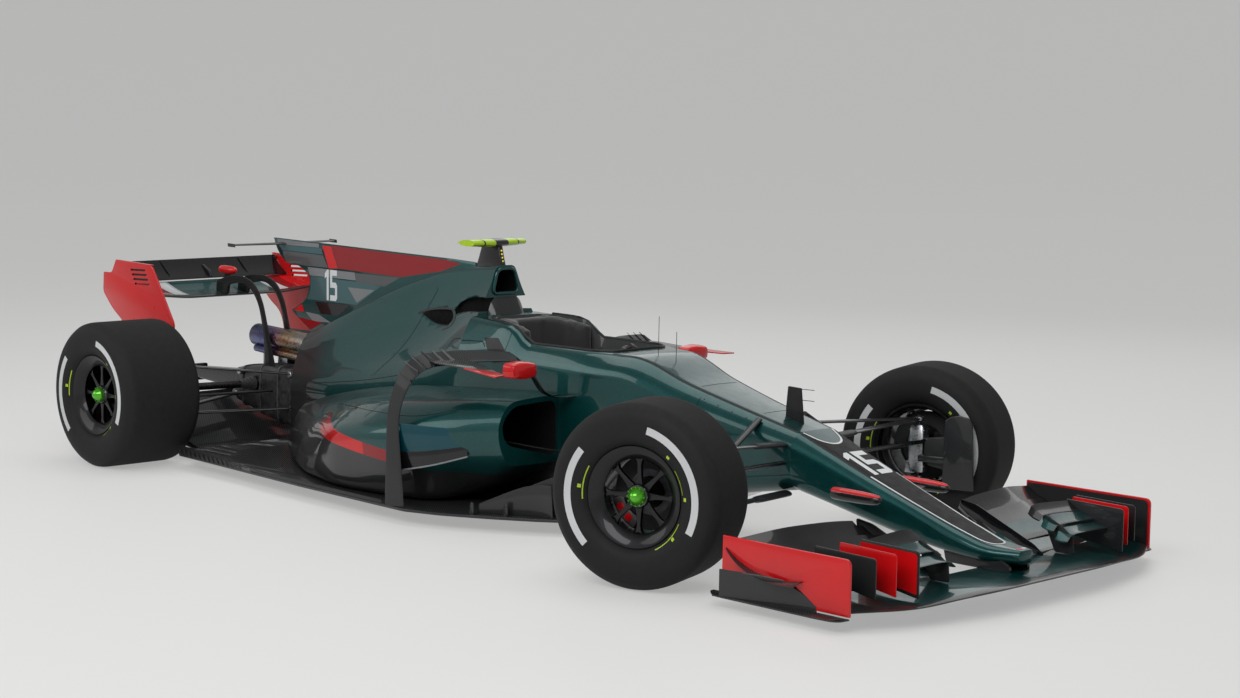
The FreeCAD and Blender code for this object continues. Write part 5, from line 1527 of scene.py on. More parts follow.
bothSides(join("frontEndplate", ends), "chassis", "frontEndplate", hides=["front_endplates"])

# the pylons, smooth and slightly swept
pylon = across(
    [(-1040, 92), (-1036, 118), (-1000, 134), (-800, 152), (-742, 160), (-760, 92)], 48, 61, 0.005, 3, 12,
    weave
)
bothSides(pylon, "chassis", "nosePylon", hides=["nose_pylons"])

# Rear wing
rearWing = {
    "mainplane": [(-464.7, 3712, 750, 232, 18, -15, 12), (-240, 3700, 732, 247, 20, -16, 14),
                  (240, 3700, 732, 247, 20, -16, 14), (464.7, 3712, 750, 232, 18, -15, 12)],
    "flapLead": (3925, 800), "flapChord": 150, "flapSlope": 38, "flapTip": 459.6,
    "louvres": 4,
}
bands = [
    (0.262, paints["green"]), (0.268, paints["white"]), (0.272, paints["green"]),
    (0.338, paints["white"]), (0.344, (0.02, 0.02, 0.02)), (0.405, paints["darkRed"]),
]
wingPaint = bandPaint("wingBlocks", 1, bands, paints["red"])
main = paintWith(wing("rearMainplane", rearWing["mainplane"], 24, 36), wingPaint)
markLead(main, rearWing["mainplane"], 0.13, weave)
ready(main, "chassis", hides=["rear_wing_mainplane"])
lead, high = rearWing["flapLead"]
chord, slope, tip = rearWing["flapChord"], rearWing["flapSlope"], rearWing["flapTip"]
stations = [
    (-tip, lead, high, chord, 10, -8, slope), (0, lead, high, chord, 10.4, -8, slope),
    (tip, lead, high, chord, 10, -8, slope)
]
flap = paintWith(wing("flap", stations, 40, 30), gloss)
pieces = [flap]
reach = chord * 0.9
s, z = lead + reach * math.cos(math.radians(slope)), high + reach * math.sin(math.radians(slope)) - 4
for side in sides:
    for low, top, radius, material, steps in (
        (tip - 6, tip - 6 + 5.8, 13.8, darkMetal, 28), (tip - 7, 472.8, 4.95, hubMetal, 16)
    ):
        pieces.append(rodBetween((s, side * low, z), (s, side * top, z), radius, material, steps))
horn = [
    (lead + 2, 806), (lead + 20, 838), (lead + 44, 846), (lead + 84, 866), (lead + 60, 842),
    (lead + 20, 812)
]
pieces.append(across(horn, -7, 7, 0.002, 2, 6, darkMetal))
stop = [
    (lead + 4, 802), (lead + 40, 838), (lead + 112, 893), (lead + 116, 886), (lead + 60, 836),
    (lead + 14, 799)
]
for y in (-232, 232):
    pieces.append(across(stop, y - 1.5, y + 1.5, 0.0005, 1, 3, darkMetal))
ready(join("drsFlap", pieces), "drs_flap", hides=["drs_flap"])

endPaint = bandPaint("endplatePaint", 2, [(0.520, paints["black"])], paints["red"])
outline = [(3985, 600), (3952, 480), (3935, 300), (3925, 151), (3706, 151), (3690, 300), (3676, 420),
           (3640, 492), (3590, 545), (3541, 612), (3596, 690), (3665, 790), (3741, 894), (3850, 898),
           (4056, 904.6), (4070, 880), (4096, 838), (4168, 837), (4174.6, 740), (4088, 657)]
radii = [60, 60, 60, 4, 4, 60, 60, 30, 60, 40, 60, 50, 22, 20, 6, 10, 16, 8, 20, 50]
ring = softRing(outline, radii, 6, 0)
panel = plate("endplate", ring, 9.6, upright(1, 465.2), 0.0018, 2)
paintWith(panel, endPaint)
# the louvre slots' walls are near black as painted shade
for k in range(rearWing["louvres"]):
    s, z = 3919 - 12 * k, 868 - 22 * k
    outline = softRing([(s, z), (s - 128, z + 4), (s - 124, z - 6), (s + 4, z - 10)], [3] * 4, 4, 0)
    slot = plate("slot", outline, 40, upright(1, 450), 0)
    carve(panel, paintWith(slot, shadeAndGapBlack))
shaded(panel)
gurney = across([(3745, 896), (4052, 903.6), (4052, 900), (3745, 892)], 456, 475, 0.0008, 1, 0, red)
plates = join("rearEndplate", [panel, gurney])
bothSides(plates, "chassis", "rearEndplate", hides=["rear_endplates"])

# the stays, the flap's actuator pod and the small wing on the fin
outline = softRing([(3300, 402), (3360, 590), (3404, 726), (3466, 806), (3560, 838), (3680, 832),
                    (3786, 802), (3792, 738), (3700, 738), (3684, 788), (3570, 806), (3496, 780),
                   (3436, 714), (3396, 590), (3378, 402)],
                   [4, 80, 60, 60, 60, 60, 20, 6, 6, 24, 60, 60, 60, 80, 4], 7, 0)
stay = plate("stay", outline, 8, upright(1, 60), 0.003, 3)
bothSides(paintWith(stay, satin), "chassis", "wingStay", hides=["rear_wing_stay"])
profile = [
    (0, 0), (2, 8), (10, 14), (26, 19.5), (50, 21.5), (100, 21.8), (124, 20), (132, 15), (134, 6), (134, 0)
]
case = lathe("case", profile, 32, closed=False)
moved(case, Matrix.Translation(mm(3716, 0, 849)) @ Matrix.Rotation(math.pi, 4, "Z"))
line = smoothLine([mm(3790, 0, 842), mm(3792, 0, 800), mm(3800, 0, 742)], 0.01)
stalk = sweep("stalk", line, 0.052, 0.012, 24, (1, 0, 0))
pieces = [paintWith(case, red), paintWith(stalk, satin)]
ready(join("drsActuator", pieces), "chassis", hides=["drs_actuator"])
stations = [(-300, 3296, 1008, 52, 6, 1, 4), (0, 3288, 1006, 60, 8, 1, 4), (300, 3296, 1008, 52, 6, 1, 4)]
top = [paintWith(wing("topWing", stations, 24, 24), weave)]
end = softRing([(3290, 1000), (3292, 1016), (3352, 1018), (3350, 1001)], [4] * 4, 3, 0)
for side in sides:
    top.append(across(end, side * 300 - 1.2, side * 300 + 1.2, 0.0006, 1, 0, weave))
ready(join("topWing", top), "chassis", hides=["t_wing"])
print("wings made")


# Seams, strips and bolts that follow the skins
def onSurface(tree, p):
    place, normal, _, _ = tree.find_nearest(p)
    if normal.dot(p - place) < 0:
        normal = -normal
    return place, normal


def laidLine(tree, points, spacing=0.012):
    # the points moved onto a surface, with its normals
    line = smoothLine(points, spacing)
    laid = [onSurface(tree, p) for p in line]
    return [p for p, _ in laid], [n for _, n in laid]


def seam(tree, points, width, material, lift=0.0005):
    # a narrow strip along a surface
    places, normals = laidLine(tree, points)
    verts, faces = [], []
    for k, (p, n) in enumerate(zip(places, normals)):
        along = places[min(k + 1, len(places) - 1)] - places[max(k - 1, 0)]
        side = along.cross(n).normalized() * (width / 2)
        verts += [p + n * lift - side, p + n * lift, p + n * lift + side]
    for k in range(len(places) - 1):
        for i in range(2):
            faces.append((3 * k + i, 3 * k + i + 1, 3 * k + i + 4, 3 * k + i + 3))
    obj = newMesh("strip", verts, faces)
    first = obj.data.polygons[0]
    if first.normal.dot(normals[0]) < 0:
        obj.data.flip_normals()
    return paintWith(obj, material)


def bolts(name, tree, lines, spacing, size=3.4, material=None):
    # a row of countersunk screws along each line
    profile = [
        (-0.4, 0), (-0.4, size + 0.5), (0.25, size + 0.5), (0.5, size), (0.5, size * 0.55),
        (0.1, size * 0.4), (0.1, 0)
    ]
    head = lathe("head", profile, 10, closed=False)
    head.data.transform(Matrix.Rotation(-math.pi / 2, 4, "Y"))
    laid = [laidLine(tree, line, 0.01) for line in lines]
    obj = alongCopies(name, head, [p for p, _ in laid], [n for _, n in laid], spacing, material or darkMetal)
    drop(head)
    return ready(obj, "chassis")


def bandOutline(points, width):
    # a closed outline of a band along flat points
    pts = [Vector(p) for p in points]
    left, right = [], []
    for k, p in enumerate(pts):
        along = (pts[min(k + 1, len(pts) - 1)] - pts[max(k - 1, 0)]).normalized()
        side = Vector((-along.y, along.x)) * width / 2
        left.append(tuple(p + side))
        right.append(tuple(p - side))
    return left + right[::-1]


def sideLine(points, side):
    return [mm(s, side * y, z) for s, y, z in points]


# Nose: the black top panel with its white outline, the plain number and the rails along the edges
def mark(name, outlines, lift, material, place, longest=0.02):
    return paintWith(transfer(name, outlines, lift=lift, longest=longest, **place), material)


def inMetres(points):
    return [(y / 1000, s / 1000) for s, y in points]


def smoothFlat(points):
    return [tuple(p)[:2] for p in smoothLine([Vector((*p, 0)) for p in points], 0.01)]


noseTop = {"tree": noseTree, "origin": mm(0, 0, 380), "right": (0, 1, 0), "up": (-1, 0, 0)}
cellTop = {**noseTop, "tree": cellTree, "origin": mm(0, 0, 640)}
panelHalf = [(87, -90), (81, -244), (74, -416), (65, -620), (55, -800), (48, -890), (36, -938), (18, -958)]
panelTop = [(-62, -150), (-34, -180), (0, -190), (34, -180), (62, -150)]


def roundTip(half):
    left = [(-y / 1000, s / 1000) for y, s in half]
    return left + [(0, -0.962)] + [(y / 1000, s / 1000) for y, s in reversed(half)]


outline = roundTip(panelHalf) + [(y / 1000, s / 1000) for y, s in reversed(panelTop)]
rim = smoothFlat(roundTip(panelHalf[2:]))
crown = smoothFlat([(y / 1000, s / 1000) for y, s in [(-83, -92)] + panelTop + [(83, -92)]])
number = [[(u * 0.8 - 0.069, v - 0.414) for u, v in bar] for bar in figures("15", 0.160)]
films = [mark("panel", [outline], 0.0005, filmBlack, noseTop),
         mark("outline", [bandOutline(rim, 0.0080)], 0.0010, white, noseTop),
         mark("crown", [bandOutline(crown, 0.0085)], 0.0010, white, noseTop),
         mark("number", number, 0.0013, white, noseTop, 0.012)]
for u, colour in ((-0.022, red), (0.004, white)):
    block = [(u, -1.050), (u + 0.024, -1.050), (u + 0.024, -1.034), (u, -1.034)]
    films.append(mark("block", [block], 0.0007, colour, noseTop))
for side in sides:
    rail = inMetres([(s, side * y) for s, y in ((-92, 95), (-244, 86), (-416, 79), (-621, 70), (-700, 66))])
    films.append(mark("rail", [bandOutline(rail, 0.010)], 0.0006, mattWeave, noseTop))
ready(join("noseMarks", films), "chassis")
films = []
for side in sides:
    rail = inMetres(
        [(s, side * y) for s, y in ((-78, 95), (188, 109), (470, 132), (640, 148), (755, 162), (846, 176))]
    )
    films.append(mark("rail", [bandOutline(rail, 0.011)], 0.0006, mattWeave, cellTop))
for y, s in ((100, 423), (75, 118), (60, 30)):
    films.append(mark("gap", [bandOutline(inMetres([(s, -y), (s, y)]), 0.0022)], 0.0005, shadeAndGapBlack, cellTop))
cellLines = [([(365, 175, 600), (362, 205, 560), (356, 216, 480), (350, 222, 380), (345, 226, 300)], 0.0024),
             ([(1390, 242, 750), (1400, 262, 690), (1440, 268, 600), (1690, 270, 560)], 0.0024),
             ([(1699, 262, 699), (1590, 262, 702), (1555, 262, 700), (1520, 262, 662), (1492, 268, 628),
               (1560, 270, 620), (1699, 270, 617)], 0.0034)]
for side in sides:
    for line, width in cellLines:
        films.append(seam(cellTree, sideLine(line, side), width, shadeAndGapBlack))
    flank = {"tree": cellTree, "origin": Vector((0, side * 0.6, 0)), "right": (-side, 0, 0), "up": (0, 0, 1)}
    slab = [
        (-side * at(s), z / 1000)
        for s, z in ((1552, 716), (1462, 722), (1372, 650), (1388, 634), (1470, 615))
    ]
    films.append(mark("slab", [slab], 0.0008, satin, flank))
ready(join("cellSeams", films), "chassis")
screwLines = []
for side in sides:
    screwLines.append(sideLine([(-60, 124, 470), (180, 146, 532), (350, 166, 584)], side))
    screwLines.append(sideLine([(1420, 238, 760), (1560, 226, 770), (1680, 214, 776)], side))
bolts("cellScrews", cellTree, screwLines, 0.062)

# Engine cover: split lines, their screws and the hooded side inlets' lips
films, screwLines = [], []
split = [
    (2105, 44, 880), (2140, 66, 820), (2190, 92, 740), (2250, 122, 650), (2320, 150, 560), (2400, 176, 470)
]
lower = [(1720, 262, 640), (1900, 250, 580), (2150, 226, 510), (2500, 186, 440), (2900, 140, 380)]
wedge = [(1701, 240, 699), (1790, 210, 697), (1838, 200, 693), (1852, 220, 660), (1861, 240, 627),
         (1780, 250, 620), (1701, 262, 617)]
hood = [(2225, 92, 768), (2150, 96, 790), (2050, 100, 802), (1950, 104, 802), (1912, 112, 770),
        (1924, 122, 732), (1990, 124, 710)]
for side in sides:
    for line, width in ((split, 0.0026), (lower, 0.0024), (wedge, 0.0034)):
        films.append(seam(coverTree, sideLine(line, side), width, shadeAndGapBlack))
    screwLines.append(sideLine([(s + 20, y, z) for s, y, z in split], side))
    screwLines.append(sideLine([(s, y, z - 16) for s, y, z in lower], side))
    films.append(seam(coverTree, sideLine(hood, side), 0.010, gloss, 0.0012))
ready(join("coverSeams", films), "chassis")
bolts("coverScrews", coverTree, screwLines, 0.075)

# Sidepods: the lid's split line, screws and a small round port
lid = [
    (1180, 480, 508), (1300, 620, 470), (1500, 690, 440), (1800, 650, 420), (2100, 540, 400),
    (2500, 330, 340)
]
tailJoint = [(2440, 300, 370), (2470, 400, 330), (2490, 470, 250), (2496, 520, 170), (2500, 540, 100)]
turns = [k * math.pi / 12 for k in range(25)]
port = [mm(1560, 420, 540) + Vector((0.030 * math.cos(t), 0.030 * math.sin(t), 0)) for t in turns]
films = [seam(podTree, sideLine(lid, 1), 0.0024, shadeAndGapBlack), seam(podTree, sideLine(tailJoint, 1),
         0.0024, shadeAndGapBlack), seam(podTree, port, 0.0030, shadeAndGapBlack)]
marks = join("podSeamsLeft", films)
screws = bolts("podScrewsLeft", podTree, [sideLine([(s, y - 12, z + 14) for s, y, z in lid], 1)], 0.08)
other, otherScrews = mirrored(marks, "podSeamsRight"), mirrored(screws, "podScrewsRight")
for obj in (marks, other, otherScrews):
    ready(obj, "chassis")

# Shark fin with its blocks of colour
fin = [(1884, 880), (1890, 1003), (2039, 1008.6), (3392.6, 1032.6), (3363, 973), (3291, 914), (3196, 911),
       (3112, 872), (3098, 832),
       (3128, 758), (3172, 728), (3250, 690), (3090, 594), (2900, 560), (2300, 700)]
ring = softRing(fin, [4, 14, 20, 3, 30, 30, 30, 26, 26, 30, 16, 6, 6, 4, 4], 6, 1)
finPlate = plate("sharkFin", ring, 7.8, lambda u, v, w: mm(u, w - 3.9, v), 0.0016, 2)
ready(paintWith(finPlate, green), "chassis", hides=["shark_fin"])
blocks = [
    ("darkRed", [(2932, 1018), (2100, 1002), (1990, 990), (2130, 948), (2414, 903), (2883, 913)]),
    ("red", [(3005, 1014), (2936, 1014), (2885, 913), (2955, 909)]),
    ("light", [(3366, 1027), (3031, 1022), (3031, 1003), (3356, 1002)]),
    ("teal", [(3352, 1000), (3012, 1000), (2999, 972), (3324, 975)]),
    ("dark", [(3322, 973), (2999, 969), (2960, 912), (3143, 911), (3196, 914), (3288, 917), (3308, 938)]),
    ("light", [(3120, 906), (2757, 902), (2747, 866), (3104, 867)]),
    ("dark", [(2755, 900), (2420, 900), (2534, 851), (2744, 858)]),
    ("teal", [(3094, 865), (2744, 860), (2562, 850), (2740, 752), (3122, 752), (3098, 800)]),
    ("light", [(2807, 830), (2608, 830), (2740, 762)]),
    ("black", [(3058, 744), (2790, 748), (2880, 690), (3019, 690)]),
    ("red", [(3166, 726), (3148, 690), (3232, 690)]),
    ("light", [(3137, 690), (3030, 684), (2935, 653), (3078, 649)]),
    ("darkRed", [(3200, 660), (3000, 648), (3100, 606)]),
]
finPaints = {
    "darkRed": darkRed, "red": red, "light": greyLight, "teal": tealPaint, "dark": greyPaint, "black": gloss
}
films = []
number = figures("15", 0.145)
for side in sides:
    for k, (colour, outline) in enumerate(blocks):
        films.append(sideFilm([outline], side * 3.9, finPaints[colour], 0.22 + 0.05 * k))
    for bar in number:
        spots = [((2986 - 620 * u) if side < 0 else (2858 + 620 * u), 758 + 1000 * v) for u, v in bar]
        films.append(sideFilm([spots], side * 3.9, white, 1.1))
ready(join("finBlocks", films), "chassis")
print("livery made")
# Small makers for the outer details
def curvedWall(low, high, thick, material):
    # a sheet between a lower and an upper line of (s, y, z)
    lines = [smoothLine([mm(*p) for p in line], each=7) for line in (low, high)]
    rings = []
    for k, (a, b) in enumerate(zip(*lines)):
        along = lines[0][min(k + 1, len(lines[0]) - 1)] - lines[0][max(k - 1, 0)]
        side = along.cross(b - a).normalized() * thick / 2000
        rings.append([a - side, a + side, b + side, b - side])
    return paintWith(soften(tidy(skinOver("wall", rings)), 0.0009, 2), material)


def arm(start, finish, wide, thick, material):
    # a suspension arm, oval, slimmer at its ends
    points = [mm(*start).lerp(mm(*finish), t) for t in (0, 0.05, 0.18, 0.5, 0.82, 0.95, 1)]
    widths = [wide * share / 1000 for share in (0.62, 0.82, 1, 1, 1, 0.95, 0.86)]
    return paintWith(sweep("arm", points, widths, thick / 1000, 24), material)


def along(spot, target):
    # turns a piece drawn along X from a point towards another
    return Matrix.Translation(spot) @ (target - spot).to_track_quat("X", "Z").to_matrix().to_4x4()


def turnedAt(profile, start, finish, material, steps=32, closed=False):
    # (along, radius) points turned about the line from start to finish, in (s, y, z)
    obj = lathe("turned", profile, steps, closed)
    return paintWith(moved(obj, along(mm(*start), mm(*finish))), material)


def bellows(start, finish, low, high, folds):
    # a rubber boot between two radii
    length = (mm(*finish) - mm(*start)).length * 1000
    profile = [(0, 0), (0, high + 1)]
    for k in range(folds * 2 + 1):
        share = k / (folds * 2)
        radius = high + (low - high) * share
        profile.append((length * share, radius if k % 2 == 0 else radius - 3.5))
    return turnedAt(profile + [(length, 0)], start, finish, gripRubber, 28)


# The arch that runs up from the floor's corner and in over the sidepod's shoulder
arch = {
    "spine": [(1485, 784, 67.6), (1492, 781, 130), (1512, 769, 250), (1536, 753, 380), (1534, 742, 470),
              (1513, 721, 560), (1485, 690, 622), (1464, 640, 652), (1448, 570, 658), (1434, 480, 661),
              (1395, 380, 660), (1340, 262, 655)],
    "widths": [120, 114, 94, 76, 76, 80, 86, 90, 90, 88, 84, 80],
    "tilts": [0, 0, 0, 0, 6, 16, 26, 30, 30, 28, 24, 20],
    "slats": 6, "slatLong": 100, "slatWide": 20,
}
spine = smoothLine([mm(*p) for p in arch["spine"]], each=9)
widths = [
    float(np.interp(k / 9, range(len(arch["widths"])), arch["widths"])) / 1000 for k in range(len(spine))
]
tilts = [
    math.radians(float(np.interp(k / 9, range(len(arch["tilts"])), arch["tilts"])))
    for k in range(len(spine))
]
chords = [Vector((math.cos(t), 0, -math.sin(t))) for t in tilts]  # the front edge hangs lower towards the top
pieces = [paintWith(sweep("ribbon", spine, widths, 0.008, 20, chords, power=0.5), mattWeave)]
for k in range(arch["slats"]):
    i = int(9 * (5.3 + 0.62 * k))
    p, tangent = spine[i], (spine[i + 1] - spine[i - 1]).normalized()
    chord = chords[i]
    normal = tangent.cross(chord).normalized()
    normal *= 1 if normal.z > 0 else -1
    rise, over = tangent * 0.88 + normal * 0.47, normal * 0.88 - tangent * 0.47
    half, wide = arch["slatLong"] / 2, arch["slatWide"]
    hook = [
        (-half, 2), (half - 16, 2), (half + 10, 7), (half + 4, wide * 0.62), (half - 26, wide * 0.7),
        (-half + 14, wide)
    ]
    slat = plate(
        "slat", hook, 2.2, lambda u, v, w: p + (chord * -u + rise * (v - 1) + over * w) / 1000, 0.0007, 2, 5
    )
    pieces.append(paintWith(slat, weave))
black = [(1073, 597), (1240, 520), (1380, 482), (1500, 486), (1520, 610), (1400, 648), (1231, 639)]
redTip = [(1231, 640), (1072, 597), (993, 627), (979, 690)]
for outline, material in ((black, weave), (redTip, red)):
    winglet = plate(
        "winglet", outline, 5, lambda u, v, w: mm(u, v, 634 + w + (u - 980) * 0.035), 0.0018, 3, 9
    )
    pieces.append(paintWith(winglet, material))
bothSides(join("arch", pieces), "chassis", "arch", hides=["side_vanes"])
# the deflector: a teal upper panel, a gloss black band, and along the lower edge a 7 mm pale strip of painted
# highlight
low = [(1502, 744, 205), (1350, 700, 240), (1210, 630, 285)]
high = [(1502, 744, 402), (1350, 700, 400), (1210, 630, 396)]
split = [(1502, 744, 284), (1350, 700, 304), (1210, 630, 330)]
edge = [(s, y, z + 7) for s, y, z in low]
pieces = [
    curvedWall(split, high, 6, vaneTeal), curvedWall(edge, split, 6, gloss),
    curvedWall(low, edge, 6, greyLight)
]
line = ((1216, 632, 384), (1120, 520, 352), (1010, 380, 318), (960, 262, 300))
strut = smoothLine([mm(*p) for p in line], 0.02)
pieces.append(paintWith(sweep("strut", strut, 0.026, 0.006, 16), weave))
bothSides(join("deflector", pieces), "chassis", "deflector")
pieces = []
for i in range(3):
    s, y, top = 645 + 105 * i, 292 + 98 * i, 300 - 50 * i
    foot = [(s, y, 67.4), (s + 75, y + 18, 67.4), (s + 150, y + 50, 67.4), (s + 290, y + 147, 67.4)]
    crest = [
        (s + 10, y, top), (s + 80, y + 18, top - 6), (s + 150, y + 50, top - 24),
        (s + 282, y + 145, top - 92)
    ]
    pieces.append(curvedWall(foot, crest, 6, weave))
for s, y in ((1130, 660), (1010, 585)):
    pieces.append(
        across(
            [(s, 67), (s + 2, 112), (s + 12, 118), (s + 22, 110), (s + 26, 67)], y, y + 7, 0.0015, 2, 0,
            weave
        )
    )
bothSides(join("bargeboards", pieces), "chassis", "bargeboards", hides=["bargeboards"])

# Mirrors: a rounded red shell, its glass set back in a black frame, and a curved blade stalk
shellRings = [(1009, 0.52), (1012, 0.76), (1018, 0.92), (1030, 1.0), (1050, 1.04), (1070, 1.06)]
middle, size = (496, 643), (68, 31)
rings = []
for s, share in shellRings:
    y, z = size[0] * share, size[1] * share
    ring = softRing([(y, z), (y, -z * 0.9), (-y, -z), (-y, z * 0.9)], [22, 22, 20, 20], 7, 3, 0.05)
    rings.append([mm(s, middle[0] + a, middle[1] + b) for a, b in ring])
shell = paintWith(tidy(skinOver("shell", rings)), red)
pocket = softRing([(64, 27), (64, -24), (-64, -27), (-64, 24)], [19] * 4, 7, 3, 0.05)
rings = [[mm(s, middle[0] + a, middle[1] + b) for a, b in pocket] for s in (1064, 1080)]
carve(shell, paintWith(skinOver("pocket", rings), satin))
shaded(shell)
glass = [[mm(s, middle[0] + a * share, middle[1] + b * share) for a, b in pocket]
         for s, share in ((1064.5, 0.97), (1066.5, 0.97), (1067.2, 0.94), (1067.8, 0.5))]
pieces = [shell, paintWith(tidy(skinOver("glass", glass)), mirrorGlass)]
stalk = [
    (1040, 446, 634), (1032, 428, 598), (1018, 398, 552), (1008, 350, 530), (1000, 300, 526),
    (990, 262, 528)
]
stalk = smoothLine([mm(*p) for p in stalk], 0.01)
shape = [
    float(np.interp(k, [0, len(stalk) * 0.5, len(stalk)], [34, 44, 66])) / 1000 for k in range(len(stalk))
]
pieces.append(paintWith(sweep("stalk", stalk, shape, 0.0075, 18), gloss))
bothSides(join("mirror", pieces), "chassis", "mirror", hides=["mirrors"])
print("arches and mirrors made")


# Cockpit: rim, padded headrest, seat, belts and the steering wheel
def puffed(obj, voxel, cap):
    # cloth under light pressure swells a padded piece, no point further than the cap
    modify(obj, "REMESH", mode="VOXEL", voxel_size=voxel)
    modify(obj, "SMOOTH", factor=0.6, iterations=4)
    before = [v.co.copy() for v in obj.data.vertices]
    cloth = obj.modifiers.new("Cloth", "CLOTH")
    cloth.settings.use_pressure = True
    cloth.settings.uniform_pressure_force = 4.0
    cloth.settings.effector_weights.gravity = 0
    scene = bpy.context.scene
    for moment in range(1, 15):
        scene.frame_set(moment)
    bake(obj)
    scene.frame_set(1)
    for vert, old in zip(obj.data.vertices, before):
        move = vert.co - old
        if move.length > cap:
            vert.co = old + move.normalized() * cap
    modify(obj, "SMOOTH", factor=0.5, iterations=3)
    return modify(obj, "SUBSURF", levels=1, render_levels=1)


rim = [(852, 134), (944, 192), (1474, 207), (1580, 176)]
ring = softRing(widened(rim), [50, 40, 30, 8, 8, 30, 40, 50], 7, 8)
gate = next(k for k, (s, y) in enumerate(ring) if s > 1500 and y < 0)
line = []
for s, y in ring[gate:] + ring[:gate]:
    hit = cellTree.ray_cast(mm(s, y, 1200), Vector((0, 0, -1)))[0]
    if hit is not None and hit.z > 0.5:
        line.append(hit + Vector((0, 0, 0.001)))
bead = sweep("cockpitRim", line, 0.016, 0.011, 14, (0, 0, 1))
ready(bead, "chassis", satin)
half = [(1546, 76), (1462, 132), (1436, 133), (1350, 158), (1350, 190), (1474, 194), (1608, 146)]
head = prism(widened(half), 614, 786, 9)
head.name = "headrestPad"
for vert in head.data.vertices:  # the top falls towards the front
    if vert.co.z > 0.7:
        vert.co.z -= 0.030 * max(0.0, (vert.co.x - at(1500)) / 0.15)
puffed(head, 0.0065, 0.005)
headTree = treeOf(head)
ready(head, "chassis", padCloth, hides=["headrest"], angle=60)
seams = []
crestLine = [
    (1354, 172, 762), (1430, 165, 780), (1500, 158, 790), (1560, 130, 790), (1590, 70, 790), (1596, 0, 790)
]
over = [(1372, 152, 740), (1376, 168, 770), (1378, 188, 744)]
for side in sides:
    seams += [seam(headTree, sideLine(line, side), 0.0028, gripRubber, 0.0006) for line in (crestLine, over)]
ready(join("headrestSeams", seams), "chassis")

outline = [
    (1130, 106), (1560, 106), (1604, 578), (1591, 588), (1500, 330), (1400, 180), (1290, 150), (1150, 210),
    (1121, 200)
]
shell = across(outline, -139, 139, 0.006, 3, 0, weave)
scoop = [(1110, 262), (1150, 232), (1215, 192), (1285, 172), (1335, 178), (1380, 200), (1430, 258),
         (1478, 340), (1520, 460), (1560, 640)]
carve(
    shell,
    across([tuple(p) for p in softRing(scoop, [4] + [40] * 8 + [4], 5, 0)], -116, 116, 0, 0, 0, mattWeave)
)
shell.name = "seatShell"
ready(shaded(shell), "chassis", hides=["seat"])
bed = smoothLine([mm(s, 0, z) for s, z in scoop[1:9]], 0.006)


def upFrom(tangent):
    # the upward normal of a line in the car's middle plane
    normal = tangent.normalized().cross(Vector((0, 1, 0))).normalized()
    return normal if normal.z > 0 else -normal


cushionLine, thick = [], []
for k, p in enumerate(bed):
    cushionLine.append(p + upFrom(bed[min(k + 1, len(bed) - 1)] - bed[max(k - 1, 0)]) * 0.0125)
    thick.append(0.023 - 0.0085 * math.exp(-((((k + 6) % 12) - 6) / 1.1) ** 2))
cushion = sweep("seatCushion", cushionLine, 0.208, thick, 40, (0, 1, 0), power=0.55)
modify(cushion, "SUBSURF", levels=1, render_levels=1)
ready(cushion, "chassis", seatCloth, angle=80)


def onSeat(share, y, lift):
    # a point along the cushion, y across the car and raised by the lift
    k = share * (len(bed) - 1)
    i = min(int(k), len(bed) - 2)
    return bed[i].lerp(bed[i + 1], k - i) + upFrom(bed[i + 1] - bed[i]) * lift + Vector((0, y / 1000, 0))


pieces = []
for side in sides:
    straps = [[onSeat(0.99 - 0.62 * t, side * (62 - 50 * t),
              0.027 + 0.012 * math.sin(3.1 * t)) for t in (0, 0.25, 0.5, 0.75, 1)],
              [onSeat(0.42 - 0.03 * t, side * (104 - 84 * t), 0.026 + 0.012 * t) for t in (0, 0.5, 1)]]
    for points, wide in zip(straps, (0.046, 0.040)):
        strap = smoothLine(points, 0.01)
        widthAxis = (0, 1, 0) if wide > 0.042 else (1, 0, 0.4)
        pieces.append(paintWith(sweep("strap", strap, wide, 0.0024, 14, widthAxis, power=0.4), beltCloth))
strap = smoothLine([onSeat(0.12, 0, 0.026), onSeat(0.24, 0, 0.034), onSeat(0.37, 0, 0.038)], 0.01)
pieces.append(paintWith(sweep("strap", strap, 0.044, 0.0024, 14, (0, 1, 0), power=0.4), beltCloth))
spot, lead = onSeat(0.385, 0, 0.040), onSeat(0.385, 0, 0.080)
profile = [(-3, 0), (-3, 26), (1, 30), (7, 29), (10, 24), (11, 12), (13, 11), (14, 7), (14, 0)]
buckle = lathe("buckle", profile, 36, closed=False)
pieces.append(paintWith(moved(buckle, along(spot, lead)), hubMetal))
ready(join("seatBelts", pieces), "chassis")

# Steering wheel, drawn upright round its hub and then turned with the front wheels
hub = mm(1040, 0, 600)
tilt = math.radians(14)
inHand = Matrix.Translation(hub) @ Matrix.Rotation(tilt, 4, "Y") @ Matrix.Rotation(math.radians(-162), 4, "X")


def facing(x):
    # places (y, z) on the wheel, its thickness running to the nose
    return lambda u, v, w: Vector((x + w, u, v)) / 1000


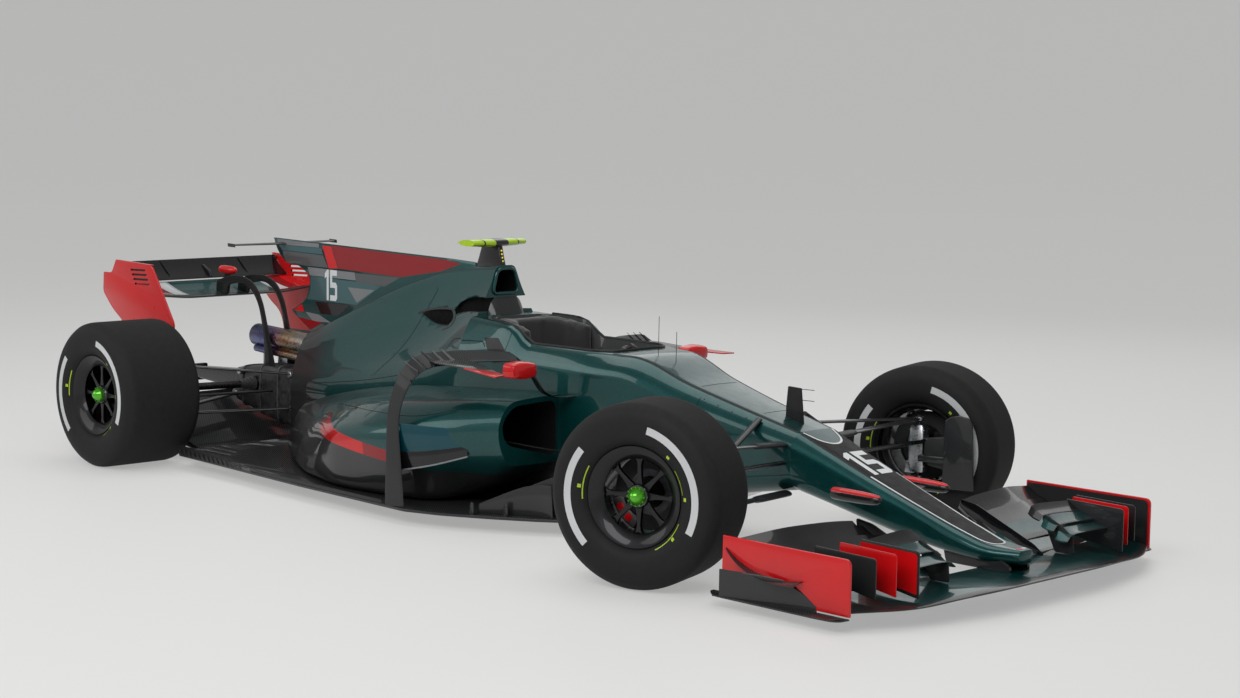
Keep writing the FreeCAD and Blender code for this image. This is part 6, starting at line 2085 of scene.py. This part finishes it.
outline = [(-140, 30), (-140, -40), (-120, -88), (-60, -96), (-40, -60), (40, -60), (60, -96), (120, -88),
           (140, -40), (140, 30), (118, 66), (60, 74), (-60, 74), (-118, 66)]
slab = paintWith(plate("slab", outline, 24, facing(3), 0, radius=13), weave)
for y in (-98, 98):
    hole = softRing([(y - 20, -36), (y + 20, -36), (y + 20, 18), (y - 20, 18)], [17] * 4, 6, 1)
    carve(slab, paintWith(plate("hole", hole, 60, facing(-20), 0), weave))
pieces = [soften(slab, 0.004, 3)]
gripAt = [(108, 62), (126, 44), (131, 16), (130, -30), (118, -74), (98, -88)]
for side in sides:
    grip = smoothLine([Vector((15, side * y, z)) / 1000 for y, z in gripAt], 0.008)
    waves = [0.026 + 0.003 * math.cos(k * 0.9) for k in range(len(grip))]
    pieces.append(paintWith(sweep("grip", grip, 0.036, waves, 20, (1, 0, 0)), gripRubber))
    paddle = [(side * 58, -6), (side * 112, 6), (side * 116, -40), (side * 64, -46)]
    pieces.append(paintWith(plate("paddle", paddle, 2.4, facing(33), 0.0008, 2, 9), weave))
outline = [(-44, 12), (44, 12), (44, 60), (-44, 60)]
pieces.append(paintWith(plate("screen", outline, 4, facing(0), 0.001, 2, 4), screen))
outline = [(-50, 6), (50, 6), (50, 66), (-50, 66)]
pieces.append(paintWith(plate("bezel", outline, 3, facing(1.5), 0.001, 2, 6), satin))
# the yellow knob glows by itself, a painted glow
knobs = [(-64, 50, 7, red), (64, 50, 7, lime), (-62, 28, 6, white), (62, 28, 6, glowYellow),
         (-34, -8, 11, darkMetal), (34, -8, 11, darkMetal), (0, -14, 12, red), (-30, -40, 8, tealPaint),
         (30, -40, 8, greyLight), (-66, 4, 5, green), (66, 4, 5, white)]
for y, z, radius, material in knobs:
    profile = [(3.5, 0), (3.5, radius), (-3, radius), (-5, radius - 1.5), (-5.5, 0)]
    knob = lathe("knob", profile, 20, closed=False)
    pieces.append(paintWith(moved(knob, Matrix.Translation((0, y / 1000, z / 1000))), material))
length = 800 / math.cos(tilt)
column = [(26, 0), (26, 30), (34, 30), (38, 24), (50, 24), (54, 15), (64, 12), (length, 12), (length, 0)]
pieces.append(paintWith(lathe("column", column, 36, closed=False), hubMetal))
ready(moved(join("steeringWheel", pieces), inHand), "steering_wheel", hides=["steering_wheel"])
def onRack(y):
    # a place along the rack, which stands 18.5 mm to the left of the middle at rest
    return -57.06, 18.5 + y, 372


bar = [(0, 0), (0, 8), (1, 8.9), (1470, 8.9), (1471, 8), (1471, 0)]
sleeve = [(0, 8.9), (0, 14), (3, 15), (30, 13), (34, 8.9)]
pieces = [turnedAt(bar, onRack(-735.5), onRack(735.5), hubMetal, 24)]
for side in sides:
    pieces.append(turnedAt(sleeve, onRack(side * 690), onRack(side * 735), bareMetal, 6, True))
ready(join("steeringRack", pieces), "steering_rack", hides=["steering_rack"])
print("cockpit made")

# Cameras, the sensor plate and the aerials
stations = [(-150, 1735, 1098, 110, 26, 0, 0), (-75, 1722, 1097, 132, 32, 0, 0),
            (0, 1720, 1096, 140, 34, 0, 0),
            (75, 1722, 1097, 132, 32, 0, 0), (150, 1735, 1098, 110, 26, 0, 0)]
bands = [(0.036, paints["black"]), (0.092, paints["lime"]), (0.100, paints["black"])]
limeBand = bandPaint("cameraPodPaint", 1, bands, paints["lime"])
pieces = [paintWith(wing("cameraWing", stations, 10, 28), limeBand)]
stalk = []
for s0, s1, z, k in ((1708, 1890, 984, 1.1), (1722, 1872, 1030, 1.0), (1735, 1850, 1088, 0.9)):
    outline = [(s0, -13), (s0, 13), ((s0 + s1) / 2, 15), (s1, 6), (s1, -6), ((s0 + s1) / 2, -15)]
    stalk.append([mm(s, y * k, z) for s, y in outline])
pieces.append(paintWith(soften(tidy(skinOver("stalk", stalk)), 0.004, 3), gloss))
dome = [(0, 0), (0, 4.5), (3, 4), (5, 2.2), (5.6, 0)]
# four yellow domes that glow by themselves, a painted glow
for z in (1018, 1033, 1048, 1063):
    s = 1722 + (z - 1018) * 0.2
    pieces.append(turnedAt(dome, (s - 1, 0, z), (s - 40, 0, z), glowYellow, 18))
lens = [(0, 0), (0, 8.5), (4, 8.5), (5, 7), (3.6, 6.4), (3, 0)]
for side in sides:
    pieces.append(turnedAt(lens, (1738, side * 118, 1098), (1700, side * 118, 1098), gloss, 24))
ready(join("rollHoopCamera", pieces), "chassis", hides=["roll_hoop_camera"])
profile = [(568, 0), (567, 6), (563, 11), (552, 17), (530, 20.5), (480, 23), (400, 24), (352, 23.2),
           (344, 21), (341, 16), (340, 0)]
halfRed = bandPaint("noseCameraPaint", 2, [(0.312, (0.012, 0.012, 0.0125))], paints["red"])
shell = lathe("pod", profile, 40, closed=False)
paintWith(moved(shell, Matrix.Translation((car["frontAxle"], 0.198, 0.302))), halfRed)
lens = [(0, 0), (0, 10), (3, 10), (4, 8.5), (2.5, 8), (2, 0)]
pieces = [shell, turnedAt(lens, (-560, 198, 302), (-600, 198, 302), gloss, 24)]
stations = [(96, -486, 296, 92, 9, 0, 0), (186, -482, 302, 84, 8, 0, 0)]
pieces.append(paintWith(wing("cameraArm", stations, 30, 22), weave))
bothSides(join("noseCamera", pieces), "chassis", "noseCamera", hides=["nose_cameras"])
pieces = [across([(-22, 500), (-6, 638), (60, 640), (68, 560), (70, 500)], -3.5, 3.5, 0.0015, 3, 5, satin)]
for z in (592, 634):
    pieces.append(rodBetween((0, 0, z), (-72, 0, z + 2), 1.3, darkMetal, 10))
socket = [(0, 0), (0, 9), (3, 8.5), (8, 4), (22, 2.2), (24, 0)]
for s, y, low, high in ((705, -60, 690, 862), (625, -40, 665, 805)):
    pieces.append(rodBetween((s, y, low), (s - 2, y, high), 1.2, satin, 10))
    pieces.append(turnedAt(socket, (s, y, low - 14), (s, y, high), satin, 20))
ready(join("sensorsAndAerials", pieces), "chassis", hides=["nose_cameras"])

# Suspension arms, their bearings, driveshafts and boots
pieces = []
hingeY = wheel["kingpinY"]
eye = [(0, 7.2), (0, 17.5), (1.5, 19), (14.5, 19), (16, 17.5), (16, 7.2)]
for z, y, near, far, thick in (
    (455, 120, (-40, 440), (330, 450), 12), (215, 110, (-40, 250), (360, 232), 14)
):
    apex = Vector((0, hingeY, z))
    for s, height in (near, far):
        foot = Vector((s, y, height))
        first = apex + (foot - apex).normalized() * 13
        pieces.append(arm(tuple(first), tuple(foot), 48, thick, weave))
        inner = foot + (apex - foot).normalized() * 165
        pieces.append(arm(tuple(inner), tuple(foot), 64, thick + 9, mattWeave))
    pieces.append(turnedAt(eye, (0, hingeY, z - 8), (0, hingeY, z + 8), bareMetal, 32, True))
pieces.append(arm((60, 604, 234), (90, 130, 520), 34, 17, weave))
foot = [(0, 0), (0, 13), (2, 14), (26, 14), (28, 13), (28, 0)]
pieces.append(turnedAt(foot, (60, 604, 222), (60, 604, 250), bareMetal, 24))
bothSides(join("frontArms", pieces), "chassis", "frontArms", hides=["front_wishbones"])
pieces = []
axle, outerY = car["wheelbase"], wheel["rearUprightY"]
foot = [(0, 0), (0, 15), (2, 17), (20, 17), (24, 12), (24, 0)]
eye = [(0, 0), (0, 16), (2, 19), (16, 19), (18, 16), (18, 0)]
for z, near, far, thick in ((455, (3150, 392), (3560, 372), 12), (215, (3130, 232), (3600, 262), 14)):
    for s, height in (near, far):
        pieces.append(arm((axle, outerY, z), (s, 60, height), 48, thick, weave))
        pieces.append(turnedAt(foot, (s, 96, height), (s, 60, height), bareMetal, 24))
    pieces.append(turnedAt(eye, (axle, outerY, z - 9), (axle, outerY, z + 9), bareMetal, 28))
shaft = [(0, 0), (0, 34), (22, 36), (28, 22), (32, 18), (548, 18), (552, 22), (556, 0)]
pieces.append(turnedAt(shaft, (axle, 62, 320), (axle, 620, car["hub"]), hubMetal, 32))
pieces.append(bellows((axle, 92, 321), (axle, 168, 323), 20, 38, 4))
pieces.append(bellows((axle, 600, 334), (axle, 536, 333), 20, 34, 4))
pieces.append(arm((3392, 640, 300), (3300, 84, 300), 26, 13, weave))
bothSides(join("rearArms", pieces), "chassis", "rearArms", hides=["rear_wishbones"])
print("suspension made")

# Floor with its slots, raised edge and teeth, the diffuser and the plank
floorHalf = [(430, 140), (600, 160), (640, 330), (760, 430), (900, 540), (1060, 640), (1250, 740),
             (1415, 795), (2157, 765), (3040, 700), (3200, 690), (3200, 570), (3275, 560)]
panel = paintWith(plate("floorPanel", widened(floorHalf), 12, level(55), 0, radius=24), weave)
for side in sides:
    for s, y, far in ((2990, 545, 3188), (3040, 480, 3230), (3100, 415, 3262)):
        corners = [(s, side * y), (far, side * y), (far, side * (y + 10)), (s, side * (y + 10))]
        slot = softRing(corners, [4.5] * 4, 4, 1)
        carve(panel, paintWith(plate("slot", slot, 60, level(30), 0), weave))
soften(panel, 0.003, 2)
panelTree = treeOf(panel)
ready(panel, "chassis", hides=["floor"])
pieces = []
for foot in (
    [(1560, 785, 67), (2157, 761, 67), (2560, 732, 67)], [(440, 120, 67), (560, 150, 67), (612, 200, 67)]
):
    pieces.append(curvedWall(foot, [(s + 6, y + 5, z + 17) for s, y, z in foot], 3, mattWeave))
foot, crest = [(2740, 722, 67), (2960, 706, 67), (3180, 688, 67)], [
    (2746, 722, 96), (2966, 706, 104), (3186, 688, 108)
]
pieces.append(curvedWall(foot, crest, 3, mattWeave))
bothSides(join("floorEdges", pieces), "chassis", "floorEdges")
outline = [(0, -2), (30, -2), (34, 16), (24, 24), (5, 5)]
tooth = plate("tooth", outline, 3, lambda u, v, w: Vector((u - 15, w - 1.5, v)) / 1000, 0.0006, 1)
teethAt = [[mm(s, side * (733 - (s - 2620) * 0.063), 67) for s in range(2640, 3200, 40)] for side in sides]
upwards = [[Vector((0, 0, 1))] * len(line) for line in teethAt]
teeth = alongCopies("floorTeeth", tooth, teethAt, upwards, 0.040, mattWeave)
drop(tooth)
ready(teeth, "chassis")
rows = (
    [(1500, 762), (1900, 752), (2300, 726), (2640, 700)], [(700, 330), (840, 440), (1000, 540), (1180, 640)]
)
bolts(
    "floorScrews", panelTree, [[mm(s, side * y, 67) for s, y in line] for side in sides for line in rows],
    0.09
)
lift = [(3275.3 + 524.7 * k / 12, 55 + 175 * (k / 12) ** 1.08) for k in range(13)]
roof = lift + [(s, z + 12 - 4 * k / 12) for k, (s, z) in reversed(list(enumerate(lift)))]
gurney = [(3790, 232), (3800, 232), (3800, 252), (3796, 252)]
pieces = [across(roof, -525, 525, 0.0015, 2, 0, weave), across(gurney, -521, 521, 0.001, 2, 0, mattWeave)]
for share in (0, 0.14, 0.27, 0.39, 0.6, 0.72, 0.85, 1):
    y, hang = -525 + share * 1042, 4.5 if share in (0, 1) else 10
    fence = [(3285, 55 - hang), (3275.3, 60), (3799, 234), (3799, 136), (3790, 122), (3760, 114)]
    pieces.append(across(fence, y, y + 8, 0.0018, 2, 0, weave))
ready(join("rearDiffuser", pieces), "chassis", hides=["diffuser"])
board = prism([(450, -90), (450, 90), (510, 150), (3260, 150), (3260, -150), (510, -150)], 42.7, 54.7)
board.name = "plankBoard"
ready(soften(board, 0.0025, 2), "chassis", plankWood, hides=["plank"])
disc = [(0, 0), (0, 32), (1.2, 32.8), (2, 30), (2, 0)]
skids = [turnedAt(disc, (s, y, 44), (s, y, 20), bareMetal, 36) for s in (620, 1900, 3160) for y in (-80, 80)]
ready(join("skidBlocks", skids), "chassis")

# Engine block, gearbox, crash structure, lamp and exhaust
outline = [(1722, -176), (2288, -176), (2288, 176), (1722, 176)]
block = plate("engineBlock", outline, 361, level(68), 0.009, 3, 24)
pieces = [paintWith(block, castMetal)]
for s in range(1780, 2260, 92):
    outline = [(s, -177.5), (s + 9, -177.5), (s + 9, 177.5), (s, 177.5)]
    pieces.append(paintWith(plate("rib", outline, 330, level(84), 0.002, 2), castMetal))
ready(join("engineBlock", pieces), "chassis", hides=["engine_block"])
gearbox = [
    (2290.4, 130, 84, 400, 40), (2950, 96, 110, 410, 40), (3350, 82, 160, 420, 38), (3640, 58, 218, 380, 28)
]


def boxRing(row, out=0.0):
    s, half, low, high, cut = row
    corners = [
        (half + out, high + out), (half + out, low - out), (-half - out, low - out),
        (-half - out, high + out)
    ]
    return [mm(s, y, z) for y, z in softRing(corners, [cut] * 4, 6, 3, 0.02)]


def between(rows, s):
    return [s] + [float(np.interp(s, [r[0] for r in rows], [r[i] for r in rows])) for i in range(1, 5)]


pieces = [
    paintWith(
        tidy(skinOver("case", [boxRing(between(gearbox, s)) for s in np.linspace(2290.4, 3640, 30)])),
        castMetal
    )
]
for s, out in (
    (2300, 7), (2420, 4), (2560, 4), (2760, 9), (2900, 4), (3060, 4), (3240, 8), (3400, 4), (3560, 7)
):
    swell = ((0, -2), (0.5, out - 1.5), (2, out), (9, out), (10.5, out - 1.5), (11, -2))
    rings = [boxRing(between(gearbox, s + a), b) for a, b in swell]
    pieces.append(paintWith(tidy(skinOver("rib", rings)), castMetal))
tail = [(3641, 48, 266, 366, 20), (4020, 36, 290, 346, 14)]
rings = [boxRing(between(tail, s)) for s in (3641, 3740, 3840, 3940, 4018)]
pieces.append(paintWith(tidy(skinOver("tail", rings)), weave))
outline = [(-34, 276), (34, 276), (34, 360), (-34, 360)]
lampCase = plate("lampCase", outline, 22, lambda u, v, w: mm(4018 + w, u, v), 0.002, 3, 9)
pieces.append(paintWith(lampCase, gloss))
ready(join("gearbox", pieces), "chassis", hides=["gearbox_case"])
led = lathe("led", [(0, 0), (0, 5.2), (2.2, 4.8), (3.2, 3), (3.6, 0)], 14, closed=False)
led.data.transform(Matrix.Rotation(-math.pi / 2, 4, "Y"))
rows = [[mm(4039.5, y, z) for y in (-22.5, 0, 22.5)] for z in (290, 303, 316, 329, 342)]
lamp = alongCopies("tailLamp", led, rows, [[Vector((-1, 0, 0))] * 3 for _ in rows], 0.015, lampRed)
drop(led)
ready(lamp, "chassis")
gearTree = treeOf(bpy.data.objects["gearbox"])
halfRound = ((0.4, 1), (1, 0.6), (1, 0), (1, -0.6), (0.4, -1))
rows = [[mm(s, 200 * c, 290 + 200 * d) for c, d in halfRound] for s in (2420, 2900, 3400)]
bolts("gearboxScrews", gearTree, rows, 0.05, size=4.5, material=bareMetal)


def pipe(start, finish, outer, inner):
    # an open pipe with a clamp near its root
    length = (mm(*finish) - mm(*start)).length * 1000
    profile = [(0, inner), (0, outer), (14, outer), (15, outer + 1.6), (20, outer + 1.6), (21, outer),
               (length - 5, outer),
               (length - 2, outer - 0.2), (length, (outer + inner) / 2), (length - 2, inner)]
    return turnedAt(profile, start, finish, hotSteel, 56, True)


# a near-black disc inside a pipe's bore: painted shade for the pipe's depth
def plug(start, finish, radius, steps):
    return turnedAt([(0, 0), (0, radius), (3, radius), (3, 0)], start, finish, shadeAndGapBlack, steps)


pieces = [pipe((3104, 0, 528), (3532, 0, 548), 55, 51), plug((3160, 0, 530.6), (3200, 0, 532.5), 51, 48)]
for y in (-34, 34):
    pieces += [
        pipe((3104, y, 466), (3500, y, 488), 18, 15.4), plug((3160, y, 469.1), (3200, y, 471.3), 15.4, 32)
    ]
for s, low in ((3320, 420.4), (3440, 395)):
    pieces.append(across([(s, low), (s, 492), (s + 20, 492), (s + 20, low)], -22, 22, 0.003, 2, 4, bareMetal))
ready(join("exhaustPipes", pieces), "chassis", hides=["exhaust"])
print("running gear made")


# Floor, backdrop, light and camera
stage = {"floor": (0.80, 0.80, 0.79), "key": 320, "fill": 120, "over": 150, "back": 60, "world": 0.3}


def stageMaterial(name, colour):
    # pale for the camera, in reflections and through glass, whatever the light on it
    shader = Shader(name, colour, 0.55)
    path = shader.add("LightPath")
    glow = shader.add("Emission", Color=(*colour, 1), Strength=1.0)
    blend = shader.add("MixShader")
    bright = shader.math("MAXIMUM", path.outputs["Is Glossy Ray"], path.outputs["Is Transmission Ray"])
    seen = shader.times(shader.math("MAXIMUM", path.outputs["Is Camera Ray"], bright), 0.45)
    shader.link(seen, blend.inputs[0])
    shader.link(shader.surface.outputs[0], blend.inputs[1])
    shader.link(glow.outputs[0], blend.inputs[2])
    output = next(n for n in shader.tree.nodes if n.type == "OUTPUT_MATERIAL")
    shader.link(blend.outputs[0], output.inputs["Surface"])
    return shader.material


turns = [k * math.pi / 24 for k in range(1, 13)]
bowl = [(0, 0), (24, 0)] + [(24 + 10 * math.sin(t), 10 - 10 * math.cos(t)) for t in turns] + [(34, 16)]
floorPiece = lathe("studioFloor", [(z * 1000 - 0.5, r * 1000) for r, z in bowl], 96, closed=False)
moved(floorPiece, Matrix.Rotation(-math.pi / 2, 4, "Y"))
paintWith(floorPiece, stageMaterial("studioFloor", stage["floor"]))
floorPiece.data.polygons.foreach_set("use_smooth", [True] * len(floorPiece.data.polygons))


def areaLight(name, place, aim, power, size):
    data = bpy.data.lights.new(name, "AREA")
    data.shape, data.size, data.size_y = "RECTANGLE", size[0], size[1]
    data.energy = power
    lamp = bpy.data.objects.new(name, data)
    bpy.context.scene.collection.objects.link(lamp)
    lamp.location = place
    lamp.rotation_euler = (Vector(aim) - Vector(place)).to_track_quat("-Z", "Y").to_euler()


areaLight("keyLight", (3.5, -6.5, 5.5), (0, 0, 0.3), stage["key"], (7, 3.5))
areaLight("fillLight", (-4.5, -6.0, 4.0), (-0.5, 0, 0.4), stage["fill"], (6, 3.5))
areaLight("overLight", (0.0, 0.5, 6.5), (0, 0, 0), stage["over"], (8, 3.5))
areaLight("backLight", (-3.0, 6.5, 4.5), (-0.5, 0, 0.5), stage["back"], (8, 3))
world = bpy.data.worlds.new("studioWorld")
bpy.context.scene.world = world
world.use_nodes = True
background = world.node_tree.nodes["Background"]
background.inputs["Color"].default_value = (0.86, 0.87, 0.88, 1)
background.inputs["Strength"].default_value = stage["world"]

view = {
    "lens": 66.41, "place": (7.2041, -6.5504, 1.7424), "forward": (-0.71031417, 0.69514675, -0.11056568),
    "roll": 0.741
}
cameraData = bpy.data.cameras.new("camera")
cameraData.lens, cameraData.sensor_width, cameraData.sensor_fit = view["lens"], 36.0, "HORIZONTAL"
cameraData.clip_end = 200
camera = bpy.data.objects.new("camera", cameraData)
bpy.context.scene.collection.objects.link(camera)
forward = Vector(view["forward"]).normalized()
right = forward.cross(Vector((0, 0, 1))).normalized()
up = right.cross(forward)
roll = math.radians(view["roll"])
right, up = right * math.cos(roll) + up * math.sin(roll), up * math.cos(roll) - right * math.sin(roll)
camera.matrix_world = Matrix.Translation(view["place"]) @ Matrix((right, up, -forward)).transposed().to_4x4()
bpy.context.scene.camera = camera
bpy.context.scene.view_settings.view_transform = "Standard"
